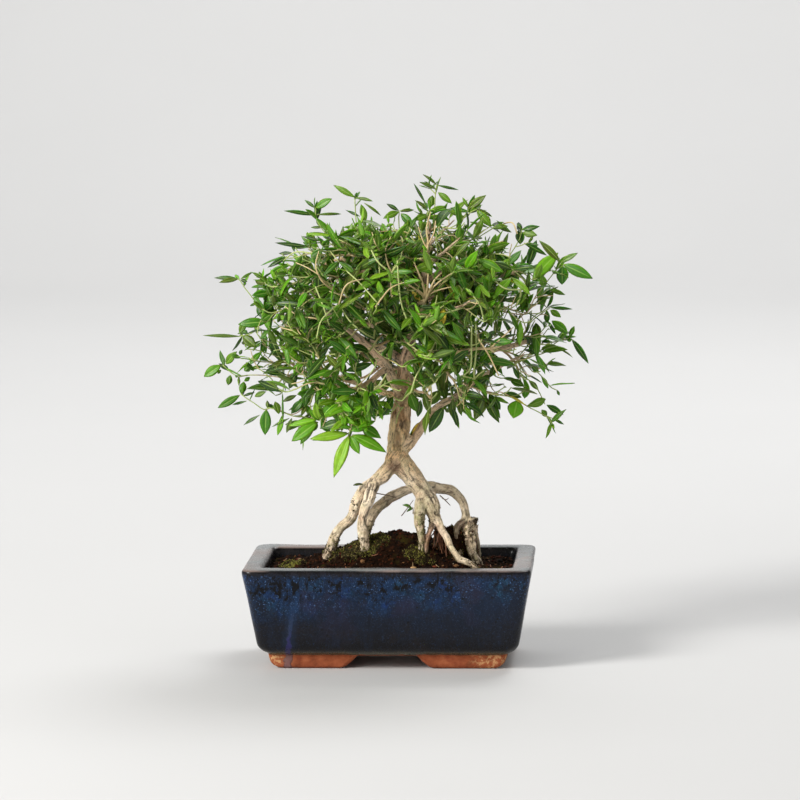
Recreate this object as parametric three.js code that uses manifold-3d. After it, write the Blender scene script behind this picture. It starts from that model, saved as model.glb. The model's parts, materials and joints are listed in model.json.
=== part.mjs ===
// A serissa bonsai in a glazed stoneware pot: exposed-root trunk with its limbs, leafy sprays, soil with moss, drain screens and the pot.
// Millimetres, +Z up. X runs along the pot's long side, Y to the back. Z = 0 is the surface that the feet stand on.
import * as THREE from "three";
import { mergeVertices } from "three/addons/utils/BufferGeometryUtils.js";
import Module from "manifold-3d";

// ---- driving dimensions ------------------------------------------------------------------------------------------
const POT_LENGTH = 201; // widest, a little under the rim
const POT_WIDTH = 117.2; // front to back, at the rim
const POT_HEIGHT = 72.7; // feet included
const RIM_BAR = 14; // width of the flat rim
const FOOT_HEIGHT = 9.8;
const FLOOR_TOP = 17.5; // inside of the pot's floor
const DRAIN_DIAMETER = 14;
const DRAIN_X = 50; // each side of the middle
const SCREEN_SIZE = 24; // mesh screen over each drain hole
const SCREEN_THICKNESS = 0.9;
const GAP = 0.3; // clearance between touching pieces
const SOIL_EDGE = 65.5; // height of the soil against the rim
const SOIL_MOUND = 26; // how much higher it is under the trunk
const SOIL_GRID = 8.2;
const LEAF_THICKNESS = 1.1;
const MIN_TWIG_RADIUS = 0.75;

const wasm = await Module();
wasm.setup();

// ---- solids ------------------------------------------------------------------------------------------------------
// positions: flat [x, y, z, ...]; faces: flat vertex indices
function solid(positions, faces) {
  return new wasm.Manifold(
    new wasm.Mesh({
      numProp: 3,
      vertProperties: new Float32Array(positions),
      triVerts: new Uint32Array(faces),
    }),
  );
}

// A three.js geometry as a solid, placed by a matrix.
function solidOfGeometry(geometry, matrix) {
  const g = geometry.index ? geometry.toNonIndexed() : geometry.clone();
  g.deleteAttribute("normal");
  g.deleteAttribute("uv");
  if (matrix) g.applyMatrix4(matrix);
  const m = mergeVertices(g, 1e-4);
  return solid(m.attributes.position.array, m.index.array);
}

function geometryOfSolid(s) {
  const m = s.getMesh();
  const n = m.numProp;
  const v = new Float32Array(m.numVert * 3);
  for (let i = 0; i < m.numVert; i++) v.set(m.vertProperties.subarray(i * n, i * n + 3), i * 3);
  const g = new THREE.BufferGeometry();
  g.setAttribute("position", new THREE.BufferAttribute(v, 3));
  g.setIndex(new THREE.BufferAttribute(new Uint32Array(m.triVerts), 1));
  g.computeVertexNormals();
  return g;
}

function joinAll(list) {
  let level = list.slice();
  while (level.length > 1) {
    const next = [];
    for (let i = 0; i < level.length; i += 2) next.push(i + 1 < level.length ? level[i].add(level[i + 1]) : level[i]);
    level = next;
  }
  return level[0];
}

// The largest of the bodies that a cut leaves.
function largest(s) {
  const parts = s.decompose();
  return parts.reduce((a, b) => (b.volume() > a.volume() ? b : a));
}

// Rings of equal vertex count, joined by quads and closed at both ends. Each ring is a list of Vector3, counter-clockwise seen from its end.
function loft(rings) {
  const n = rings[0].length;
  const p = [];
  const f = [];
  for (const ring of rings) for (const v of ring) p.push(v.x, v.y, v.z);
  for (let k = 0; k + 1 < rings.length; k++)
    for (let i = 0; i < n; i++) {
      const a = k * n + i;
      const b = k * n + ((i + 1) % n);
      f.push(a, b, b + n, a, b + n, a + n);
    }
  const last = (rings.length - 1) * n;
  for (let i = 1; i + 1 < n; i++) {
    f.push(0, i + 1, i);
    f.push(last, last + i, last + i + 1);
  }
  return solid(p, f);
}

// A rounded rectangle at height z, centred on (cx, cy).
function roundedRectangle(halfX, halfY, radius, z, steps = 3, cx = 0, cy = 0) {
  const out = [];
  const r = Math.min(radius, halfX - 0.01, halfY - 0.01);
  const corners = [
    [halfX - r, halfY - r, 0],
    [-(halfX - r), halfY - r, 1],
    [-(halfX - r), -(halfY - r), 2],
    [halfX - r, -(halfY - r), 3],
  ];
  for (const [x, y, q] of corners)
    for (let i = 0; i <= steps; i++) {
      const t = ((q + i / steps) * Math.PI) / 2;
      out.push(new THREE.Vector3(cx + x + r * Math.cos(t), cy + y + r * Math.sin(t), z));
    }
  return out;
}

// A closed tube through [x, y, z, radius] points. grow makes it fatter and longer, for cutting a clearance.
function tube(points, sides, grow = 0, least = 0) {
  const p = points.map((q) => new THREE.Vector3(q[0], q[1], q[2]));
  const r = points.map((q) => Math.max(q[3], least) + grow);
  const n = p.length;
  const tangent = [];
  for (let i = 0; i < n; i++) {
    const t = new THREE.Vector3();
    if (i > 0) t.add(p[i].clone().sub(p[i - 1]).normalize());
    if (i < n - 1) t.add(p[i + 1].clone().sub(p[i]).normalize());
    tangent.push(t.normalize());
  }
  if (grow > 0) {
    p[0].addScaledVector(tangent[0], -grow);
    p[n - 1].addScaledVector(tangent[n - 1], grow);
  }
  const t0 = tangent[0];
  let side = new THREE.Vector3(0, 0, 1).cross(t0);
  if (side.length() < 0.2) side = new THREE.Vector3(1, 0, 0).cross(t0);
  side.normalize();
  const rings = [];
  for (let i = 0; i < n; i++) {
    side.addScaledVector(tangent[i], -side.dot(tangent[i])).normalize();
    const other = tangent[i].clone().cross(side).normalize();
    const ring = [];
    for (let k = 0; k < sides; k++) {
      const a = (2 * Math.PI * k) / sides;
      ring.push(
        p[i]
          .clone()
          .addScaledVector(side, r[i] * Math.cos(a))
          .addScaledVector(other, r[i] * Math.sin(a)),
      );
    }
    rings.push(ring);
  }
  return loft(rings);
}

// ---- a small repeatable random source, so that every run gives the same plant ------------------------------------
function dice(seed) {
  let s = (seed * 7919 + 12345) % 2147483647;
  return () => {
    s = (s * 48271) % 2147483647;
    return s / 2147483647;
  };
}

// ---- the wood, measured: [x, y, z, radius] along the trunk, each root and each limb -------------------------------
const WOOD = {
  trunk: [[5.1, -2, 140.4, 8.6], [5.3, -1, 146.6, 8.2], [5.8, 0, 154.4, 7.9], [7, 0, 163.6, 7.5], [8.3, 1, 173.5, 6.9], [9.1, 1, 184.1, 6.1], [8.9, 2, 194, 5.3], [10.4, 2, 206.8, 4.5], [13.3, 3, 220.9, 4.1], [16.3, 3, 235, 3.7], [20, 2, 249.3, 3.2], [23.7, 1, 263.5, 2.7], [26, 0, 279.2, 2.3], [28.3, 0, 297.5, 1.8], [29.9, 0, 311.5, 1.3]],
  rootA: [[5.3, -3, 145.8, 7], [1.4, -6, 140.3, 5.8], [-3.4, -9, 134.8, 4.9], [-8.7, -11, 130.1, 4.6], [-12.7, -13, 126.3, 4.4]],
  rootA1: [[-10.6, -10, 128.6, 4], [-17.1, -8, 123.8, 4.3], [-21.2, -6, 118.5, 4.3], [-24.1, -4, 111.8, 4.1], [-26.1, -3, 104.8, 3.8], [-30.5, -3, 98.9, 3.7], [-35.8, -5, 94.6, 3.6], [-39.1, -7, 89.4, 3.7], [-41.3, -9, 82.9, 3.5], [-43.4, -11, 76.8, 3], [-45, -12, 70.6, 2.4], [-46.5, -12, 62.3, 1.6]],
  rootA2: [[-11.3, -13, 127.7, 4.2], [-13, -16, 121.3, 4.4], [-14.7, -18, 115.3, 4.2], [-17.4, -19, 109, 3.9], [-18.7, -20, 102.8, 3.6], [-18.4, -20, 96.5, 3.5], [-17.3, -20, 90.1, 3.8], [-17, -20, 83.7, 3.4], [-17.8, -18, 75.2, 2.4]],
  archL: [[-19.4, -8, 83.7, 3.4], [-18.2, -5, 90.5, 3.7], [-15.3, 0, 98.9, 3.8], [-11.4, 4, 105.6, 3.9], [-5.6, 6, 111.7, 3.8], [2.2, 6, 116.7, 3.6], [10.1, 4, 120.4, 3.5], [18.9, 1, 122.9, 3.6], [28, 0, 123.7, 3.7], [36.1, 1, 122.5, 3.8], [43.2, 3, 120.5, 3.8], [48.5, 4, 115.6, 3.7], [52.2, 2, 110, 3.5], [53.6, 0, 103.4, 3.5], [53.2, -2, 97.3, 4.6], [53.9, -4, 90.4, 5.2], [56.3, -8, 83.7, 4.2], [58.9, -11, 77.8, 3.2], [62.1, -14, 72.4, 2.4], [64.8, -15, 65.7, 1.6]],
  rootC: [[6.6, -1, 145.5, 7.2], [9.7, -2, 139.3, 7.2], [14.9, -4, 133.2, 6.8], [20.1, -7, 126.8, 6.7], [24.4, -9, 121.2, 6.8], [27.7, -12, 115.7, 6.2], [30.5, -15, 110.3, 4.9], [32.9, -18, 104.8, 3.7], [35.7, -21, 100.3, 2.6], [39.2, -25, 94.6, 2.5], [42.7, -28, 88.2, 2.4], [46.5, -32, 82.5, 2.5], [50.1, -34, 77.9, 2.4], [55.6, -37, 76.1, 2.3], [62.1, -40, 72.6, 2], [66.4, -41, 67.3, 1.4]],
  rootE: [[23.2, -12, 119.8, 4.8], [22.1, -17, 113.7, 4.4], [21.4, -21, 107.5, 4.2], [21.4, -22, 102.2, 3.9], [22.6, -23, 96.5, 2.9], [23.3, -24, 90.8, 2.2], [22.9, -24, 84.4, 1.9], [22.2, -24, 76.2, 1.5]],
  rootF: [[31.4, -15, 107.5, 3.4], [31, -17, 101.5, 2.8], [29.3, -20, 96.5, 2.2], [27.7, -23, 91.1, 1.9], [26.5, -24, 85.3, 1.5], [25.8, -24, 78.1, 1.2]],
  rootG: [[32.1, -12, 105.3, 3], [34.3, -12, 98, 3], [34.7, -12, 90.7, 2.8], [34.2, -12, 81.6, 2.4], [34.1, -12, 72.5, 1.8]],
  rootH: [[53.9, 2, 100.4, 3.2], [57.4, 5, 98.1, 2.4], [59.2, 8, 91.2, 1.9], [61.1, 10, 83.6, 1.8], [61.8, 11, 77, 1.5], [62.1, 11, 68.7, 1.2]],
  rootI: [[51.5, -5, 99.6, 2.8], [47.2, -9, 96.6, 2.4], [46.8, -11, 90.5, 2.2], [48.6, -12, 83.4, 2], [50.4, -13, 76.3, 1.6]],
  limbRL: [[10, 0, 150.8, 4.2], [22, 2.4, 165.1, 3.52], [33.4, 4, 179.8, 3.06], [49.5, 3.5, 189.5, 2.6], [64.3, 1.3, 201, 2.23], [79.9, -3.5, 210.5, 1.81], [95.6, -10, 218.6, 1.3]],
  limbRM: [[14, 3, 218, 3.2], [30.4, 10.9, 218.1, 2.92], [48.1, 14.6, 218.1, 2.69], [66, 12.9, 219.2, 2.53], [83.7, 9.5, 222.3, 2.17], [100.8, 6, 227.4, 1.5]],
  limbLF: [[9, 0, 190, 4.2], [0.6, -5.7, 206.3, 3.62], [-10.5, -9.1, 221.3, 3], [-24.4, -11, 234.5, 2.5], [-39.1, -13.1, 246.5, 1.82], [-55.4, -16, 256.3, 1.1]],
  limbLL: [[8, 4, 186.6, 2.8], [-8.1, 10.6, 190.8, 2.32], [-24.7, 14.3, 196, 2.06], [-41.5, 13.9, 202, 1.79], [-58.7, 9.7, 203.6, 1.44], [-75.7, 5, 200.9, 0.9]],
  limbFL: [[-0.3, -6, 209.2, 2.6], [-10.1, -23.5, 203.1, 2.04], [-19.6, -35.6, 189.3, 1.56], [-25, -40, 169.6, 1.2]],
  limbBL: [[11.1, 3, 212.3, 3.2], [1, 18.9, 216.6, 2.88], [-10.3, 34.2, 220.4, 2.5], [-21.9, 49.1, 224.2, 2.12], [-33.5, 64.4, 226.9, 1.65], [-44.5, 80, 230.1, 1.1]],
  limbBR: [[15.5, 4, 230.7, 3], [23.7, 19.9, 235.3, 2.7], [33.1, 35.2, 239.5, 2.34], [42.8, 50.6, 242.7, 1.98], [52, 66.3, 245.9, 1.52], [60.9, 82, 249.9, 1]],
  limbF1: [[14.3, 0, 224, 2.9], [8.8, -15.5, 230.1, 2.59], [3.3, -31.3, 235.1, 2.22], [-1.8, -47.4, 239.9, 1.86], [-6.3, -63.6, 244.5, 1.46], [-10, -80, 249.4, 1]],
  limbF2: [[17.2, 0, 238.9, 2.7], [25.9, -15.8, 244.7, 2.4], [35.2, -31.6, 249.5, 2.03], [44.6, -47.5, 253.8, 1.66], [53.8, -63.5, 258.1, 1.26], [61.4, -80, 263.6, 0.9]],
  limbU1: [[22.3, 1, 259.3, 2.5], [7.3, -6.7, 273.3, 2.26], [-10.4, -11.6, 285.6, 1.51], [-28.4, -14, 298.2, 1]],
  limbU2: [[24.5, 1, 267.1, 2.3], [41.1, 8.8, 278.9, 1.86], [60.3, 12, 288.8, 1.38], [80.6, 11, 297, 0.9]],
  limbU3: [[19.3, 2, 247.9, 2.4], [10.1, 16.9, 253.3, 2.08], [0.4, 31.2, 259.4, 1.79], [-8.8, 45.7, 265.7, 1.41], [-18.6, 60, 271.8, 1]],
  limbU4: [[26.1, 0, 279.1, 1.9], [35.4, -17.8, 287.8, 1.62], [44.9, -35.6, 296.4, 1.24], [53.6, -54, 304.6, 0.9]],
  limbU5: [[26.8, 0, 287.6, 1.7], [17.4, -17.6, 299.1, 1.36], [8.3, -36, 309.6, 0.9]],
  limbU6: [[27.5, 1, 293.2, 1.6], [35.9, 19.5, 301.7, 1.27], [44.8, 38, 309.9, 0.9]],
  limbRU: [[20.8, 2, 253.6, 2.6], [38, 1.2, 261.3, 2.28], [55.8, -1.9, 267.1, 1.91], [73.7, -5.4, 272.2, 1.56], [91.7, -8, 277.5, 1.1]],
  ext_b162: [[0.9, -8.8, 277.8, 1.87], [-6.7, -7.2, 278.2, 1.87], [-13.9, -4.8, 277.9, 1.87]],
  ext_b185: [[-11, -24.9, 202.2, 1.82], [-13.4, -30.5, 201.2, 1.82], [-15.4, -36.2, 200.5, 1.82], [-17.1, -41.9, 200.2, 1.7]],
};

// ---- the sprays: twigs as [x, y, z, radius] points, a number for each twig's end whose leaves follow the habit below, and single leaves as [base, tip, width]
const SPRAYS = {
  spray_top_front_left_1: {
    twigs: [
      [[-28.4, -14, 298.2, 0.57], [-38.7, -9.8, 302.8, 0.57], [-43.4, -4, 303.9, 0.42], [-50.4, -4, 321.9, 0.42]],
      [[-38.7, -9.8, 302.8, 0.57], [-41.8, -8.8, 306.9, 0.42]],
    ],
    tips: [-1, 145],
    leaves: [[-50.4, -4, 321.9, -58.3, 0, 327.5, 2.4], [-50.3, -4, 321.8, -38.4, -7, 328.8, 5.4], [-48.6, -4, 317.4, -72.3, -10, 320.7, 2.9]],
  },
  spray_top_front_left_2: {
    twigs: [
      [[-8.8, -11.3, 284.4, 0.57], [-18.4, 3.4, 294.8, 0.57], [-23, 3, 328, 0.42]],
      [[-18.4, 3.4, 294.8, 0.57], [-20.9, 5.4, 300, 0.42]],
    ],
    tips: [-1, 100],
    leaves: [[-23, 3, 328, -38.5, 7, 337.4, 4], [-23, 3, 328, -10.1, -1, 326.4, 2.5], [-20.7, 3.2, 311.5, -18.8, 3, 324.1, 4.7]],
  },
  spray_top_front: {
    twigs: [
      [[29.2, 0, 305.6, 0.42], [28.9, -4, 309, 0.42], [28.1, -4, 321.3, 0.42]],
    ],
    tips: [-1],
    leaves: [[28.1, -4, 321.3, 19.7, -6, 327.4, 2.4], [28.2, -4, 318.8, 41.3, -2, 323, 3.4], [28.4, -4, 316.8, 18.9, -8, 313.3, 5]],
  },
  spray_top_front_right_1: {
    twigs: [
      [[29.2, 0, 305.6, 0.57], [43.4, -3.7, 307.5, 0.57], [62.9, -2, 320.5, 0.42]],
    ],
    tips: [-1],
    leaves: [[62.7, -2, 320.3, 73.3, -5, 308.3, 5.6]],
  },
  spray_top_front_right_2: {
    twigs: [
      [[36.3, -19.4, 288.6, 0.68], [51, -22.3, 298.5, 0.68], [63.9, -6, 301.1, 0.42], [76.8, -6, 308.9, 0.42]],
      [[59.8, -8.9, 299.8, 0.57], [62.7, -6.9, 303.1, 0.42]],
      [[51, -22.3, 298.5, 0.68], [57.1, -20.6, 307.6, 0.42]],
    ],
    tips: [-1, 421, 420],
    leaves: [[74.1, -6, 307.3, 85.1, -6, 308.9, 3.6]],
  },
  spray_top_right: {
    twigs: [
      [[29.2, 0, 305.6, 0.42], [32.6, 0, 306.7, 0.42], [34.8, 0, 337.7, 0.42]],
    ],
    tips: [-1],
    leaves: [[34.8, 0, 337.7, 24.9, 3, 344.9, 2.2], [34.6, 0, 334.7, 22.8, -3, 339.9, 2.6], [34.4, 0, 332.4, 45.5, -3, 324.6, 4.2], [33.7, 0, 321.7, 31.7, 2, 330.2, 5.4]],
  },
  spray_top_back_right: {
    twigs: [
      [[32.2, 11.7, 298.1, 0.57], [50.9, 12.2, 304.4, 0.57], [49.6, 6, 305.1, 0.42], [56.6, 6, 319.4, 0.42]],
    ],
    tips: [-1],
    leaves: [[56.6, 6, 319.4, 69.4, 3, 330.1, 5.4], [56.6, 6, 319.4, 52.4, 8, 328.2, 2.4], [56.2, 6, 318.6, 43.6, 10, 320.7, 3], [54.1, 6, 314.2, 41.8, 6, 319, 2.6]],
  },
  spray_middle_left: {
    twigs: [
      [[-45, -14.2, 250.5, 0.77], [-68.7, -12.7, 236.9, 0.57], [-81.3, -14, 260, 0.42]],
      [[-68.7, -12.7, 236.9, 0.57], [-79.2, -11.1, 233.8, 0.42], [-83.4, -10.3, 236.2, 0.42]],
      [[-57.3, -13.8, 242.6, 0.77], [-66.4, -17.3, 233.3, 0.42], [-71, -17.9, 233.2, 0.42]],
    ],
    tips: [-1, 226, 151],
    leaves: [[-81.3, -14, 260, -84.8, -14, 268.6, 3.6], [-78.7, -13.7, 255.3, -86.4, -18, 249.6, 7.2], [-77.1, -13.6, 252.3, -69.9, -11, 256.1, 2.7], [-76.7, -13.5, 251.6, -89.1, -19, 243.5, 6.3]],
  },
  spray_upper_left: {
    twigs: [
      [[-13.9, -4.8, 277.9, 1.36], [-48, -5.4, 271.4, 0.85], [-68, 7.5, 254.5, 0.68], [-81.1, 5.8, 249.4, 0.57], [-90, 0, 250.6, 0.42], [-106, 0, 272.1, 0.42]],
      [[-27.6, -5.1, 273.2, 1.36], [-38.8, -21.4, 263.5, 0.77], [-44.6, -39.6, 250.7, 0.42], [-46.4, -44.4, 249, 0.42], [-48.3, -47.1, 251.9, 0.42]],
      [[-48, -5.4, 271.4, 0.85], [-57.6, -5, 277.1, 0.42]],
    ],
    tips: [-1, 223, 235],
    leaves: [[-106, 0, 272.1, -123.5, 3, 272.5, 2.9], [-105.8, 0, 271.9, -119.3, -4, 269.8, 3.3], [-104.8, 0, 270.6, -99.3, -2, 270.1, 2.5], [-93, 0, 254.6, -95.8, -8, 260.8, 6]],
  },
  spray_upper_front_left: {
    twigs: [
      [[-13.6, -12.2, 287.9, 0.92], [-24.9, -8.8, 289.1, 0.92], [-43.9, -12.7, 290, 0.68], [-54.4, -10, 284.7, 0.42], [-68.7, -10, 289.7, 0.42]],
      [[-37.7, -9.6, 289, 0.85], [-54.4, -8, 295.3, 0.42]],
      [[-24.9, -8.8, 289.1, 0.92], [-28.5, -7.9, 292, 0.42]],
    ],
    tips: [-1, -1, 37],
    leaves: [[-68.7, -10, 289.7, -84.1, -10, 280.8, 3.4], [-67.5, -10, 289.3, -80.4, -14, 271.9, 6.7], [-54.3, -8, 295.3, -79.1, -8, 298.1, 2.9], [-48.5, -8.6, 293.1, -60.2, -5, 302.3, 2.4], [-67.6, -10, 289.3, -76.6, -4, 290.1, 2.5]],
  },
  spray_middle_front: {
    twigs: [
      [[-1.8, -47.4, 239.9, 1.04], [-16.4, -52.8, 247.2, 0.77], [-24.6, -61.9, 244.2, 0.68], [-29.2, -71.8, 251.1, 0.42], [-33.8, -77.7, 261.1, 0.42]],
      [[-11.3, -51.7, 244.7, 1.04], [-24.4, -57, 235, 0.77], [-29.2, -65.6, 228.6, 0.68], [-30.7, -73.3, 215.7, 0.42], [-33.3, -75.7, 215.1, 0.42]],
      [[-24.4, -57, 235, 0.77], [-28.8, -58.4, 235.8, 0.42]],
    ],
    tips: [434, 156, 147],
    leaves: [],
  },
  spray_upper_front_right: {
    twigs: [
      [[22.3, 1.4, 258.2, 1.24], [41.2, -26, 265.9, 0.98], [81.5, -36.9, 253.9, 0.68], [99.4, -33.6, 265.7, 0.42]],
      [[37.1, -21.4, 264, 1.19], [35.3, -34.4, 264.4, 0.77], [44.7, -55.6, 276, 0.57], [36.9, -67.6, 277.6, 0.42], [34.8, -71.3, 281.3, 0.42]],
      [[28.9, -10.8, 260.9, 1.24], [33.9, -19.3, 265.6, 0.42]],
    ],
    tips: [378, 249, 124],
    leaves: [],
  },
  spray_middle_right_1: {
    twigs: [
      [[89.4, 8.4, 223.8, 0.77], [93.9, -4.4, 230.5, 0.77], [98.3, -10.5, 239, 0.57], [102.9, -5, 243.6, 0.42], [113.7, -5, 251, 0.42]],
      [[93.9, -4.4, 230.5, 0.77], [109.9, -28, 234.2, 0.42]],
      [[93.9, -4.4, 230.5, 0.77], [97.5, -7.7, 234.6, 0.42]],
    ],
    tips: [-1, 213, 93],
    leaves: [[113.7, -5, 251, 129.7, -5, 250.2, 2.4], [113.4, -5, 250.7, 121.7, -9, 244.9, 4.2], [111.7, -5, 249.6, 111.6, -2, 240.3, 4]],
  },
  spray_upper_right_1: {
    twigs: [
      [[58.5, -2.4, 267.9, 0.57], [81.1, -2.1, 248.2, 0.57], [94.4, -2.9, 246.5, 0.42], [121.5, -3, 282.3, 0.42]],
      [[81.1, -2.1, 248.2, 0.57], [83.6, -2.7, 250.7, 0.42]],
    ],
    tips: [-1, 303],
    leaves: [[121.5, -3, 282.3, 106.2, 1, 298.3, 4.8], [121.5, -3, 282.3, 133.8, -6, 289.9, 3.8], [121.5, -3, 282.3, 144.1, -8, 271.9, 7.4], [121.1, -3, 281.9, 122.3, 0, 267, 8], [116.6, -3, 275.9, 114.5, 0, 276.5, 3], [109, -2.9, 265.8, 108, -7, 275.4, 5]],
  },
  spray_middle_right_2: {
    twigs: [
      [[83.7, 9.6, 222.3, 0.57], [90.5, 10.8, 240.7, 0.57], [102.6, 4, 252.6, 0.42], [112.6, 4, 263.5, 0.42]],
      [[90.5, 10.8, 240.7, 0.57], [94, 11.8, 246.2, 0.42]],
    ],
    tips: [-1, 92],
    leaves: [[112.6, 4, 263.5, 124.6, 4, 259.4, 3.2], [109.2, 4, 259.8, 104.7, 1, 252.9, 6]],
  },
  spray_upper_right_2: {
    twigs: [
      [[42.7, 9.3, 279.9, 0.77], [57.4, 2.7, 277.7, 0.77], [82, 7.9, 275.4, 0.57], [86.2, 2, 288.5, 0.42], [94.1, 2, 305.2, 0.42]],
      [[82, 7.9, 275.4, 0.57], [94.2, 8.2, 275.2, 0.42], [98.4, 7.8, 278.9, 0.42]],
      [[57.4, 2.7, 277.7, 0.77], [59.7, -0.1, 280.4, 0.42]],
    ],
    tips: [-1, 118, 73],
    leaves: [[94.1, 2, 305.2, 90.7, 4, 310.2, 2.8], [94.1, 2, 305.2, 107, -1, 308.2, 3.8], [93.7, 2, 304.3, 105.3, -2, 301.9, 5.2], [90.1, 2, 296.8, 92.1, 5, 305.5, 6.2], [90.9, 2, 298.5, 111.8, 2, 287.4, 3.4]],
  },
  spray_upper_back_right: {
    twigs: [
      [[33, 5.8, 274, 1.04], [55.3, 20.9, 261, 1.04], [67.9, 20.7, 256, 0.77], [84, 27.8, 247.1, 0.68], [99.1, 29.1, 243.9, 0.42], [110.8, 28.8, 248, 0.42]],
      [[55.3, 20.9, 261, 1.04], [64.5, 30, 260.6, 0.57], [76.3, 48.6, 253.5, 0.42], [80.2, 49.5, 255.6, 0.42]],
      [[55.3, 20.9, 261, 1.04], [59, 24, 260.2, 0.42], [60.9, 26.2, 263.7, 0.42]],
    ],
    tips: [424, 417, 291],
    leaves: [],
  },
  spray_upper_back: {
    twigs: [
      [[24.6, 0.6, 269.9, 1.19], [14.4, 15, 276.3, 1.19], [14.8, 35.4, 280.6, 1.04], [35.5, 66, 274.2, 0.42], [38.7, 75.3, 277.5, 0.42]],
      [[14.8, 35.4, 280.6, 1.04], [9.9, 59.8, 285.2, 0.42], [7.4, 68.5, 291, 0.42]],
      [[14.4, 15, 276.3, 1.19], [10.9, 23.9, 282.1, 0.42]],
    ],
    tips: [364, 367, 336],
    leaves: [],
  },
  spray_middle_back: {
    twigs: [
      [[23.7, 19.9, 235.3, 1.04], [20.8, 32.9, 232.8, 1.04], [24.8, 44.5, 224.6, 0.68], [34.9, 58, 212.1, 0.42], [44.4, 66.9, 195.1, 0.42], [53.1, 71.3, 193.3, 0.42]],
      [[20.8, 32.9, 232.8, 1.04], [12.6, 50.9, 227.2, 0.85], [7.2, 65.1, 229.1, 0.77], [10.1, 83.6, 234.1, 0.42], [9.6, 88.1, 238.1, 0.42]],
      [[12.6, 50.9, 227.2, 0.85], [11.7, 57.9, 232.3, 0.42]],
    ],
    tips: [436, 426, 232],
    leaves: [],
  },
  spray_top_back_left: {
    twigs: [
      [[25.5, 0.2, 275.8, 0.98], [14.8, 1.9, 281.6, 0.98], [1.8, 16.6, 283.9, 0.57], [-4.4, 27, 285.8, 0.57], [-6.2, 47.2, 287.3, 0.42], [-6.7, 50.4, 291.4, 0.42]],
      [[14.8, 1.9, 281.6, 0.98], [9.4, 3.1, 283.9, 0.57], [8.2, 3.8, 289.1, 0.42], [7.8, 5, 319.2, 0.42]],
      [[9.4, 3.1, 283.9, 0.57], [7, 4.2, 288.2, 0.42]],
    ],
    tips: [338, -1, 175],
    leaves: [[7.8, 5, 319.2, -1.2, 7, 324.1, 2.8], [7.8, 5, 318.6, -3.2, 1, 314.1, 4.6], [7.8, 5, 319, 18.5, 8, 319.5, 2.4], [7.8, 4.9, 317.2, 18.1, 1, 308.6, 5.2]],
  },
  spray_upper_back_left: {
    twigs: [
      [[-13.9, -4.8, 277.9, 1.36], [-23.9, 5.2, 279.4, 1.36], [-32.5, 10.4, 284.8, 1.09], [-46.1, 17.2, 280.6, 1.04], [-58.7, 18.1, 284.8, 0.68], [-67.1, 17.7, 293.4, 0.42]],
      [[-23.9, 5.2, 279.4, 1.36], [-34.3, 29.5, 286.5, 0.77], [-37.3, 45.3, 287.6, 0.42]],
      [[-23.9, 5.2, 279.4, 1.36], [-25.6, 7.4, 283.1, 0.42]],
    ],
    tips: [320, 313, 106],
    leaves: [],
  },
  spray_middle_back_left: {
    twigs: [
      [[10.3, 2, 205.8, 1.09], [-5.8, 8.3, 208.9, 1.04], [-58.8, 19.5, 244.5, 0.68], [-70.5, 25, 246.9, 0.68], [-81.1, 44, 245.3, 0.42], [-84.6, 47.7, 248.7, 0.42]],
      [[-39.3, 13.6, 231.8, 0.98], [-50.1, 6.4, 232.5, 0.42]],
      [[-0.5, 7, 206.7, 1.09], [-5.9, 9.9, 207.7, 0.42]],
    ],
    tips: [433, 330, 84],
    leaves: [],
  },
  spray_lower_left_1: {
    twigs: [
      [[-75.7, 5, 200.9, 0.68], [-108.3, 4, 202.8, 0.42], [-118.2, 4, 210.5, 0.42]],
      [[-75.7, 5, 200.9, 0.68], [-80.5, 0.9, 195.7, 0.57], [-83, -4, 201.5, 0.42], [-94.7, -4, 209.7, 0.42]],
      [[-80.5, 0.9, 195.7, 0.57], [-85.6, -0.9, 193.4, 0.42]],
    ],
    tips: [-1, -1, 89],
    leaves: [[-118.2, 4, 210.5, -131.9, 4, 202, 6.5], [-117.1, 4, 209.6, -107.6, 0, 220.6, 5.4], [-111.3, 4, 205.2, -114.8, 4, 195.9, 4.2], [-101.9, 4.2, 202.5, -100.2, 4, 198.8, 4.5], [-94.7, -4, 209.7, -102.4, -4, 207, 5.4], [-94, -4, 209.3, -101, -4, 213.4, 3.1], [-83, -4, 201.5, -86.1, -4, 209.5, 2.9], [-83, -4, 201.5, -86.4, -4, 206.4, 2.9], [-75.7, 5, 200.9, -75.6, -4, 206.8, 2.4]],
  },
  spray_lower_left_2: {
    twigs: [
      [[-47.2, 12.5, 202.8, 0.92], [-52.9, 6.1, 192.2, 0.92], [-66.2, 1.3, 176.4, 0.42], [-89.2, 0, 179.2, 0.42], [-105.3, 0, 190.2, 0.42]],
      [[-52.9, 6.1, 192.2, 0.92], [-55.8, -6.4, 183.7, 0.68], [-56.4, -3, 174.1, 0.42], [-87.1, -3, 180.5, 0.42]],
      [[-55.8, -6.4, 183.7, 0.68], [-54.8, -10, 174.1, 0.42], [-66.6, -10, 175.9, 0.42]],
    ],
    tips: [-1, -1, -1],
    leaves: [[-105.3, 0, 190.2, -122, 0, 180.2, 5.1], [-105, 0, 189.9, -103.3, 3, 198.7, 5.1], [-97.7, 0, 185, -86.9, -3, 192.3, 3.6], [-86.9, -3, 180.5, -88.2, -3, 161.2, 7.6], [-89.2, 0, 179.2, -103.9, 0, 167.8, 2.4], [-86.2, -3, 180.3, -86.5, -1, 185.7, 2.5], [-81.8, -3, 179.4, -77.7, -7, 176.5, 4.7], [-76.6, -3, 178.3, -65.2, -3, 189.6, 3.4], [-74.1, -3, 177.8, -78.7, -10, 161.8, 3.8], [-66.6, -10, 175.9, -72.3, -10, 163.6, 3.3], [-55.8, -6.4, 183.7, -68.8, -10, 177.3, 5.6]],
  },
  spray_lower_left_3: {
    twigs: [
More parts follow.
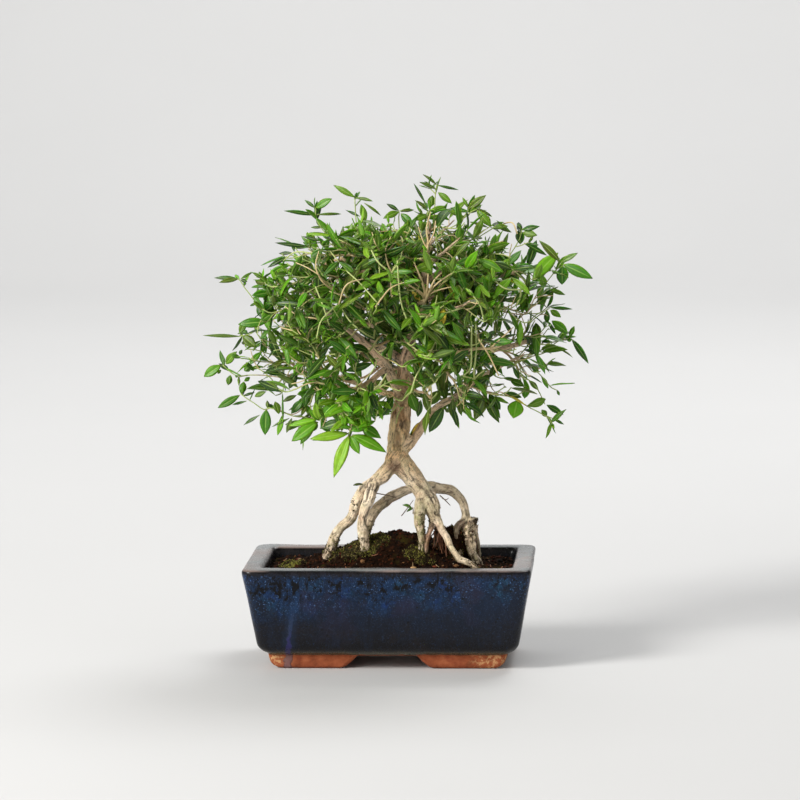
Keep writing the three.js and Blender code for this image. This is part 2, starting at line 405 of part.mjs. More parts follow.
      [[-13.7, -28.9, 199.3, 0.57], [-24.9, -27.1, 191.3, 0.57], [-33.8, -34, 188.8, 0.42], [-46.5, -34, 175.8, 0.42]],
      [[-24.9, -27.1, 191.3, 0.57], [-36.3, -23.4, 186.8, 0.42], [-41.9, -24, 188.2, 0.42]],
    ],
    tips: [-1, 428],
    leaves: [[-46.5, -34, 175.8, -66.2, -38, 161.3, 8.3], [-46.5, -34, 175.8, -68.9, -34, 171.6, 4.7], [-46.5, -34, 175.8, -49.5, -38, 189.3, 6.3], [-45.4, -34, 176.9, -35.2, -39, 188.5, 7.2], [-46.5, -34, 175.8, -39.7, -31, 166.9, 5.4], [-46.5, -34, 175.8, -54.2, -37, 184.7, 3.6]],
  },
  spray_middle_front_left: {
    twigs: [
      [[7, -20.8, 231.7, 0.92], [-6.1, -26.1, 227.2, 0.92], [-47.4, -30.6, 215.8, 0.77], [-59.2, -36.2, 216.2, 0.57], [-79.3, -37.5, 230.6, 0.42]],
      [[-47.4, -30.6, 215.8, 0.77], [-52.1, -32.1, 216.9, 0.57], [-57.8, -22, 215.3, 0.42], [-57.7, -22, 204.5, 0.42]],
      [[-6.1, -26.1, 227.2, 0.92], [-10.5, -28.8, 228.9, 0.42]],
    ],
    tips: [413, -1, 104],
    leaves: [[-57.7, -22, 204.5, -57.2, -25, 183.2, 6], [-57.8, -22, 209, -69, -20, 196.2, 5.4], [-57.8, -22, 215.3, -64.8, -25, 205.8, 6.3], [-57.8, -22, 215.3, -75.1, -27, 227.6, 6.3], [-57.6, -22.4, 215.3, -51, -19, 206.8, 4.5]],
  },
  spray_lower_front_left_1: {
    twigs: [
      [[-18.9, -35.1, 191.1, 0.42], [-23.6, -38, 192.9, 0.42], [-23.4, -38, 177.6, 0.42]],
    ],
    tips: [-1],
    leaves: [[-23.4, -38, 177.6, -11.8, -42, 184.4, 7.2], [-23.4, -38, 177.6, -3.2, -41, 163.8, 7.4], [-23.4, -38, 177.6, -32.3, -42, 184.4, 6.3], [-23.4, -38, 177.6, -37.5, -34, 179.8, 5.4], [-23.4, -38, 180.1, 4.4, -32, 181.8, 5.6], [-23.4, -38, 177.6, -17.3, -40, 188.6, 4.5]],
  },
  spray_lower_front_left_2: {
    twigs: [
      [[-17.1, -41.9, 200.2, 1.7], [-20.2, -53.2, 200.3, 1.48], [-32.7, -57.2, 202.4, 1.19], [-41.6, -58.2, 210.8, 0.85], [-45, -54.4, 222.6, 0.77], [-50.1, -60.7, 233, 0.57], [-65.7, -62.9, 247.5, 0.42]],
      [[-20.2, -53.2, 200.3, 1.48], [-22.1, -58.7, 200.8, 0.98], [-17.6, -69.4, 203.3, 0.85], [-9.2, -75.6, 200.9, 0.57], [-0.8, -82.5, 204.5, 0.42], [3.5, -90.2, 209.9, 0.42]],
      [[-18.6, -47.6, 200.1, 1.67], [-28.3, -46, 197.4, 0.42], [-32.9, -46, 184.9, 0.42]],
    ],
    tips: [404, 268, -1],
    leaves: [[-32.9, -46, 184.9, -45, -49, 192.5, 5.4], [-32.9, -46, 184.9, -43.2, -51, 180.2, 5.4], [-32.8, -46, 185.1, -22.8, -50, 186.3, 5.1], [-32.5, -46, 186, -25.7, -46, 194.7, 5.4], [-32.9, -46, 184.9, -32.1, -46, 174.2, 4.2]],
  },
  spray_lower_front: {
    twigs: [
      [[10.3, 2, 205.8, 1.14], [16, -2.6, 195.6, 1.09], [19.2, -7.5, 193.6, 0.98], [25.5, -17.4, 193.3, 0.98], [31.3, -41.3, 192.2, 0.92], [32, -52.7, 194.8, 0.57], [28.4, -63.6, 199.6, 0.57], [38.9, -80.1, 210, 0.42]],
      [[32.6, -46.8, 192.7, 0.92], [31.1, -65.6, 186.8, 0.42]],
      [[14, -0.8, 202.2, 1.14], [14.7, -14, 197.3, 0.42], [15.6, -14, 192.4, 0.42]],
    ],
    tips: [388, 305, -1],
    leaves: [[15.6, -14, 192.4, 20.2, -14, 179, 7.2], [23.3, -14, 193.4, 20.7, -11, 174.9, 4.6]],
  },
  spray_lower_front_right: {
    twigs: [
      [[12.6, 2.8, 217.5, 1.04], [29.7, -16.6, 222.1, 0.98], [46.5, -31.9, 204.5, 0.92], [72.8, -38.7, 194.8, 0.57], [84, -41.5, 195.7, 0.42], [87.8, -43.2, 199.7, 0.42]],
      [[46.5, -31.9, 204.5, 0.92], [51.1, -38.1, 193.8, 0.68], [53.4, -43.8, 192.4, 0.57], [57.2, -67.9, 200.3, 0.42]],
      [[21, -6.2, 221.8, 1.04], [17, -24.9, 213.4, 0.42], [16.7, -28.5, 215.8, 0.42]],
    ],
    tips: [209, 298, 234],
    leaves: [],
  },
  spray_lower_right_1: {
    twigs: [
      [[56.3, 2.6, 195.2, 0.77], [72, -1.4, 191.1, 0.57], [77, -4.8, 190.1, 0.57], [78.1, -9, 192.6, 0.42], [116.4, -9, 173.2, 0.42]],
      [[77, -4.8, 190.1, 0.57], [86.5, -11.5, 189.7, 0.42], [95.9, -14.1, 193.5, 0.42]],
      [[61.7, 1.9, 194.4, 0.77], [65, -3, 194.9, 0.42], [68.4, -3, 190.9, 0.42]],
    ],
    tips: [-1, 215, -1],
    leaves: [[90.7, -9, 186.2, 87.9, -12, 173.9, 10.7], [80.1, -9, 191.6, 93.9, -5, 188, 4.2], [106.8, -9, 178.1, 111.4, -6, 174.3, 4], [68.4, -3, 190.9, 60.1, -3, 171.2, 7.6], [74.1, -2.8, 190.7, 78.4, 0, 178.4, 3.6], [71.6, -1.3, 191.2, 73.7, -5, 187, 2.6], [81.3, -9, 191, 95.7, -6, 196.2, 5], [65, -3, 194.9, 62.2, -8, 194.5, 9]],
  },
  spray_lower_right_2: {
    twigs: [
      [[77.8, 10.7, 221.1, 0.92], [90.9, 5.1, 206.4, 0.68], [98.6, -2, 209.7, 0.42], [118.5, -2, 192.7, 0.42]],
      [[88.3, 7.6, 211.7, 0.92], [99.5, 2, 216, 0.42], [126.7, 2, 229, 0.42]],
      [[90.9, 5.1, 206.4, 0.68], [92.3, 2, 200.3, 0.57], [92.8, -6, 203.2, 0.42], [100.7, -6, 199.2, 0.42], [110, -6, 183.3, 0.42]],
    ],
    tips: [-1, -1, -1],
    leaves: [[107.2, -2, 202.3, 112.3, 1, 193.4, 3], [104.6, -2, 204.6, 100.7, -5, 210, 4], [126.7, 2, 229, 130.7, 5, 237.4, 3.4], [126.7, 2, 229, 140.7, -1, 211.2, 4.4], [125.2, 2, 228.3, 129, 2, 228.2, 2.6], [113.4, 2, 222.6, 117.7, 5, 220.3, 2.8], [110, -6, 183.3, 123, -6, 175.7, 4.4], [98.7, -6, 200.2, 105.5, -3, 192.9, 3.4], [98.7, -6, 200.2, 95.8, -9, 187.6, 5.4]],
  },
  spray_middle_right_3: {
    twigs: [
      [[95.1, 7.2, 225.6, 0.57], [99.8, 4.1, 223.7, 0.57], [102.6, 0, 228.3, 0.42], [112.6, 0, 242.1, 0.42]],
      [[99.8, 4.1, 223.7, 0.57], [108.6, 0.4, 219.1, 0.42]],
    ],
    tips: [-1, 80],
    leaves: [[112.6, 0, 242.1, 126.1, 0, 233, 6], [112.2, 0, 241.6, 117.5, 4, 231.6, 2.4], [108.6, 0, 236.6, 105.7, -3, 229.1, 5.6], [103.2, 0, 229, 99.3, 4, 217.7, 6.2], [103.8, 0, 230, 115.4, -4, 227.1, 2.4]],
  },
  spray_lower_right_3: {
    twigs: [
      [[47.2, 3.9, 187.4, 0.57], [53, -6.2, 193.2, 0.57], [43.5, -8, 195.6, 0.42], [45.4, -8, 187.6, 0.42]],
    ],
    tips: [-1],
    leaves: [[45.4, -8, 187.6, 28.4, -8, 163.6, 7.8], [43.7, -8, 194.8, 28.7, -11, 183.4, 7.2], [45.4, -8, 187.6, 48.7, -6, 166.9, 3.4], [45.4, -8, 187.6, 44.9, -5, 174.3, 4.6], [45.4, -8, 187.6, 51.6, -11, 175.5, 3], [52.5, -5.4, 192.8, 55.4, -8, 181.6, 2.6]],
  },
  spray_lower_back_left_1: {
    twigs: [
      [[-1.8, 22.7, 217.6, 1.19], [-2.7, 36.6, 211.2, 1.19], [-20, 49.2, 196.7, 1.04], [-32, 50.6, 193.4, 0.92], [-43.1, 53.3, 195.6, 0.85], [-51.6, 50.2, 207.3, 0.68], [-66, 51.6, 208.2, 0.42]],
      [[-2.7, 36.6, 211.2, 1.19], [0.6, 48.3, 204.7, 0.42], [13.7, 66.4, 193.4, 0.42], [16.9, 76.1, 195.1, 0.42]],
      [[-20, 49.2, 196.7, 1.04], [-25.3, 57.6, 196.3, 0.42]],
    ],
    tips: [279, 419, 273],
    leaves: [],
  },
  spray_lower_back_left_2: {
    twigs: [
      [[-8.1, 10.6, 190.8, 0.42], [-18.3, 10, 188.8, 0.42]],
    ],
    tips: [-1],
    leaves: [[-8.1, 10.6, 190.8, -25.6, 10, 187, 7.2], [-8.7, 10.5, 190.7, -32, 14, 204.8, 5.4]],
  },
  spray_lower_left_4: {
    twigs: [
      [[-58.7, 9.7, 203.6, 1.14], [-69.3, 10.8, 210.3, 1.14], [-86.8, 6.3, 224.3, 0.57], [-90.6, 5.2, 228.2, 0.57], [-91.1, 0, 237.3, 0.42], [-105.7, 0, 231.2, 0.42]],
      [[-69.3, 10.8, 210.3, 1.14], [-79, 18.7, 205.9, 0.57], [-77.6, 30.1, 198.3, 0.42], [-80, 33.5, 197.5, 0.42]],
      [[-69.3, 10.8, 210.3, 1.14], [-72.1, 6, 214, 0.42], [-102.3, 6, 221.5, 0.42]],
    ],
    tips: [-1, 202, -1],
    leaves: [[-105.5, 0, 231.3, -131.9, 0, 231.9, 2.5], [-103.6, 0, 232.1, -93.4, -4, 223.7, 7.2], [-104.9, 0, 231.6, -101.1, 3, 242.5, 4.7], [-105.7, 0, 231.2, -103, 4, 226.5, 2.7], [-102.3, 6, 221.5, -106.5, 6, 217.5, 2.4], [-89.9, 5.4, 227.5, -91.5, 9, 217.8, 2.5], [-91.2, 6, 218.7, -99.5, 3, 210.3, 4.2]],
  },
  spray_lower_front_left_3: {
    twigs: [
      [[-18.9, -35.1, 191.1, 0.42], [-24.8, -40, 191.3, 0.42], [-25.4, -40, 166.7, 0.42]],
    ],
    tips: [-1],
    leaves: [[-25.4, -40, 166.7, -36.4, -45, 136.6, 8], [-25.4, -40, 166.7, -18.3, -43, 153, 6.3], [-25.4, -40, 166.7, 0.5, -42, 153.9, 8], [-25.4, -40, 167.1, -53, -45, 163.9, 6.5], [-25.3, -40, 168, -51.8, -37, 161.8, 3.6], [-25.3, -40, 168.9, -11.5, -36, 175.6, 8.1]],
  },
};

// ---- the pot -----------------------------------------------------------------------------------------------------
// [height, inset from the widest outline]
const POT_OUTSIDE = [
  [FOOT_HEIGHT, 20.4], [11, 17.6], [13.4, 14], [17.5, 11.6], [29, 8.1], [38, 5.9], [50, 3.5], [62, 1.1],
  [69.5, 0], [71.9, 0.8], [POT_HEIGHT, 3],
];
const RX = POT_LENGTH / 2;
const RY = POT_WIDTH / 2;
const POT_INSIDE = [
  [FLOOR_TOP, 23], [20, 20.6], [40, 17], [66, RIM_BAR + 0.4], [71.4, RIM_BAR - 0.8], [POT_HEIGHT + 0.02, RIM_BAR - 2.8],
];
const outsideRing = ([z, inset]) => roundedRectangle(RX - inset, RY - inset, 9 - inset * 0.12, z);
const insideRing = (clear) => ([z, inset]) => roundedRectangle(RX - inset - clear, RY - inset - clear, 5 - clear, z);

function foot(sx, sy) {
  // top [x from, x to, y from, y to], tapering to the bottom
  const ring = (z, x0, x1, y0, y1, r) =>
    roundedRectangle((x1 - x0) / 2, (y1 - y0) / 2, r, z, 3, (sx * (x0 + x1)) / 2, (sy * (y0 + y1)) / 2);
  return loft([
    ring(0, 32.6, 75.4, 15.4, 33.2, 4),
    ring(1.4, 31.2, 76.9, 14.6, 34.6, 5),
    ring(5, 27.6, 79.6, 13.6, 36.6, 6),
    ring(FOOT_HEIGHT + 1.2, 22, 81, 12.4, 38.2, 6),
  ]);
}

function makePot() {
  let pot = loft(POT_OUTSIDE.map(outsideRing));
  pot = pot.subtract(loft(POT_INSIDE.map(insideRing(0))));
  for (const sx of [-1, 1]) for (const sy of [-1, 1]) pot = pot.add(foot(sx, sy));
  for (const sx of [-1, 1]) {
    const drill = new THREE.CylinderGeometry(DRAIN_DIAMETER / 2, DRAIN_DIAMETER / 2, 20, 12);
    const m = new THREE.Matrix4().makeRotationX(Math.PI / 2).setPosition(sx * DRAIN_X, 0, 14);
    pot = pot.subtract(solidOfGeometry(drill, m));
  }
  return pot;
}

// The solid between two height functions, over the cells of a grid for which filled(i, j) holds.
function plate(xs, ys, filled, bottom, top) {
  const nx = xs.length - 1;
  const ny = ys.length - 1;
  const cell = (i, j) => i >= 0 && j >= 0 && i < nx && j < ny && filled(i, j);
  const seen = [new Map(), new Map()];
  const p = [];
  const f = [];
  const rim = (i, j) => ![cell(i - 1, j - 1), cell(i, j - 1), cell(i - 1, j), cell(i, j)].every(Boolean);
  const vertex = (level, i, j) => {
    const key = i * 1000 + j;
    if (!seen[level].has(key)) {
      seen[level].set(key, p.length / 3);
      p.push(xs[i], ys[j], level ? top(xs[i], ys[j], rim(i, j)) : bottom(xs[i], ys[j]));
    }
    return seen[level].get(key);
  };
  const lo = (i, j) => vertex(0, i, j);
  const hi = (i, j) => vertex(1, i, j);
  const wall = (i0, j0, i1, j1) => f.push(lo(i0, j0), lo(i1, j1), hi(i1, j1), lo(i0, j0), hi(i1, j1), hi(i0, j0));
  for (let i = 0; i < nx; i++)
    for (let j = 0; j < ny; j++) {
      if (!cell(i, j)) continue;
      f.push(hi(i, j), hi(i + 1, j), hi(i + 1, j + 1), hi(i, j), hi(i + 1, j + 1), hi(i, j + 1));
      f.push(lo(i, j), lo(i + 1, j + 1), lo(i + 1, j), lo(i, j), lo(i, j + 1), lo(i + 1, j + 1));
      if (!cell(i, j - 1)) wall(i, j, i + 1, j);
      if (!cell(i + 1, j)) wall(i + 1, j, i + 1, j + 1);
      if (!cell(i, j + 1)) wall(i + 1, j + 1, i, j + 1);
      if (!cell(i - 1, j)) wall(i, j + 1, i, j);
    }
  return solid(p, f);
}

// A square of mesh lying over a drain hole: bars with square openings between them.
function makeScreen(sx) {
  const openings = 3;
  const bar = SCREEN_SIZE / (openings * 3 + 1);
  const lines = [-SCREEN_SIZE / 2];
  for (let i = 0; i < openings; i++) {
    lines.push(lines[lines.length - 1] + bar);
    lines.push(lines[lines.length - 1] + 2 * bar);
  }
  lines.push(SCREEN_SIZE / 2);
  const z = FLOOR_TOP + GAP;
  return plate(
    lines.map((x) => x + sx * DRAIN_X),
    lines,
    (i, j) => i % 2 === 0 || j % 2 === 0,
    () => z,
    () => z + SCREEN_THICKNESS,
  );
}

// ---- soil and moss -----------------------------------------------------------------------------------------------
function ripple(x, y) {
  return 0.9 * Math.sin(x * 0.21 + 1.3) * Math.cos(y * 0.27 - 0.6) + 0.6 * Math.sin(x * 0.47 + y * 0.33);
}
function soilHeight(x, y) {
  const dx = (x - 8) / (x < 8 ? 56 : 44);
  const dy = (y + 4) / 31;
  return SOIL_EDGE + SOIL_MOUND * Math.exp(-dx * dx - dy * dy) + ripple(x, y);
}

// The solid between two height functions, over the cells of the soil's grid for which inside(x, y) holds at their middle.
function between(bottom, top, inside) {
  const line = (count) => Array.from({ length: count + 1 }, (_, i) => (i - count / 2) * SOIL_GRID);
  const xs = line(24);
  const ys = line(14);
  return plate(xs, ys, (i, j) => inside((xs[i] + xs[i + 1]) / 2, (ys[j] + ys[j + 1]) / 2), bottom, top);
}

// [name, centre x, centre y, half length, half width, thickness]
const MOSS = [
  ["moss_left_roots", -22, -15, 22, 14, 3.2],
  ["moss_rim_left", -68, -12, 11, 9, 2.4],
  ["moss_middle", 22, -27, 12, 8, 2.6],
  ["moss_back", 38, 22, 15, 11, 2.8],
];

// ---- wood --------------------------------------------------------------------------------------------------------
const ROOT_SIDES = 6;
const LIMB_SIDES = 5;
function woodTubes(grow) {
  return Object.entries(WOOD).map(([name, points]) => {
    const sides = name === "trunk" ? 9 : name.startsWith("limb") || name.startsWith("ext") ? LIMB_SIDES : ROOT_SIDES;
    return tube(points, sides, grow, name.startsWith("limb") || name.startsWith("ext") ? 1.1 : 1.3);
  });
}

// ---- leaves ------------------------------------------------------------------------------------------------------
// A flat pointed leaf, thickest and widest before its middle.
function leaf(base, tip, width, normalHint, thickness = LEAF_THICKNESS) {
  const along = tip.clone().sub(base);
  const length = along.length();
  along.normalize();
  const side = along.clone().cross(normalHint);
  if (side.length() < 0.15) side.set(1, 0, 0).cross(along);
  side.normalize();
  const normal = side.clone().cross(along).normalize();
  const belly = base.clone().addScaledVector(along, length * 0.42);
  const start = base.clone().addScaledVector(along, -0.35);
  const half = Math.max(width, 2.4) / 2;
  const v = [
    start,
    belly.clone().addScaledVector(side, half),
    belly.clone().addScaledVector(normal, thickness / 2),
    belly.clone().addScaledVector(side, -half),
    belly.clone().addScaledVector(normal, -thickness / 2),
    tip,
  ];
  return solid(
    v.flatMap((q) => [q.x, q.y, q.z]),
    [0, 1, 2, 0, 2, 3, 0, 3, 4, 0, 4, 1, 5, 2, 1, 5, 3, 2, 5, 4, 3, 5, 1, 4],
  );
}

// Opposite pairs of leaves at a shoot's end. Each pair is turned a quarter from the one below it.
function shootLeaves(points, number, pairs) {
  const roll = dice(number);
  const n = points.length;
  const end = new THREE.Vector3(...points[n - 1].slice(0, 3));
  const before = new THREE.Vector3(...points[n - 2].slice(0, 3));
  const axis = end.clone().sub(before).normalize();
  let across = new THREE.Vector3(0, 0, 1).cross(axis);
  if (across.length() < 0.1) across = new THREE.Vector3(1, 0, 0).cross(axis);
  across.normalize();
  const third = axis.clone().cross(across).normalize();
  const turn = roll() * Math.PI;
  const out = [];
  let back = 0.6;
  for (let m = 0; m < pairs; m++) {
    const phi = turn + (m * Math.PI) / 2 + (roll() - 0.5) * 0.5;
    const open = 0.62 + 0.26 * m + (roll() - 0.5) * 0.3;
    const base = end.clone().addScaledVector(axis, -back);
    for (const s of [1, -1]) {
      const length = 14.5 + 7.5 * roll();
      const width = length * (0.26 + 0.07 * roll());
      const dir = axis
        .clone()
        .multiplyScalar(Math.cos(open))
        .addScaledVector(across, s * Math.sin(open) * Math.cos(phi))
        .addScaledVector(third, s * Math.sin(open) * Math.sin(phi));
      dir.z += 0.1 - 0.28 * roll();
      dir.normalize();
      out.push([base, base.clone().addScaledVector(dir, length), width, axis]);
    }
    back += 3.2 + 2.6 * roll();
  }
  return out;
}

// ---- the assembly ------------------------------------------------------------------------------------------------
const group = new THREE.Group();
group.name = "serissa_bonsai";
const material = {
  glaze: [0x16233f, 0.22, 0],
  bark: [0xa68b66, 0.85, 0],
  soil: [0x2c1a10, 0.97, 0],
  moss: [0x5b6424, 0.95, 0],
  screen: [0x1c1e1c, 0.6, 0],
  foliage: [0x3f7320, 0.45, 0],
};
function place(name, s, finish) {
  const [color, roughness, metalness] = material[finish];
  const mesh = new THREE.Mesh(geometryOfSolid(s), new THREE.MeshStandardMaterial({ color, roughness, metalness, flatShading: true }));
  mesh.name = name;
  group.add(mesh);
  return mesh;
}

const pot = makePot();
place("pot", pot, "glaze");
place("drain_screen_left", makeScreen(-1), "screen");
place("drain_screen_right", makeScreen(1), "screen");

const wood = joinAll(woodTubes(0));
place("trunk_with_roots", wood, "bark");
const woodClearance = joinAll(woodTubes(GAP + 0.15));

// The soil fills the pot up to its mounded top. It stops short of the pot, the screens and the roots.
const screenRoom = [-1, 1].map((sx) =>
  solidOfGeometry(
    new THREE.BoxGeometry(SCREEN_SIZE + 2 * GAP, SCREEN_SIZE + 2 * GAP, 2 * (SCREEN_THICKNESS + 2 * GAP)),
    new THREE.Matrix4().makeTranslation(sx * DRAIN_X, 0, FLOOR_TOP),
  ),
);
const cavity = loft(
  POT_INSIDE.map(([z, inset], i) => [i === 0 ? z + GAP : i === POT_INSIDE.length - 1 ? 120 : z, inset]).map(insideRing(GAP)),
);
let soil = between(() => 12, (x, y) => soilHeight(x, y), () => true).intersect(cavity);
soil = soil.subtract(woodClearance);
for (const room of screenRoom) soil = soil.subtract(room);
place("soil", largest(soil), "soil");

for (const [name, cx, cy, rx, ry, thick] of MOSS) {
  const inside = (x, y) => ((x - cx) / rx) ** 2 + ((y - cy) / ry) ** 2 < 1;
  const top = (x, y, edge) => {
    const q = 1 - ((x - cx) / rx) ** 2 - ((y - cy) / ry) ** 2;
    return soilHeight(x, y) + GAP + (edge ? 0.9 : 0.9 + thick * Math.max(0, q));
  };
  const patch = between((x, y) => soilHeight(x, y) + GAP, top, inside).intersect(cavity).subtract(woodClearance);
  place(name, largest(patch), "moss");
}

// Sprays: twigs with their leaves, each spray one piece that grows from a limb. A leaf that would cross another spray is left off.
let taken = null;
const reach = ([, spray]) => Math.max(...spray.leaves.map((l) => Math.abs(l[3])), 0);
const outerFirst = Object.entries(SPRAYS).sort((a, b) => reach(b) - reach(a));
for (const [name, spray] of outerFirst) {
  const twigs = joinAll(spray.twigs.map((points) => tube(points, 3, 0, MIN_TWIG_RADIUS)));
  let body = twigs.subtract(woodClearance);
  if (taken) body = body.subtract(taken);
  body = largest(body);
  const leaves = [];
  spray.tips.forEach((number, i) => {
    if (number >= 0) for (const l of shootLeaves(spray.twigs[i], number, 2)) leaves.push(l);
  });
  const facing = new THREE.Vector3(0.15, -1, 0.35).normalize();
  for (const [bx, by, bz, tx, ty, tz, w] of spray.leaves)
    leaves.push([new THREE.Vector3(bx, by, bz), new THREE.Vector3(tx, ty, tz), w, facing]);
  const kept = [];
  for (const [base, tip, width, hint] of leaves) {
    const blade = leaf(base, tip, width, hint);
    if (blade.intersect(woodClearance).volume() > 0) continue;
    if (taken && blade.intersect(taken).volume() > 0) continue;
    kept.push(blade);
  }
  const whole = largest(joinAll([body, ...kept]));
  place(name, whole, "foliage");
  // room that the next sprays keep clear of
  const fat = joinAll([
    ...spray.twigs.map((points) => tube(points, 3, GAP + 0.3, MIN_TWIG_RADIUS)),
    ...leaves.map(([base, tip, width, hint]) => leaf(base, tip, width + 1.2, hint, LEAF_THICKNESS + 1)),
  ]);
  taken = taken ? taken.add(fat) : fat;
}

// The origin is under the middle of the whole object's box, on the surface that it stands on.
const box = new THREE.Box3().setFromObject(group);
group.position.set(-Math.round((box.min.x + box.max.x) * 5) / 10, -Math.round((box.min.y + box.max.y) * 5) / 10, 0);

export default group;
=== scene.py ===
"""Serissa bonsai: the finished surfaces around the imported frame.

Everything is made in millimetres from the middle of the pot's foot plane and
written in metres in the frame's own place. The tree's centrelines are in the
tables below; bark, leaves, glaze, soil and moss are made from them in code.
"""
import json
import math
import bpy
import numpy as np
from mathutils import Matrix, Vector, kdtree

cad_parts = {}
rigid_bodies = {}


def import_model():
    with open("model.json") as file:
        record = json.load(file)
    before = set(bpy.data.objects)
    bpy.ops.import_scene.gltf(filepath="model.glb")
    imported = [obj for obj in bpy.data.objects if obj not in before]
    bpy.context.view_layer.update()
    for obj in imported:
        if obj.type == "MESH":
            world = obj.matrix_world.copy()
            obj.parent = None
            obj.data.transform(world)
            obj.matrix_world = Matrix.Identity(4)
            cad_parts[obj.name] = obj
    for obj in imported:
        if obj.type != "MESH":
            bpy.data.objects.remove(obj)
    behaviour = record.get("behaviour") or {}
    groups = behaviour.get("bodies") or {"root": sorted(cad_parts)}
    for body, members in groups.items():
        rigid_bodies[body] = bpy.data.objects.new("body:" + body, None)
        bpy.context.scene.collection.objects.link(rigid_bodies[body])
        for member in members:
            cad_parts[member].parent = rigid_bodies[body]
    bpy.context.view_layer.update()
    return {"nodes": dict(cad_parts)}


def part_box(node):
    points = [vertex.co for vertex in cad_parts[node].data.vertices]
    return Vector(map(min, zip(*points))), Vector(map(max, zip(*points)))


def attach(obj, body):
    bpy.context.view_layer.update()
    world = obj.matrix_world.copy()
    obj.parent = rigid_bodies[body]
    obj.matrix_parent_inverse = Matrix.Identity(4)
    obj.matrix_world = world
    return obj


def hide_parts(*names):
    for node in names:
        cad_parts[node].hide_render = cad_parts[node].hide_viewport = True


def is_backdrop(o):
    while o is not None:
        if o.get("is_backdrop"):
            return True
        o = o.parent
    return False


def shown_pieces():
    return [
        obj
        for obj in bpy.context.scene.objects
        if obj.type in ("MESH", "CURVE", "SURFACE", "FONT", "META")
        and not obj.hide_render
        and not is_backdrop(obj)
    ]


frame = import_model()
_lo, _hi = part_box("pot")
# the pot's middle in the frame, in millimetres
PLACE = np.array([500.0 * (_lo[0] + _hi[0]), 500.0 * (_lo[1] + _hi[1]), 0.0])

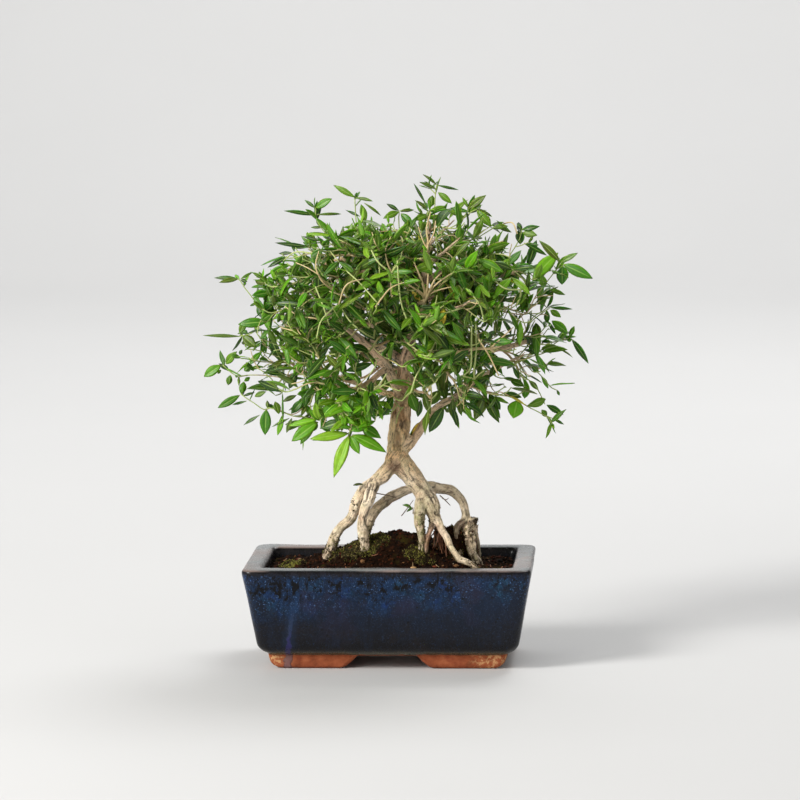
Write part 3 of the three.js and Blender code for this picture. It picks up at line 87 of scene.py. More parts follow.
# Centrelines of the roots and the trunk: x, y, z and radius, in millimetres from the pot's middle.
ROOTS = {
    "trunk": [(5.1, -2, 140.4, 8.6), (5.3, -1, 146.6, 8.2), (5.8, 0, 154.4, 7.9), (7, 0, 163.6, 7.5), (8.3, 1, 173.5, 6.9), (9.1, 1, 184.1, 6.1), (8.9, 2, 194, 5.3), (10.4, 2, 206.8, 4.5), (13.3, 3, 220.9, 4.1), (16.3, 3, 235, 3.7), (20, 2, 249.3, 3.2), (23.7, 1, 263.5, 2.7), (26, 0, 279.2, 2.3), (28.3, 0, 297.5, 1.8), (29.9, 0, 311.5, 1.3)],
    "rootA": [(5.3, -3, 145.8, 7), (1.4, -6, 140.3, 5.8), (-3.4, -9, 134.8, 4.9), (-8.7, -11, 130.1, 4.6), (-12.7, -13, 126.3, 4.4)],
    "rootA1": [(-10.6, -10, 128.6, 4), (-17.1, -8, 123.8, 4.3), (-21.2, -6, 118.5, 4.3), (-24.1, -4, 111.8, 4.1), (-26.1, -3, 104.8, 3.8), (-30.5, -3, 98.9, 3.7), (-35.8, -5, 94.6, 3.6), (-39.1, -7, 89.4, 3.7), (-41.3, -9, 82.9, 3.5), (-43.4, -11, 76.8, 3), (-45, -12, 70.6, 2.4), (-46.5, -12, 62.3, 1.6)],
    "rootA2": [(-11.3, -13, 127.7, 4.2), (-13, -16, 121.3, 4.4), (-14.7, -18, 115.3, 4.2), (-17.4, -19, 109, 3.9), (-18.7, -20, 102.8, 3.6), (-18.4, -20, 96.5, 3.5), (-17.3, -20, 90.1, 3.8), (-17, -20, 83.7, 3.4), (-17.8, -18, 75.2, 2.4)],
    "archL": [(-19.4, -8, 83.7, 3.4), (-18.2, -5, 90.5, 3.7), (-15.3, 0, 98.9, 3.8), (-11.4, 4, 105.6, 3.9), (-5.6, 6, 111.7, 3.8), (2.2, 6, 116.7, 3.6), (10.1, 4, 120.4, 3.5), (18.9, 1, 122.9, 3.6), (28, 0, 123.7, 3.7), (36.1, 1, 122.5, 3.8), (43.2, 3, 120.5, 3.8), (48.5, 4, 115.6, 3.7), (52.2, 2, 110, 3.5), (53.6, 0, 103.4, 3.5), (53.2, -2, 97.3, 4.6), (53.9, -4, 90.4, 5.2), (56.3, -8, 83.7, 4.2), (58.9, -11, 77.8, 3.2), (62.1, -14, 72.4, 2.4), (64.8, -15, 65.7, 1.6)],
    "rootC": [(6.6, -1, 145.5, 7.2), (9.7, -2, 139.3, 7.2), (14.9, -4, 133.2, 6.8), (20.1, -7, 126.8, 6.7), (24.4, -9, 121.2, 6.8), (27.7, -12, 115.7, 6.2), (30.5, -15, 110.3, 4.9), (32.9, -18, 104.8, 3.7), (35.7, -21, 100.3, 2.6), (39.2, -25, 94.6, 2.5), (42.7, -28, 88.2, 2.4), (46.5, -32, 82.5, 2.5), (50.1, -34, 77.9, 2.4), (55.6, -37, 76.1, 2.3), (62.1, -40, 72.6, 2), (66.4, -41, 67.3, 1.4)],
    "rootE": [(23.2, -12, 119.8, 4.8), (22.1, -17, 113.7, 4.4), (21.4, -21, 107.5, 4.2), (21.4, -22, 102.2, 3.9), (22.6, -23, 96.5, 2.9), (23.3, -24, 90.8, 2.2), (22.9, -24, 84.4, 1.9), (22.2, -24, 76.2, 1.5)],
    "rootF": [(31.4, -15, 107.5, 3.4), (31, -17, 101.5, 2.8), (29.3, -20, 96.5, 2.2), (27.7, -23, 91.1, 1.9), (26.5, -24, 85.3, 1.5), (25.8, -24, 78.1, 1.2)],
    "rootG": [(32.1, -12, 105.3, 3), (34.3, -12, 98, 3), (34.7, -12, 90.7, 2.8), (34.2, -12, 81.6, 2.4), (34.1, -12, 72.5, 1.8)],
    "rootH": [(53.9, 2, 100.4, 3.2), (57.4, 5, 98.1, 2.4), (59.2, 8, 91.2, 1.9), (61.1, 10, 83.6, 1.8), (61.8, 11, 77, 1.5), (62.1, 11, 68.7, 1.2)],
    "rootI": [(51.5, -5, 99.6, 2.8), (47.2, -9, 96.6, 2.4), (46.8, -11, 90.5, 2.2), (48.6, -12, 83.4, 2), (50.4, -13, 76.3, 1.6)],
}
# The limbs that leave the trunk.
LIMBS = {
    "limbRL": [(10, 0, 150.8, 4.2), (14.2, 0.8, 154.9, 3.94), (18.2, 1.7, 159.3, 3.7), (21.5, 2.3, 164.2, 3.53), (24.4, 2.9, 169.4, 3.42), (28.1, 3.4, 174.1, 3.27), (31.9, 4, 178.6, 3.1), (36.6, 4, 182.3, 2.96), (41.9, 4, 185, 2.81), (47.2, 3.9, 187.4, 2.67), (51.6, 3.2, 191.4, 2.53), (56.3, 2.6, 195.2, 2.42), (61, 2.1, 198.8, 2.32), (65.9, 0.9, 202, 2.19), (70.8, -0.5, 205.1, 2.05), (75.7, -2, 208.1, 1.92), (80.7, -3.8, 211, 1.79), (85.6, -5.6, 213.8, 1.65), (90.6, -7.8, 216.2, 1.48), (95.6, -10, 218.6, 1.3)],
    "limbRM": [(14, 3, 218, 3.2), (19.3, 5.9, 218, 3.1), (24.7, 8.8, 218, 3.01), (30.4, 10.9, 218.1, 2.92), (36.1, 13, 218.1, 2.84), (42, 14.2, 218.1, 2.76), (48.1, 14.6, 218.1, 2.69), (54.1, 14.9, 218, 2.61), (60.1, 14.1, 218.6, 2.57), (66, 12.9, 219.2, 2.53), (71.9, 11.8, 219.9, 2.47), (77.8, 10.7, 221.1, 2.32), (83.7, 9.6, 222.3, 2.17), (89.4, 8.4, 223.8, 1.98), (95.1, 7.2, 225.6, 1.74), (100.8, 6, 227.4, 1.5)],
    "limbLF": [(9, 0, 190, 4.2), (6.1, -1.8, 194.9, 4.02), (3.5, -3.6, 200, 3.84), (1.1, -5.4, 205.2, 3.66), (-1.5, -6.9, 210.4, 3.46), (-4.6, -8.2, 215.3, 3.25), (-8.7, -8.8, 219.7, 3.06), (-13, -9.5, 223.8, 2.91), (-17.4, -10.1, 227.9, 2.78), (-21.7, -10.7, 232, 2.61), (-26.1, -11.2, 236.1, 2.42), (-30.6, -11.7, 240, 2.22), (-35.2, -12.4, 243.8, 2.01), (-40.1, -13.3, 247.2, 1.77), (-45, -14.2, 250.5, 1.54), (-50.2, -15.1, 253.4, 1.32), (-55.4, -16, 256.3, 1.1)],
    "limbLL": [(8, 4, 186.6, 2.8), (2.7, 6.4, 188.1, 2.61), (-2.5, 8.8, 189.5, 2.41), (-8.1, 10.6, 190.8, 2.32), (-13.7, 12.3, 192.2, 2.24), (-19.2, 13.5, 193.9, 2.15), (-24.7, 14.3, 196, 2.06), (-30.3, 14.9, 198, 1.98), (-35.9, 14.4, 200.1, 1.88), (-41.4, 13.9, 202, 1.79), (-47.2, 12.5, 202.8, 1.67), (-52.9, 11.1, 203.7, 1.51), (-58.7, 9.7, 203.6, 1.44), (-64.5, 8.2, 203.4, 1.22), (-70.1, 6.6, 202.3, 1.06), (-75.7, 5, 200.9, 0.9)],
    "limbFL": [(-0.3, -6, 209.2, 2.6), (-2.9, -11, 208, 2.43), (-5.5, -16, 206.8, 2.27), (-8.2, -20.6, 204.8, 2.12), (-11, -24.9, 202.2, 1.99), (-13.7, -28.9, 199.3, 1.86), (-16.4, -32.1, 195.2, 1.73), (-18.9, -35.1, 191.1, 1.59), (-20.9, -36.5, 185.9, 1.5), (-22.9, -38, 180.7, 1.4), (-23.9, -39, 175.2, 1.3), (-25, -40, 169.6, 1.2)],
    "limbBL": [(11.1, 3, 212.3, 3.2), (8, 8, 213.7, 3.1), (4.8, 13, 215, 3), (1.7, 18, 216.4, 2.9), (-1.8, 22.7, 217.6, 2.78), (-5.3, 27.5, 218.8, 2.66), (-8.8, 32.3, 220, 2.54), (-12.4, 37, 221.1, 2.43), (-16.1, 41.6, 222.3, 2.31), (-19.8, 46.3, 223.5, 2.19), (-23.4, 51, 224.6, 2.07), (-27, 55.8, 225.4, 1.92), (-30.6, 60.6, 226.2, 1.77), (-34.2, 65.4, 227, 1.62), (-37.6, 70.2, 228, 1.45), (-41, 75.1, 229, 1.27), (-44.5, 80, 230.1, 1.1)],
    "limbBR": [(15.5, 4, 230.7, 3), (18.2, 9.3, 232.2, 2.9), (21, 14.6, 233.8, 2.8), (23.7, 19.9, 235.3, 2.7), (26.9, 25, 236.7, 2.58), (30, 30.1, 238.1, 2.46), (33.1, 35.2, 239.5, 2.34), (36.3, 40.3, 240.7, 2.22), (39.5, 45.5, 241.7, 2.1), (42.8, 50.6, 242.7, 1.98), (45.9, 55.8, 243.7, 1.84), (49, 61.1, 244.8, 1.68), (52, 66.3, 245.9, 1.52), (55, 71.5, 247.1, 1.35), (57.9, 76.8, 248.5, 1.17), (60.9, 82, 249.9, 1)],
    "limbF1": [(14.3, 0, 224, 2.9), (12.4, -5.2, 226.1, 2.8), (10.6, -10.3, 228.1, 2.69), (8.8, -15.5, 230.1, 2.59), (7, -20.8, 231.7, 2.46), (5.1, -26.1, 233.4, 2.34), (3.3, -31.3, 235.1, 2.22), (1.6, -36.7, 236.7, 2.1), (-0.1, -42, 238.3, 1.98), (-1.8, -47.4, 239.9, 1.86), (-3.3, -52.8, 241.4, 1.73), (-4.8, -58.2, 243, 1.6), (-6.3, -63.6, 244.5, 1.46), (-7.6, -69.1, 246.1, 1.31), (-8.8, -74.5, 247.7, 1.16), (-10, -80, 249.4, 1)],
    "limbF2": [(17.2, 0, 238.9, 2.7), (19.9, -5, 240.7, 2.61), (22.6, -9.9, 242.5, 2.51), (25.3, -14.8, 244.3, 2.42), (28.2, -19.8, 245.9, 2.31), (31.1, -24.7, 247.4, 2.2), (34.1, -29.6, 248.9, 2.08), (37, -34.6, 250.4, 1.96), (39.9, -39.5, 251.7, 1.85), (42.8, -44.5, 253, 1.73), (45.8, -49.5, 254.3, 1.61), (48.6, -54.5, 255.7, 1.49), (51.5, -59.5, 257, 1.36), (54.3, -64.5, 258.4, 1.24), (56.8, -69.7, 260, 1.12), (59.1, -74.8, 261.8, 1.01), (61.4, -80, 263.6, 0.9)],
    "limbU1": [(22.3, 1, 259.3, 2.5), (18.6, -1.3, 263.4, 2.36), (14.8, -3.6, 267.6, 2.36), (10.4, -5.5, 271.1, 2.3), (5.7, -7.3, 274.5, 2.24), (0.9, -8.8, 277.8, 2.09), (-3.9, -10.2, 281.1, 1.68), (-8.8, -11.3, 284.4, 1.55), (-13.6, -12.2, 287.9, 1.42), (-18.5, -13.1, 291.4, 1.29), (-23.4, -13.5, 294.8, 1.14), (-28.4, -14, 298.2, 1)],
    "limbU2": [(24.5, 1, 267.1, 2.3), (28.7, 3.4, 270.5, 2.16), (33, 5.8, 274, 2.01), (37.8, 7.6, 277, 1.92), (42.7, 9.3, 279.9, 1.83), (47.9, 10.6, 282.7, 1.72), (53.1, 11.4, 285.4, 1.58), (58.5, 12, 288, 1.44), (64, 12, 290.4, 1.27), (69.4, 12, 292.8, 1.1), (75, 11.5, 294.9, 1), (80.6, 11, 297, 0.9)],
    "limbU3": [(19.3, 2, 247.9, 2.4), (16.2, 7, 249.7, 2.29), (13.2, 11.9, 251.5, 2.19), (10.1, 16.9, 253.3, 2.08), (6.9, 21.7, 255.3, 1.99), (3.6, 26.4, 257.4, 1.89), (0.4, 31.2, 259.4, 1.79), (-2.7, 36, 261.5, 1.67), (-5.8, 40.9, 263.6, 1.54), (-8.8, 45.7, 265.7, 1.41), (-12.1, 50.5, 267.8, 1.27), (-15.3, 55.2, 269.8, 1.14), (-18.6, 60, 271.8, 1)],
    "limbU4": [(26.1, 0, 279.1, 1.9), (28.6, -4.9, 281.5, 1.83), (31.1, -9.8, 283.9, 1.76), (33.6, -14.6, 286.3, 1.69), (36.3, -19.4, 288.6, 1.58), (39, -24.2, 290.9, 1.48), (41.6, -29.1, 293.3, 1.38), (44, -34, 295.6, 1.27), (46.5, -38.9, 298, 1.17), (48.9, -43.9, 300.3, 1.07), (51.2, -48.9, 302.4, 0.98), (53.6, -54, 304.6, 0.9)],
    "limbU5": [(26.8, 0, 287.6, 1.7), (24.6, -4.4, 290.6, 1.63), (22.3, -8.8, 293.5, 1.55), (19.9, -13.2, 296.4, 1.47), (17.4, -17.6, 299.1, 1.36), (14.8, -22, 301.8, 1.25), (12.5, -26.6, 304.4, 1.14), (10.4, -31.3, 307, 1.02), (8.3, -36, 309.6, 0.9)],
    "limbU6": [(27.5, 1, 293.2, 1.6), (29.9, 6.3, 295.6, 1.52), (32.2, 11.7, 298.1, 1.44), (34.6, 16.9, 300.5, 1.33), (37.2, 22.1, 302.9, 1.21), (39.8, 27.4, 305.3, 1.09), (42.3, 32.7, 307.6, 1), (44.8, 38, 309.9, 0.9)],
    "limbRU": [(20.8, 2, 253.6, 2.6), (26, 2, 256.1, 2.51), (31.2, 2, 258.7, 2.42), (36.6, 1.4, 260.8, 2.3), (42.1, 0.6, 262.7, 2.19), (47.5, -0.2, 264.6, 2.08), (53, -1.3, 266.2, 1.97), (58.5, -2.4, 267.9, 1.86), (64, -3.5, 269.5, 1.75), (69.5, -4.6, 271.1, 1.64), (75.1, -5.7, 272.6, 1.54), (80.6, -6.5, 274.2, 1.4), (86.2, -7.2, 275.9, 1.25), (91.7, -8, 277.5, 1.1)],
}
SPRAYS = ["spray_top_front_left_1", "spray_top_front_left_2", "spray_top_front", "spray_top_front_right_1", "spray_top_front_right_2", "spray_top_right", "spray_top_back_right", "spray_middle_left", "spray_upper_left", "spray_upper_front_left", "spray_middle_front", "spray_upper_front_right", "spray_middle_right_1", "spray_upper_right_1", "spray_middle_right_2", "spray_upper_right_2", "spray_upper_back_right", "spray_upper_back", "spray_middle_back", "spray_top_back_left", "spray_upper_back_left", "spray_middle_back_left", "spray_lower_left_1", "spray_lower_left_2", "spray_lower_left_3", "spray_middle_front_left", "spray_lower_front_left_1", "spray_lower_front_left_2", "spray_lower_front", "spray_lower_front_right", "spray_lower_right_1", "spray_lower_right_2", "spray_middle_right_3", "spray_lower_right_3", "spray_lower_back_left_1", "spray_lower_back_left_2", "spray_lower_left_4", "spray_lower_front_left_3"]
# Twigs: number, parent (a number under 17 is a limb), spray, sprig, then the centreline.
TWIGS = [
    (17, 10, 19, -1, [(14.8, -3.6, 267.6, 0.42), (7.3, -5.8, 270.4, 0.42), (4.1, -7.1, 274.4, 0.42)]),
    (18, 8, 10, -1, [(-1.8, -47.4, 239.9, 0.42), (-4.7, -54, 240.8, 0.42), (-6.2, -59.5, 243.7, 0.42)]),
    (19, 7, 16, -1, [(55, 71.5, 247.1, 0.42), (58.9, 76.5, 248, 0.42), (61.7, 80.3, 250.9, 0.42)]),
    (20, 6, 34, -1, [(-30.6, 60.6, 226.2, 0.42), (-33.2, 65.2, 228, 0.42), (-35.9, 69.6, 230.1, 0.42)]),
    (21, 0, 17, -1, [(27.1, 0, 287.7, 0.98), (28.6, 4.9, 290.8, 0.98), (30.1, 11.1, 292.1, 0.98), (31.7, 16.6, 293.6, 0.42), (33.3, 19.3, 297.6, 0.42)]),
    (22, 9, 11, -1, [(37, -34.6, 250.4, 0.42), (41.8, -40.2, 252.4, 0.42), (45, -45.2, 256.3, 0.42)]),
    (23, 8, 10, -1, [(-7.6, -69.1, 246.1, 0.42), (-8.3, -77.2, 244.9, 0.42), (-9.2, -83.2, 246.5, 0.42)]),
    (24, 3, 7, -1, [(-50.2, -15.1, 253.4, 0.42), (-56.4, -15.3, 254.1, 0.42), (-61, -15.5, 256.6, 0.42)]),
    (25, 1, 33, -1, [(51.6, 3.2, 191.4, 0.42), (56.1, 4.7, 193.1, 0.42), (60.4, 6.6, 194.9, 0.42)]),
    (26, 9, 11, -1, [(31.1, -24.7, 247.4, 0.42), (33.6, -32.9, 245.2, 0.42), (35.2, -38.8, 246.4, 0.42)]),
    (27, 2, 32, -1, [(89.4, 8.4, 223.8, 0.42), (96, 9, 222.2, 0.42), (101.4, 10, 222.8, 0.42)]),
    (28, 9, 29, -1, [(22.6, -9.9, 242.5, 0.42), (22.8, -17.7, 241.8, 0.42), (22.9, -22.7, 243.8, 0.42)]),
    (29, 16, 15, -1, [(69.5, -4.6, 271.1, 0.42), (75.4, -1.7, 271.8, 0.42), (79.6, 0.1, 274.4, 0.42)]),
    (30, 0, 2, -1, [(26.3, 0, 281.8, 0.42), (26.1, 3.8, 284.9, 0.42), (26.3, 7.2, 288.2, 0.42)]),
    (31, 4, 35, -1, [(-2.5, 8.8, 189.5, 0.42), (-2.8, 12.4, 187.7, 0.42), (-3.3, 15.2, 187.1, 0.42)]),
    (32, 0, 35, -1, [(10.3, 2, 205.8, 0.42), (10.3, 0.2, 199.3, 0.42), (8.9, -0.7, 196.5, 0.42)]),
    (33, 6, 34, -1, [(-37.6, 70.2, 228, 0.42), (-38.7, 74, 223.6, 0.42), (-40.4, 77.1, 221.6, 0.42)]),
    (34, 9, 11, -1, [(42.8, -44.5, 253, 0.42), (48.4, -50.3, 249.3, 0.42), (52.6, -55.3, 249.1, 0.42)]),
    (35, 14, 2, -1, [(12.5, -26.6, 304.4, 0.42), (7.3, -26.8, 306.8, 0.42), (4.6, -27, 310, 0.42)]),
    (36, 2, 14, -1, [(83.7, 9.6, 222.3, 0.42), (87.6, 7.7, 227.6, 0.42), (91.2, 8, 232.5, 0.42)]),
    (37, 10, 9, -1, [(-13.6, -12.2, 287.9, 0.92), (-19.4, -10.8, 288.8, 0.92), (-24.9, -8.8, 289.1, 0.92), (-28.5, -7.9, 292, 0.42)]),
    (38, 11, 15, -1, [(42.7, 9.3, 279.9, 0.42), (48.7, 11.5, 279.3, 0.42), (54.5, 13.6, 277.8, 0.42), (58, 15, 280.1, 0.42)]),
    (39, 8, 10, -1, [(-7.6, -69.1, 246.1, 0.42), (-6.3, -72.5, 250.7, 0.42), (-6.1, -75.7, 255.3, 0.42)]),
    (40, 1, 12, -1, [(90.6, -7.8, 216.2, 0.42), (94, -11.7, 220.3, 0.42), (97.5, -15.2, 224.6, 0.42)]),
    (41, 15, 6, -1, [(37.2, 22.1, 302.9, 0.42), (41.9, 25.9, 302.9, 0.42), (46.9, 29, 302.4, 0.42), (50.1, 31.1, 304.9, 0.42)]),
    (42, 3, 7, -1, [(-45, -14.2, 250.5, 0.42), (-48.7, -19.1, 249.9, 0.42), (-51.8, -23.2, 250.9, 0.42)]),
    (43, 7, 17, -1, [(26.9, 25, 236.7, 0.42), (29.2, 25.8, 241.3, 0.42), (30.6, 26.7, 246.2, 0.42)]),
    (44, 2, 30, -1, [(66, 12.9, 219.2, 0.85), (70.4, 6.7, 217.6, 0.85), (73.4, -0.3, 215.6, 0.85), (75.7, -3.4, 218.2, 0.42)]),
    (45, 5, 26, -1, [(-13.7, -28.9, 199.3, 0.42), (-15.3, -34.2, 199.5, 0.42), (-17, -38.3, 202.1, 0.42)]),
    (46, 0, 2, -1, [(29.9, 0, 311.5, 0.42), (26.6, -3, 314.1, 0.42), (24.6, -5.4, 317, 0.42)]),
    (47, 12, 19, -1, [(-18.6, 60, 271.8, 0.42), (-20.9, 64.2, 271.7, 0.42), (-23.3, 68.1, 272.4, 0.42)]),
    (48, 11, 6, -1, [(37.8, 7.6, 277, 0.42), (39.5, 9, 282.7, 0.42), (39, 10.1, 288.7, 0.42)]),
    (49, 15, 6, -1, [(32.2, 11.7, 298.1, 0.42), (35.2, 18.6, 297.1, 0.42), (38.4, 25.7, 294.6, 0.42), (41.2, 31.9, 293.4, 0.42), (43.3, 35.7, 296.7, 0.42)]),
    (50, 15, 6, -1, [(32.2, 11.7, 298.1, 0.68), (37.3, 15.7, 296.8, 0.68), (43.2, 19.2, 293.9, 0.68), (48.3, 21.9, 292.4, 0.42), (50.7, 23.7, 295.2, 0.42)]),
    (51, 16, 15, -1, [(80.6, -6.5, 274.2, 0.42), (82.8, -10.7, 279, 0.42), (84.9, -12.4, 284, 0.42)]),
    (52, 12, 19, -1, [(0.4, 31.2, 259.4, 0.42), (-2.7, 30.5, 264.2, 0.42), (-4.6, 30.2, 269.4, 0.42)]),
    (53, 16, 13, -1, [(75.1, -5.7, 272.6, 0.42), (80.5, -11.6, 270.8, 0.42), (83.8, -16.2, 272.1, 0.42)]),
    (54, 13, 4, -1, [(46.5, -38.9, 298, 0.42), (53.4, -40.3, 298.2, 0.42), (58.5, -40.7, 300.5, 0.42)]),
    (55, 4, 36, -1, [(-52.9, 11.1, 203.7, 0.42), (-58.1, 15.3, 204.4, 0.42), (-62.9, 18.6, 206.2, 0.42)]),
    (56, 4, 35, -1, [(-19.2, 13.5, 193.9, 0.42), (-23.1, 12.2, 200.2, 0.42), (-26.3, 11.7, 206.9, 0.42)]),
    (57, 0, 19, -1, [(22.3, 1.4, 258.2, 0.42), (19.9, 5.6, 261.4, 0.42), (17.4, 9, 264.8, 0.42)]),
    (58, 7, 18, -1, [(42.8, 50.6, 242.7, 0.42), (39.6, 57.6, 241.8, 0.42), (38.4, 62.8, 242.9, 0.42)]),
    (59, 7, 35, -1, [(21, 14.6, 233.8, 0.42), (18.2, 16.6, 237.7, 0.42), (15.8, 17.6, 242.2, 0.42)]),
    (60, 13, 4, -1, [(41.6, -29.1, 293.3, 0.42), (47, -29.2, 296.2, 0.42), (51.5, -28.5, 300.2, 0.42)]),
    (61, 10, 1, -1, [(-8.8, -11.3, 284.4, 0.42), (-10.6, -16.3, 288.9, 0.42), (-12.1, -21, 293.6, 0.42)]),
    (62, 2, 33, -1, [(54.1, 14.9, 218, 0.42), (57.5, 19.8, 214.6, 0.42), (59.6, 23.8, 214.4, 0.42)]),
    (63, 11, 6, -1, [(58.5, 12, 288, 0.42), (61.3, 12.3, 294.6, 0.42), (63, 12.6, 301.7, 0.42)]),
    (64, 10, 0, -1, [(-23.4, -13.5, 294.8, 0.42), (-25.9, -20, 297.2, 0.42), (-27.6, -24.7, 301, 0.42)]),
    (65, 13, 2, -1, [(33.6, -14.6, 286.3, 0.42), (29.4, -21.4, 287.4, 0.42), (26.9, -25.5, 290.5, 0.42)]),
    (66, 13, 3, -1, [(36.3, -19.4, 288.6, 0.42), (36, -22.5, 294.8, 0.42), (35, -24.2, 301.6, 0.42)]),
    (67, 10, 1, -1, [(0.9, -8.8, 277.8, 0.42), (-2.7, -16.2, 278.9, 0.42), (-4.1, -21.6, 282.2, 0.42)]),
    (68, 12, 19, -1, [(10.1, 16.9, 253.3, 0.42), (12.8, 24.4, 254.2, 0.42), (14.6, 30.4, 256.9, 0.42)]),
    (69, 6, 34, -1, [(-8.8, 32.3, 220, 0.42), (-6.1, 40.5, 218.6, 0.42), (-5.5, 46.4, 219.4, 0.42)]),
    (70, 10, 1, -1, [(0.9, -8.8, 277.8, 1.87), (-6.7, -7.2, 278.2, 1.87), (-13.9, -4.8, 277.9, 1.87), (-17.3, -2.9, 281.3, 0.42)]),
    (71, 10, 9, -1, [(14.8, -3.6, 267.6, 0.57), (7.7, -3.5, 267.9, 0.57), (0.1, -2.4, 266.2, 0.57), (-7.1, -1, 264.3, 0.57), (-13.1, 0.2, 264.3, 0.42), (-17.1, 0.7, 268.1, 0.42)]),
    (72, 4, 22, -1, [(-64.5, 8.2, 203.4, 0.42), (-68.7, 3.8, 207.6, 0.42), (-73, -0.4, 211.8, 0.42)]),
    (73, 11, 15, -1, [(42.7, 9.3, 279.9, 0.77), (50.4, 6.6, 279.3, 0.77), (57.4, 2.7, 277.7, 0.77), (59.7, -0.1, 280.4, 0.42)]),
    (74, 14, 1, -1, [(22.3, -8.8, 293.5, 0.68), (19.6, -10.1, 298.5, 0.68), (17.3, -10.2, 303.6, 0.68), (15.9, -10.7, 309.1, 0.42)]),
    (75, 11, 16, -1, [(33, 5.8, 274, 0.85), (34.1, 10.9, 276.9, 0.85), (33.9, 16.3, 279.4, 0.85), (34, 19.5, 283.8, 0.42)]),
    (76, 14, 2, -1, [(17.4, -17.6, 299.1, 0.92), (14.3, -23.2, 296.1, 0.92), (11.6, -28.3, 292, 0.92), (11.1, -30.9, 292.9, 0.42)]),
    (77, 12, 19, -1, [(-18.6, 60, 271.8, 0.42), (-17, 62.6, 277.5, 0.42), (-16.6, 64.2, 283.4, 0.42)]),
    (78, 2, 31, -1, [(77.8, 10.7, 221.1, 0.92), (83.4, 9.1, 216.9, 0.92), (88.3, 7.6, 211.7, 0.92), (92.6, 7, 211.8, 0.42)]),
    (79, 6, 34, -1, [(-27, 55.8, 225.4, 0.57), (-29.9, 57.3, 229.4, 0.57), (-32.2, 57.8, 234.1, 0.57), (-34.1, 59.8, 238.3, 0.42)]),
    (80, 2, 32, -1, [(95.1, 7.2, 225.6, 0.57), (99.8, 4.1, 223.7, 0.57), (103.9, 0.9, 220.9, 0.42), (108.6, 0.4, 219.1, 0.42)]),
    (81, 0, 9, -1, [(17.8, 2.6, 240.8, 0.98), (13.8, -0.1, 244.9, 0.98), (8, -3.4, 247.1, 0.98), (2.1, -6.6, 248.7, 0.98), (-2.4, -9.1, 251.3, 0.42), (-4, -10.3, 256.1, 0.42)]),
    (82, 9, 11, -1, [(42.8, -44.5, 253, 0.77), (41.5, -51.2, 253.9, 0.77), (38.8, -57.3, 254.7, 0.77), (36.7, -59.7, 258.4, 0.42)]),
    (83, 12, 20, -1, [(-2.7, 36, 261.5, 0.98), (-8.6, 36.5, 261.8, 0.98), (-14.7, 35.6, 261.7, 0.98), (-18.4, 36.7, 264.1, 0.42)]),
    (84, 0, 21, -1, [(10.3, 2, 205.8, 1.09), (5.3, 4.5, 207.4, 1.09), (-0.5, 7, 206.7, 1.09), (-5.9, 9.9, 207.7, 0.42)]),
    (85, 78, 31, -1, [(88.3, 7.6, 211.7, 0.42), (91.3, 8, 203.3, 0.42), (94.6, 8.9, 200, 0.42)]),
    (86, 13, 3, -1, [(39, -24.2, 290.9, 0.42), (38.5, -29.1, 295.5, 0.42), (37, -33.1, 300.4, 0.42), (35.9, -34.8, 306.3, 0.42)]),
    (87, 9, 11, -1, [(28.2, -19.8, 245.9, 0.42), (34.4, -21.7, 247.2, 0.42), (40.8, -22.3, 248.3, 0.42), (45.6, -23.2, 251.7, 0.42)]),
    (88, 9, 11, -1, [(48.6, -54.5, 255.7, 0.42), (51.2, -57.1, 260.4, 0.42), (53.4, -58.5, 265.7, 0.42), (56.2, -59.9, 270.9, 0.42)]),
    (89, 4, 22, -1, [(-75.7, 5, 200.9, 0.68), (-80.5, 0.9, 195.7, 0.57), (-85.6, -0.9, 193.4, 0.42)]),
    (90, 4, 36, -1, [(-58.7, 9.7, 203.6, 1.14), (-64.4, 9.9, 206.6, 1.14), (-69.3, 10.8, 210.3, 1.14), (-74, 11.1, 214.8, 0.42)]),
    (91, 2, 14, -1, [(95.1, 7.2, 225.6, 0.42), (98.2, 6.1, 230.6, 0.42), (100.1, 5.4, 236.2, 0.42), (103, 5.9, 241.3, 0.42)]),
    (92, 2, 14, -1, [(83.7, 9.6, 222.3, 0.57), (87.1, 9.6, 227.9, 0.57), (88.8, 10, 234.3, 0.57), (90.5, 10.8, 240.7, 0.57), (94, 11.8, 246.2, 0.42)]),
    (93, 2, 12, -1, [(89.4, 8.4, 223.8, 0.77), (92.5, 2.3, 227.1, 0.77), (93.9, -4.4, 230.5, 0.77), (97.5, -7.7, 234.6, 0.42)]),
    (94, 4, 23, -1, [(-47.2, 12.5, 202.8, 0.92), (-50.7, 9.3, 198.1, 0.92), (-52.9, 6.1, 192.2, 0.92), (-57.1, 5.1, 190.2, 0.42)]),
    (95, 4, 24, -1, [(-35.9, 14.4, 200.1, 0.57), (-39.5, 8.8, 198.8, 0.57), (-41.4, 1.7, 196.3, 0.57), (-43.6, -4.1, 194.2, 0.42), (-48.1, -5.8, 194.1, 0.42)]),
    (96, 10, 1, -1, [(-13.6, -12.2, 287.9, 0.42), (-15.7, -10.7, 293.8, 0.42), (-16.4, -8.7, 299.7, 0.42), (-17.2, -7.4, 306.1, 0.42)]),
    (97, 73, 15, -1, [(57.4, 2.7, 277.7, 0.68), (63.2, 3.8, 277.2, 0.68), (68.5, 6.1, 276.6, 0.68), (71.8, 7.8, 279.1, 0.42)]),
    (98, 1, 33, -1, [(47.2, 3.9, 187.4, 0.57), (50.7, -0.7, 190.7, 0.57), (53, -6.2, 193.2, 0.57), (55.8, -12, 194.3, 0.42)]),
    (99, 3, 25, -1, [(-21.7, -10.7, 232, 0.42), (-28.5, -10.1, 231, 0.42), (-35.1, -9.2, 228.5, 0.42), (-40.7, -9.3, 229.6, 0.42)]),
    (100, 10, 1, -1, [(-8.8, -11.3, 284.4, 0.57), (-12.8, -7.3, 288.2, 0.57), (-15.9, -1.6, 291.3, 0.57), (-18.4, 3.4, 294.8, 0.57), (-20.9, 5.4, 300, 0.42)]),
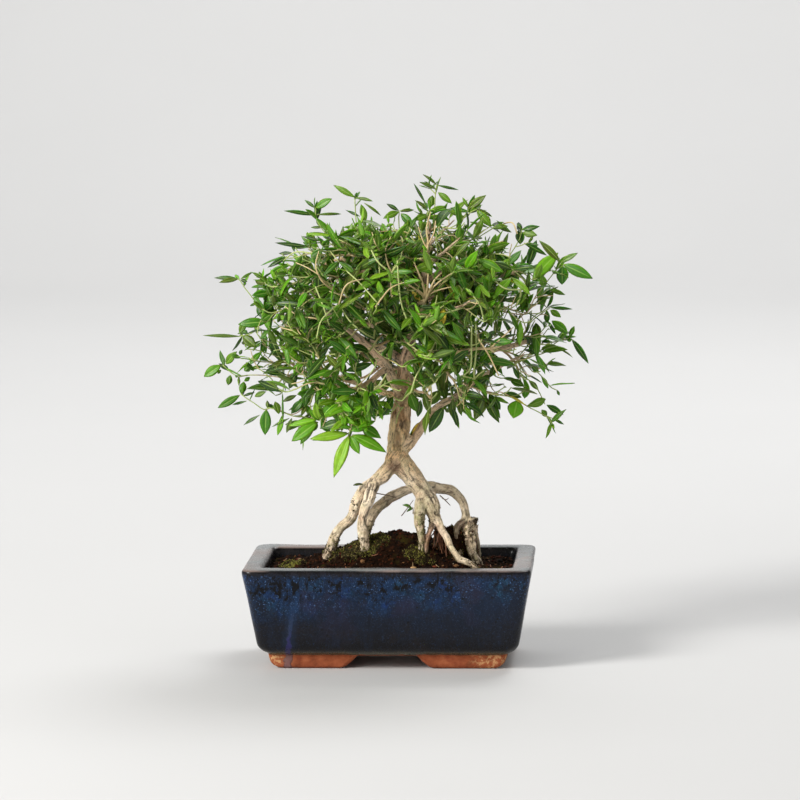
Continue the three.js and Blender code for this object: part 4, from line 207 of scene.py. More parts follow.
    (101, 16, 4, -1, [(53, -1.3, 266.2, 0.42), (56.8, -7.7, 269, 0.42), (59.1, -14.8, 271.8, 0.42), (61.6, -16.6, 276.4, 0.42)]),
    (102, 11, 15, -1, [(64, 12, 290.4, 0.68), (70.5, 16.2, 288.6, 0.68), (76.2, 21.1, 285.7, 0.68), (80.9, 23.5, 287.6, 0.42)]),
    (103, 76, 2, -1, [(11.6, -28.3, 292, 0.57), (13.8, -33.7, 290.2, 0.57), (17.1, -38.6, 289, 0.57), (18.3, -42, 291.2, 0.42)]),
    (104, 8, 25, -1, [(7, -20.8, 231.7, 0.92), (0.7, -24.1, 229.9, 0.92), (-6.1, -26.1, 227.2, 0.92), (-10.5, -28.8, 228.9, 0.42)]),
    (105, 2, 14, -1, [(66, 12.9, 219.2, 0.42), (70.1, 13.2, 224.1, 0.42), (72.7, 14.2, 229.8, 0.42), (74.7, 15.2, 235.7, 0.42), (77.2, 15.9, 241.4, 0.42), (81.3, 15.9, 246.3, 0.42)]),
    (106, 70, 20, -1, [(-13.9, -4.8, 277.9, 1.36), (-19.3, 0.1, 278.6, 1.36), (-23.9, 5.2, 279.4, 1.36), (-25.6, 7.4, 283.1, 0.42)]),
    (107, 14, 2, -1, [(12.5, -26.6, 304.4, 0.68), (12.4, -32.8, 304.2, 0.68), (12.8, -39.2, 302.6, 0.68), (14, -44.7, 301.9, 0.42), (16.2, -48.2, 304.4, 0.42)]),
    (108, 14, 1, -1, [(12.5, -26.6, 304.4, 0.57), (7.6, -31.9, 304.1, 0.57), (1.7, -37, 302.3, 0.57), (-2.9, -41.4, 301.7, 0.42), (-4, -44.3, 305, 0.42)]),
    (109, 76, 2, -1, [(11.6, -28.3, 292, 0.57), (6.7, -32.6, 291.2, 0.57), (1.6, -36.2, 291.2, 0.57), (-0.3, -38.9, 294.2, 0.42)]),
    (110, 76, 2, -1, [(11.6, -28.3, 292, 0.42), (8.5, -32.4, 287, 0.42), (5.1, -36, 280.8, 0.42), (2, -39, 276.8, 0.42), (-0.1, -41.2, 278.3, 0.42)]),
    (111, 37, 9, -1, [(-24.9, -8.8, 289.1, 0.85), (-31.4, -8.8, 289.2, 0.85), (-37.7, -9.6, 289, 0.85), (-42.2, -11.1, 291.7, 0.42)]),
    (112, 70, 8, -1, [(-13.9, -4.8, 277.9, 1.36), (-20.7, -4.6, 276.3, 1.36), (-27.6, -5.1, 273.2, 1.36), (-33.4, -5.9, 271.7, 0.42), (-37.1, -6.6, 274.4, 0.42)]),
    (113, 71, 9, -1, [(-7.1, -1, 264.3, 0.42), (-13.2, -1.4, 262.5, 0.42), (-19.7, -2.4, 259.8, 0.42), (-25.7, -3.6, 257.6, 0.42), (-30.5, -4.8, 257.4, 0.42), (-33.5, -5.9, 260.7, 0.42)]),
    (114, 3, 21, -1, [(-21.7, -10.7, 232, 0.42), (-24.4, -7.1, 235.7, 0.42), (-26.2, -2.3, 238.7, 0.42), (-27.8, 2, 242, 0.42), (-30, 4, 246.4, 0.42)]),
    (115, 112, 8, -1, [(-27.6, -5.1, 273.2, 0.85), (-31.1, -10.8, 273.2, 0.85), (-33, -17.1, 274.1, 0.85), (-34.2, -20, 277.9, 0.42)]),
    (116, 16, 13, -1, [(91.7, -8, 277.5, 0.42), (97, -9.9, 275.1, 0.42), (101.7, -12.1, 271.8, 0.42), (105.4, -14, 272.7, 0.42)]),
    (117, 16, 13, -1, [(86.2, -7.2, 275.9, 0.42), (92, -5.2, 273.7, 0.42), (97.3, -2.3, 269.9, 0.42), (102.1, 0.5, 267.3, 0.42), (106.6, 2.2, 268.8, 0.42)]),
    (118, 97, 15, -1, [(68.5, 6.1, 276.6, 0.57), (75.1, 7.2, 276.5, 0.57), (82, 7.9, 275.4, 0.57), (88.5, 8.2, 274.5, 0.42), (94.2, 8.2, 275.2, 0.42), (98.4, 7.8, 278.9, 0.42)]),
    (119, 9, 29, -1, [(39.9, -39.5, 251.7, 0.42), (41.5, -44.9, 247.9, 0.42), (42.6, -50, 242.1, 0.42), (43.2, -54.2, 238.1, 0.42), (43.4, -57.1, 239.6, 0.42)]),
    (120, 8, 10, -1, [(-4.8, -58.2, 243, 0.57), (-7.7, -61, 248.6, 0.57), (-10.4, -62.2, 254.9, 0.57), (-10.5, -64.5, 261, 0.42)]),
    (121, 8, 10, -1, [(-1.8, -47.4, 239.9, 1.04), (-6.2, -50.2, 242.4, 1.04), (-11.3, -51.7, 244.7, 1.04), (-16.4, -52.8, 247.2, 0.77), (-20.7, -54, 250.3, 0.42), (-23.3, -56.2, 254.5, 0.42)]),
    (122, 1, 33, -1, [(31.9, 4, 178.6, 0.77), (35.4, 7.8, 181.2, 0.77), (38.1, 12.5, 183, 0.77), (41.1, 16.9, 184.7, 0.42), (45.4, 19.6, 186.7, 0.42)]),
    (123, 0, 11, -1, [(24.6, 0.6, 269.9, 0.68), (24.1, -5.1, 273.2, 0.68), (23.1, -11.9, 274.3, 0.68), (22.2, -18.4, 275.7, 0.42), (22, -23.4, 279.6, 0.42)]),
    (124, 0, 11, -1, [(22.3, 1.4, 258.2, 1.24), (25.5, -4.1, 260.6, 1.24), (28.9, -10.8, 260.9, 1.24), (31.9, -16.6, 261.6, 0.42), (33.9, -19.3, 265.6, 0.42)]),
    (125, 0, 35, -1, [(15.1, 3, 229.2, 0.42), (11.3, 5.4, 233.1, 0.42), (6.2, 8.3, 235.2, 0.42), (1.5, 11.2, 237.5, 0.42), (-0.7, 13.7, 241.7, 0.42)]),
    (126, 8, 10, -1, [(-8.8, -74.5, 247.7, 0.42), (-6.3, -78.4, 252.7, 0.42), (-3, -81.1, 258.1, 0.42), (-2.2, -85.3, 262.5, 0.42)]),
    (127, 8, 10, -1, [(-6.3, -63.6, 244.5, 0.68), (-2.9, -68, 247.3, 0.68), (2.2, -71.3, 250.1, 0.68), (6.5, -74.3, 253.2, 0.42), (7.4, -77.8, 257.2, 0.42)]),
    (128, 8, 10, -1, [(-3.3, -52.8, 241.4, 0.57), (0.1, -58.2, 244, 0.57), (4.9, -62.3, 246.5, 0.57), (8.6, -65.2, 251.1, 0.42)]),
    (129, 8, 28, -1, [(-1.8, -47.4, 239.9, 0.92), (0.6, -52.3, 239.3, 0.92), (4.2, -56.4, 237.7, 0.92), (7.7, -60.4, 236.8, 0.42), (9.8, -64.8, 237.9, 0.42)]),
    (130, 127, 10, -1, [(2.2, -71.3, 250.1, 0.57), (2.8, -71.5, 255.3, 0.57), (2.1, -70.8, 260.7, 0.57), (1, -72.1, 265.6, 0.42)]),
    (131, 130, 10, -1, [(2.1, -70.8, 260.7, 0.42), (5.8, -72.4, 264.4, 0.42), (10.5, -74.1, 267.1, 0.42), (12.2, -75.3, 271.1, 0.42)]),
    (132, 128, 10, -1, [(4.9, -62.3, 246.5, 0.42), (9.1, -64.8, 249.5, 0.42), (13.5, -66.9, 252.2, 0.42), (17.2, -69, 255.3, 0.42), (19.1, -71.2, 259.6, 0.42)]),
    (133, 3, 7, -1, [(-45, -14.2, 250.5, 0.77), (-51.5, -14.1, 247.4, 0.77), (-57.3, -13.8, 242.6, 0.77), (-63, -14.7, 242, 0.42)]),
    (134, 129, 28, -1, [(4.2, -56.4, 237.7, 0.42), (10.8, -56.8, 238.1, 0.42), (17.4, -55.9, 239.2, 0.42), (21.9, -58.1, 241.3, 0.42)]),
    (135, 10, 0, -1, [(-13.6, -12.2, 287.9, 0.68), (-17.2, -18.2, 288.9, 0.68), (-19.5, -25, 289, 0.68), (-21.4, -29.6, 292.2, 0.42)]),
    (136, 123, 11, -1, [(23.1, -11.9, 274.3, 0.57), (21.4, -18.9, 273.5, 0.57), (19.2, -26.5, 271.2, 0.57), (17.1, -33.8, 268.8, 0.57), (15.2, -40.3, 267.3, 0.57), (14, -44.9, 268.2, 0.42), (13.8, -47.1, 272.5, 0.42)]),
    (137, 9, 11, -1, [(34.1, -29.6, 248.9, 0.42), (31.9, -35.8, 251, 0.42), (27.9, -41.5, 252.7, 0.42), (24.3, -46.3, 255.2, 0.42), (23.9, -49.9, 259.7, 0.42)]),
    (138, 5, 26, -1, [(-5.5, -16, 206.8, 0.42), (-8.4, -16.8, 201.2, 0.42), (-10.7, -15.9, 194.6, 0.42), (-13.3, -15.2, 189.5, 0.42), (-16.8, -16.7, 188.7, 0.42)]),
    (139, 2, 33, -1, [(60.1, 14.1, 218.6, 0.42), (63.1, 7.3, 220, 0.42), (64.2, -0.9, 221.1, 0.42), (64.8, -7.6, 223.2, 0.42), (66.9, -9.7, 227.7, 0.42)]),
    (140, 13, 4, -1, [(36.3, -19.4, 288.6, 0.77), (42.1, -21.7, 287.2, 0.77), (48.6, -22.8, 284.1, 0.77), (54.2, -23.6, 282.2, 0.42), (57.5, -25.4, 284.4, 0.42)]),
    (141, 124, 11, -1, [(28.9, -10.8, 260.9, 1.19), (33, -16.2, 262.4, 1.19), (37.1, -21.4, 264, 1.19), (41.2, -26, 265.9, 0.98), (45.4, -29.9, 268.8, 0.42), (49.5, -32.8, 273.1, 0.42)]),
    (142, 107, 2, -1, [(12.8, -39.2, 302.6, 0.42), (10.1, -45.3, 301.4, 0.42), (6.6, -50.8, 300.5, 0.42), (5.2, -54, 303.4, 0.42)]),
    (143, 109, 2, -1, [(1.6, -36.2, 291.2, 0.42), (-0.8, -42.3, 291.6, 0.42), (-2.4, -48.7, 291.2, 0.42), (-3.2, -54.7, 291.7, 0.42), (-3.4, -59.7, 294.8, 0.42)]),
    (144, 112, 8, -1, [(-27.6, -5.1, 273.2, 0.77), (-32, -9.7, 270.3, 0.77), (-35.8, -15.5, 266.5, 0.77), (-38.8, -21.4, 263.5, 0.77), (-40.9, -26.3, 262.9, 0.42), (-41.9, -29.1, 266.4, 0.42)]),
    (145, 10, 0, -1, [(-28.4, -14, 298.2, 0.57), (-33.7, -12.2, 300.6, 0.57), (-38.7, -9.8, 302.8, 0.57), (-41.8, -8.8, 306.9, 0.42)]),
    (146, 121, 10, -1, [(-16.4, -52.8, 247.2, 0.68), (-21, -57.1, 246.2, 0.68), (-24.6, -61.9, 244.2, 0.68), (-26.2, -66.4, 245.5, 0.42)]),
    (147, 121, 10, -1, [(-11.3, -51.7, 244.7, 0.77), (-18.3, -54.4, 240.6, 0.77), (-24.4, -57, 235, 0.77), (-28.8, -58.4, 235.8, 0.42)]),
    (148, 8, 10, -1, [(-0.1, -42, 238.3, 0.68), (-3.6, -47.4, 234.9, 0.68), (-7.4, -51.8, 229.6, 0.68), (-10.5, -56.1, 225.5, 0.42), (-11.7, -61.5, 225.7, 0.42)]),
    (149, 141, 11, -1, [(37.1, -21.4, 264, 0.77), (37, -27.8, 264.6, 0.77), (35.3, -34.4, 264.4, 0.77), (34, -40.3, 265.2, 0.42), (35.3, -44.2, 268.2, 0.42)]),
    (150, 4, 23, -1, [(-30.3, 14.9, 198, 0.42), (-36.1, 16.1, 196.2, 0.42), (-41.3, 17.8, 192.9, 0.42), (-46.2, 19.5, 189.3, 0.42), (-51.3, 20.9, 186.8, 0.42), (-57, 21.8, 186.8, 0.42)]),
    (151, 133, 7, -1, [(-57.3, -13.8, 242.6, 0.42), (-62.1, -15.4, 238, 0.42), (-66.4, -17.3, 233.3, 0.42), (-71, -17.9, 233.2, 0.42)]),
    (152, 108, 1, -1, [(1.7, -37, 302.3, 0.42), (-3.5, -41, 301.1, 0.42), (-9.2, -44.8, 299.4, 0.42), (-13.6, -48.3, 299.1, 0.42), (-15.4, -51, 302.3, 0.42)]),
    (153, 146, 10, -1, [(-24.6, -61.9, 244.2, 0.42), (-28, -67.4, 241, 0.42), (-31.3, -72.5, 237.5, 0.42), (-33.9, -75.8, 239, 0.42)]),
    (154, 147, 10, -1, [(-24.4, -57, 235, 0.68), (-27.3, -61.1, 231.9, 0.68), (-29.2, -65.6, 228.6, 0.68), (-30.7, -70.3, 226.4, 0.42), (-32.2, -75.2, 227, 0.42)]),
    (155, 154, 10, -1, [(-29.2, -65.6, 228.6, 0.42), (-26.9, -72.3, 227.1, 0.42), (-23.6, -78.5, 226.5, 0.42), (-23.6, -84.2, 228.4, 0.42)]),
    (156, 154, 10, -1, [(-29.2, -65.6, 228.6, 0.42), (-30.1, -69.8, 222.2, 0.42), (-30.7, -73.3, 215.7, 0.42), (-33.3, -75.7, 215.1, 0.42)]),
    (157, 5, 27, -1, [(-11, -24.9, 202.2, 1.82), (-13.4, -30.5, 201.2, 1.82), (-15.4, -36.2, 200.5, 1.82), (-17.1, -41.9, 200.2, 1.7), (-18.6, -47.6, 200.1, 1.67), (-20.2, -53.2, 200.3, 1.48), (-22.1, -58.7, 200.8, 0.98), (-24.4, -63.9, 201.4, 0.42), (-27.3, -68.9, 202.3, 0.42), (-31.1, -73.7, 203.3, 0.42)]),
    (158, 157, 26, -1, [(-17.1, -41.9, 200.2, 0.42), (-18.6, -48.8, 199.7, 0.42), (-21.1, -54.6, 200.9, 0.42)]),
    (159, 157, 27, -1, [(-22.1, -58.7, 200.8, 0.42), (-25.8, -61.1, 196.5, 0.42), (-29.5, -62.3, 191.5, 0.42), (-32, -64.6, 191.2, 0.42)]),
    (160, 157, 27, -1, [(-20.2, -53.2, 200.3, 1.19), (-26.2, -55.9, 201.2, 1.19), (-32.7, -57.2, 202.4, 1.19), (-36.3, -59.5, 205.8, 0.42)]),
    (161, 157, 27, -1, [(-22.1, -58.7, 200.8, 0.85), (-20.3, -64.3, 202, 0.85), (-17.6, -69.4, 203.3, 0.85), (-17.2, -74.7, 205, 0.42)]),
    (162, 157, 27, -1, [(-18.6, -47.6, 200.1, 0.85), (-15.2, -54, 199.8, 0.85), (-10.6, -59.6, 199.5, 0.85), (-8.8, -65.4, 201.4, 0.42)]),
    (163, 162, 27, -1, [(-10.6, -59.6, 199.5, 0.42), (-10.5, -63.8, 192.8, 0.42), (-12.3, -68.2, 188.6, 0.42)]),
    (164, 157, 28, -1, [(-15.4, -36.2, 200.5, 0.68), (-10.9, -40.5, 200.3, 0.68), (-5.3, -43.5, 200.3, 0.68), (-4, -46.5, 202.3, 0.42)]),
    (165, 161, 27, -1, [(-17.6, -69.4, 203.3, 0.57), (-13.6, -72.8, 202.4, 0.57), (-9.2, -75.6, 200.9, 0.57), (-6.7, -79.5, 200.7, 0.42)]),
    (166, 162, 27, -1, [(-10.6, -59.6, 199.5, 0.42), (-6.2, -64.3, 195, 0.42), (-2.3, -68.2, 189.4, 0.42), (-1.1, -73.4, 188.2, 0.42)]),
    (167, 157, 25, -1, [(-15.4, -36.2, 200.5, 0.42), (-18, -39.3, 204.8, 0.42), (-20.3, -40.7, 210, 0.42), (-22.2, -42.2, 215.7, 0.42)]),
    (168, 1, 30, -1, [(56.3, 2.6, 195.2, 0.77), (61.7, 1.9, 194.4, 0.77), (66.7, 1.2, 192.1, 0.68), (71.6, 0.7, 189.7, 0.42), (77.1, 0.4, 188.6, 0.42)]),
    (169, 129, 28, -1, [(4.2, -56.4, 237.7, 0.77), (9.2, -61.1, 236.3, 0.77), (14.5, -65.6, 234.5, 0.77), (18.9, -69.8, 234.3, 0.42), (20.9, -73.3, 237.6, 0.42)]),
    (170, 148, 10, -1, [(-7.4, -51.8, 229.6, 0.57), (-3.1, -56.7, 225.3, 0.57), (2.9, -61, 222.1, 0.57), (4.7, -66.1, 222.5, 0.42)]),
    (171, 162, 27, -1, [(-10.6, -59.6, 199.5, 0.57), (-5.7, -62.9, 201.5, 0.57), (-0.3, -65, 203.8, 0.57), (4.3, -67.6, 206.1, 0.42), (6.6, -72, 207.8, 0.42)]),
    (172, 2, 31, -1, [(54.1, 14.9, 218, 0.77), (59.4, 15.1, 215.1, 0.77), (63.9, 15.3, 210.8, 0.77), (68.1, 15.5, 206.2, 0.57), (72.2, 16, 202.2, 0.42), (76.8, 16.8, 199.4, 0.42), (82.1, 18.1, 198.9, 0.42)]),
    (173, 172, 31, -1, [(68.1, 15.5, 206.2, 0.42), (69.7, 18.3, 197.1, 0.42), (72.1, 21.8, 193.6, 0.42)]),
    (174, 6, 21, -1, [(-34.2, 65.4, 227, 0.92), (-39.5, 66.2, 228.9, 0.92), (-44.8, 65.4, 230.7, 0.92), (-49.7, 64.6, 233.1, 0.42), (-53.3, 65.1, 236.9, 0.42)]),
    (175, 0, 19, -1, [(25.5, 0.2, 275.8, 0.98), (20.9, 1, 279.6, 0.98), (14.8, 1.9, 281.6, 0.98), (9.4, 3.1, 283.9, 0.57), (7, 4.2, 288.2, 0.42)]),
    (176, 161, 27, -1, [(-17.6, -69.4, 203.3, 0.42), (-16.5, -76.1, 205.8, 0.42), (-15.9, -82.3, 208.3, 0.42), (-17.6, -87.2, 212.2, 0.42)]),
    (177, 0, 28, -1, [(10.3, 2, 205.8, 1.14), (14, -0.8, 202.2, 1.14), (16, -2.6, 195.6, 1.09), (17.8, -4.6, 189.4, 0.42), (21.3, -7.9, 186.8, 0.42)]),
    (178, 149, 11, -1, [(35.3, -34.4, 264.4, 0.68), (36.9, -40.5, 267.5, 0.68), (39.6, -45.6, 270.9, 0.68), (42.3, -50, 275.1, 0.42), (44.3, -53.8, 280.6, 0.42)]),
    (179, 164, 28, -1, [(-5.3, -43.5, 200.3, 0.42), (-0.4, -48.8, 199, 0.42), (4.5, -54.4, 196.2, 0.42), (9, -59.7, 193.6, 0.42), (12.9, -64.2, 193.1, 0.42), (16.1, -67.2, 196.5, 0.42)]),
    (180, 164, 28, -1, [(-5.3, -43.5, 200.3, 0.42), (0.7, -46.4, 196.4, 0.42), (6.8, -48.3, 190.5, 0.42), (11.6, -50.4, 186.3, 0.42), (13.5, -53.8, 187.4, 0.42)]),
    (181, 178, 11, -1, [(39.6, -45.6, 270.9, 0.57), (42.2, -50.6, 273.7, 0.57), (44.7, -55.6, 276, 0.57), (47.2, -60.1, 278.7, 0.42), (49.9, -63.7, 282.7, 0.42)]),
    (182, 13, 11, -1, [(41.6, -29.1, 293.3, 0.42), (45.7, -35, 291.2, 0.42), (50.1, -41, 286.8, 0.42), (54.3, -46.4, 282.5, 0.42), (57.9, -50.6, 280.7, 0.42), (60.4, -52.8, 283.9, 0.42)]),
    (183, 140, 4, -1, [(48.6, -22.8, 284.1, 0.57), (53.3, -26.1, 282.1, 0.57), (57.4, -30.1, 280.1, 0.57), (61.3, -34.1, 279.3, 0.42), (65.3, -37.1, 281.1, 0.42)]),
    (184, 95, 24, -1, [(-41.4, 1.7, 196.3, 0.42), (-42.8, -3.8, 199.6, 0.42), (-43.9, -8.1, 204.3, 0.42), (-47.4, -10.4, 208.5, 0.42)]),
    (185, 2, 32, -1, [(100.8, 6, 227.4, 0.42), (108.3, 5.8, 226.8, 0.42), (115.6, 5.7, 225.8, 0.42), (120.2, 4, 228.3, 0.42)]),
    (186, 2, 32, -1, [(95.1, 7.2, 225.6, 0.57), (100.7, 10.7, 225.1, 0.57), (105.2, 15.5, 223.5, 0.57), (109.5, 20.3, 222.7, 0.42), (114.5, 23.4, 224.3, 0.42)]),
    (187, 9, 11, -1, [(54.3, -64.5, 258.4, 0.42), (59.6, -67.3, 255.6, 0.42), (65.4, -68.8, 251.2, 0.42), (70.2, -70.2, 248.2, 0.42), (72.6, -72.6, 249.8, 0.42)]),
    (188, 9, 11, -1, [(42.8, -44.5, 253, 0.68), (48.2, -47.9, 250.7, 0.68), (53.9, -50.2, 246.7, 0.68), (59.5, -52, 242.9, 0.68), (64.5, -53.9, 241, 0.42), (68.6, -56.4, 243.1, 0.42)]),
    (189, 188, 11, -1, [(59.5, -52, 242.9, 0.42), (63.1, -57.8, 239.4, 0.42), (65.6, -64.4, 235.7, 0.42), (67.5, -70.7, 234, 0.42), (69.2, -75.7, 236.7, 0.42)]),
    (190, 188, 11, -1, [(59.5, -52, 242.9, 0.42), (64.2, -53.1, 237.3, 0.42), (68.6, -53.7, 230.7, 0.42), (72.6, -54.8, 225.9, 0.42), (76.5, -57.6, 226.1, 0.42)]),
    (191, 9, 29, -1, [(31.1, -24.7, 247.4, 0.85), (35.7, -28.9, 244, 0.85), (40.4, -32.2, 238.4, 0.85), (45, -35, 231.8, 0.68), (49.4, -37.5, 225.6, 0.57), (53.4, -39.9, 221, 0.57), (56.7, -42.5, 219.5, 0.42), (59.2, -45.6, 222.2, 0.42)]),
    (192, 0, 29, -1, [(12.6, 2.8, 217.5, 1.04), (16.8, -1.2, 220.7, 1.04), (21, -6.2, 221.8, 1.04), (25.3, -11.5, 222, 0.98), (29.7, -16.6, 222.1, 0.98), (34.4, -20.8, 223.2, 0.42), (39.3, -23.5, 226.3, 0.42)]),
    (193, 191, 29, -1, [(45, -35, 231.8, 0.42), (51.6, -33.6, 227.4, 0.42), (58.2, -31.1, 224.2, 0.42), (63.6, -30.1, 226.2, 0.42)]),
    (194, 192, 29, -1, [(29.7, -16.6, 222.1, 0.92), (34.2, -20.8, 219.1, 0.92), (38.5, -24.8, 214.1, 0.92), (42.6, -28.6, 208.8, 0.92), (46.5, -31.9, 204.5, 0.92), (50.3, -34.7, 202.9, 0.42), (54, -36.9, 205.3, 0.42)]),
    (195, 191, 29, -1, [(40.4, -32.2, 238.4, 0.57), (46.4, -33.6, 236.5, 0.57), (52.7, -34.1, 235.2, 0.57), (59, -34.7, 234.9, 0.57), (64.6, -35.9, 236, 0.42), (69.2, -38.3, 238.7, 0.42)]),
    (196, 177, 28, -1, [(16, -2.6, 195.6, 0.98), (19.2, -7.5, 193.6, 0.98), (22.4, -12.3, 192.9, 0.98), (25.5, -17.4, 193.3, 0.98), (28.4, -22.6, 194.4, 0.42), (30.9, -28.3, 195.7, 0.42)]),
    (197, 7, 16, -1, [(39.5, 45.5, 241.7, 0.77), (43.7, 48.1, 237.4, 0.77), (47.8, 49.6, 231.2, 0.77), (51.4, 50.8, 226.8, 0.42), (54.1, 52.5, 227.7, 0.42)]),
    (198, 6, 34, -1, [(-19.8, 46.3, 223.5, 0.68), (-20, 51.9, 220.3, 0.68), (-18.8, 57.2, 215.5, 0.68), (-18, 62.1, 211.9, 0.42), (-19.5, 66.2, 212.4, 0.42)]),
    (199, 90, 36, -1, [(-69.3, 10.8, 210.3, 0.68), (-75.8, 8.1, 211.6, 0.68), (-82, 4.6, 211.8, 0.68), (-87.8, 2.5, 214.4, 0.42)]),
    (200, 199, 36, -1, [(-82, 4.6, 211.8, 0.42), (-86.8, 7.4, 210.2, 0.42), (-90.5, 11.5, 207.9, 0.42), (-94.4, 14.7, 208.7, 0.42)]),
    (201, 90, 36, -1, [(-69.3, 10.8, 210.3, 0.57), (-74.3, 14.4, 209.3, 0.57), (-79, 18.7, 205.9, 0.57), (-83.2, 23.1, 202.5, 0.42), (-86.5, 26.6, 201.1, 0.42), (-88.8, 28.4, 203.8, 0.42)]),
    (202, 201, 36, -1, [(-79, 18.7, 205.9, 0.42), (-78.8, 24.4, 202, 0.42), (-77.6, 30.1, 198.3, 0.42), (-80, 33.5, 197.5, 0.42)]),
    (203, 1, 12, -1, [(95.6, -10, 218.6, 0.42), (100.2, -14.5, 219.8, 0.42), (104.2, -19.3, 220.7, 0.42), (108.5, -22.1, 223.4, 0.42)]),
    (204, 1, 31, -1, [(90.6, -7.8, 216.2, 0.42), (95.2, -12.1, 214.2, 0.42), (99, -16.8, 210.6, 0.42), (102.8, -20.8, 207.8, 0.42), (107.5, -23, 208.5, 0.42)]),
    (205, 44, 30, -1, [(73.4, -0.3, 215.6, 0.77), (77.1, -5.8, 215.8, 0.77), (80.6, -11.5, 215.6, 0.77), (84.1, -17.1, 215.4, 0.77), (87.8, -22.2, 215.3, 0.68), (91.8, -26.6, 215.8, 0.68), (96.3, -30.2, 217.1, 0.42), (101.5, -32.5, 219.4, 0.42)]),
    (206, 205, 30, -1, [(84.1, -17.1, 215.4, 0.42), (86.9, -23.7, 212.7, 0.42), (90.3, -27.8, 212.8, 0.42)]),
    (207, 205, 30, -1, [(91.8, -26.6, 215.8, 0.42), (91.2, -32.6, 215, 0.42), (89.2, -38.4, 213.9, 0.42), (90.2, -42.3, 215.1, 0.42)]),
    (208, 205, 30, -1, [(91.8, -26.6, 215.8, 0.42), (93.9, -31.3, 211.1, 0.42), (95.2, -35.4, 205.3, 0.42), (98.3, -38.3, 204.3, 0.42)]),
    (209, 194, 29, -1, [(46.5, -31.9, 204.5, 0.57), (52.7, -34.2, 202.2, 0.57), (59.4, -36, 199.3, 0.57), (66.2, -37.5, 196.7, 0.57), (72.8, -38.7, 194.8, 0.57), (78.9, -40, 194.2, 0.42), (84, -41.5, 195.7, 0.42), (87.8, -43.2, 199.7, 0.42)]),
    (210, 209, 29, -1, [(72.8, -38.7, 194.8, 0.42), (78.7, -33.6, 196, 0.42), (83.5, -31.3, 198.9, 0.42)]),
    (211, 195, 29, -1, [(59, -34.7, 234.9, 0.42), (64.9, -36.4, 233.4, 0.42), (70.4, -38.4, 230.8, 0.42), (75.7, -40.5, 228, 0.42), (80.8, -42.5, 225.8, 0.42), (86.1, -44.1, 225, 0.42), (91.6, -45.2, 226.5, 0.42)]),
    (212, 194, 29, -1, [(46.5, -31.9, 204.5, 0.68), (49.2, -35.2, 199.4, 0.68), (51.1, -38.1, 193.8, 0.68), (52.9, -41.5, 189.2, 0.42), (55.5, -46.3, 187.3, 0.42)]),
    (213, 93, 12, -1, [(93.9, -4.4, 230.5, 0.42), (96.8, -9.6, 231.8, 0.42), (99.5, -14.8, 232.1, 0.42), (102.3, -19.8, 232.1, 0.42), (105.7, -24.2, 232.6, 0.42), (109.9, -28, 234.2, 0.42)]),
    (214, 212, 29, -1, [(51.1, -38.1, 193.8, 0.57), (53.4, -43.8, 192.4, 0.57), (55.6, -49.5, 192.7, 0.57), (57, -54.6, 195.4, 0.42)]),
    (215, 168, 30, -1, [(66.7, 1.2, 192.1, 0.57), (72, -1.4, 191.1, 0.57), (77, -4.8, 190.1, 0.57), (81.8, -8.3, 189.6, 0.42), (86.5, -11.5, 189.7, 0.42), (91.1, -13.6, 190.9, 0.42), (95.9, -14.1, 193.5, 0.42)]),
    (216, 78, 31, -1, [(88.3, 7.6, 211.7, 0.68), (90.9, 5.1, 206.4, 0.68), (92.3, 2, 200.3, 0.57), (94.2, -0.2, 195.4, 0.42), (98.2, -0.3, 193.8, 0.42)]),
    (217, 82, 11, -1, [(38.8, -57.3, 254.7, 0.68), (37.1, -63.4, 255.9, 0.68), (36, -69.5, 256.6, 0.68), (35.9, -74.7, 259.5, 0.42)]),
    (218, 111, 9, -1, [(-37.7, -9.6, 289, 0.68), (-43.9, -12.7, 290, 0.68), (-49.5, -16.1, 291.1, 0.57), (-52.9, -18.5, 295, 0.42)]),
    (219, 115, 8, -1, [(-33, -17.1, 274.1, 0.77), (-38.8, -20.7, 275.8, 0.77), (-45.1, -23.1, 277.1, 0.77), (-49.2, -23.7, 281.1, 0.42)]),
    (220, 10, 0, -1, [(-28.4, -14, 298.2, 0.42), (-33.8, -17.5, 298.6, 0.42), (-39.2, -22, 297.5, 0.42), (-43.5, -25.9, 297.4, 0.42), (-45.7, -28.1, 300.8, 0.42)]),
    (221, 219, 8, -1, [(-45.1, -23.1, 277.1, 0.68), (-51.2, -23.4, 275.5, 0.68), (-57, -23.3, 272.9, 0.68), (-61.8, -23.4, 274.1, 0.42)]),
    (222, 144, 8, -1, [(-38.8, -21.4, 263.5, 0.57), (-43.4, -27, 263, 0.57), (-48.1, -32.4, 262.8, 0.57), (-52.9, -36.7, 263.9, 0.42), (-57.5, -39.4, 267.6, 0.42)]),
    (223, 144, 8, -1, [(-38.8, -21.4, 263.5, 0.42), (-40.9, -27.4, 259.9, 0.42), (-42.8, -33.7, 255, 0.42), (-44.6, -39.6, 250.7, 0.42), (-46.4, -44.4, 249, 0.42), (-48.3, -47.1, 251.9, 0.42)]),
    (224, 93, 12, -1, [(93.9, -4.4, 230.5, 0.57), (96.3, -7.7, 234.6, 0.57), (98.3, -10.5, 239, 0.57), (100.6, -13, 243.3, 0.42), (103.6, -15.3, 246.9, 0.42), (107.9, -17.5, 249.6, 0.42)]),
    (225, 74, 1, -1, [(17.3, -10.2, 303.6, 0.57), (11.8, -11.4, 305.7, 0.57), (5.3, -12.8, 306.2, 0.57), (-0.2, -14.1, 307.1, 0.42), (-3, -15, 310.8, 0.42)]),
    (226, 133, 7, -1, [(-57.3, -13.8, 242.6, 0.57), (-63, -13.3, 240.1, 0.57), (-68.7, -12.7, 236.9, 0.57), (-74.2, -11.9, 234.4, 0.42), (-79.2, -11.1, 233.8, 0.42), (-83.4, -10.3, 236.2, 0.42)]),
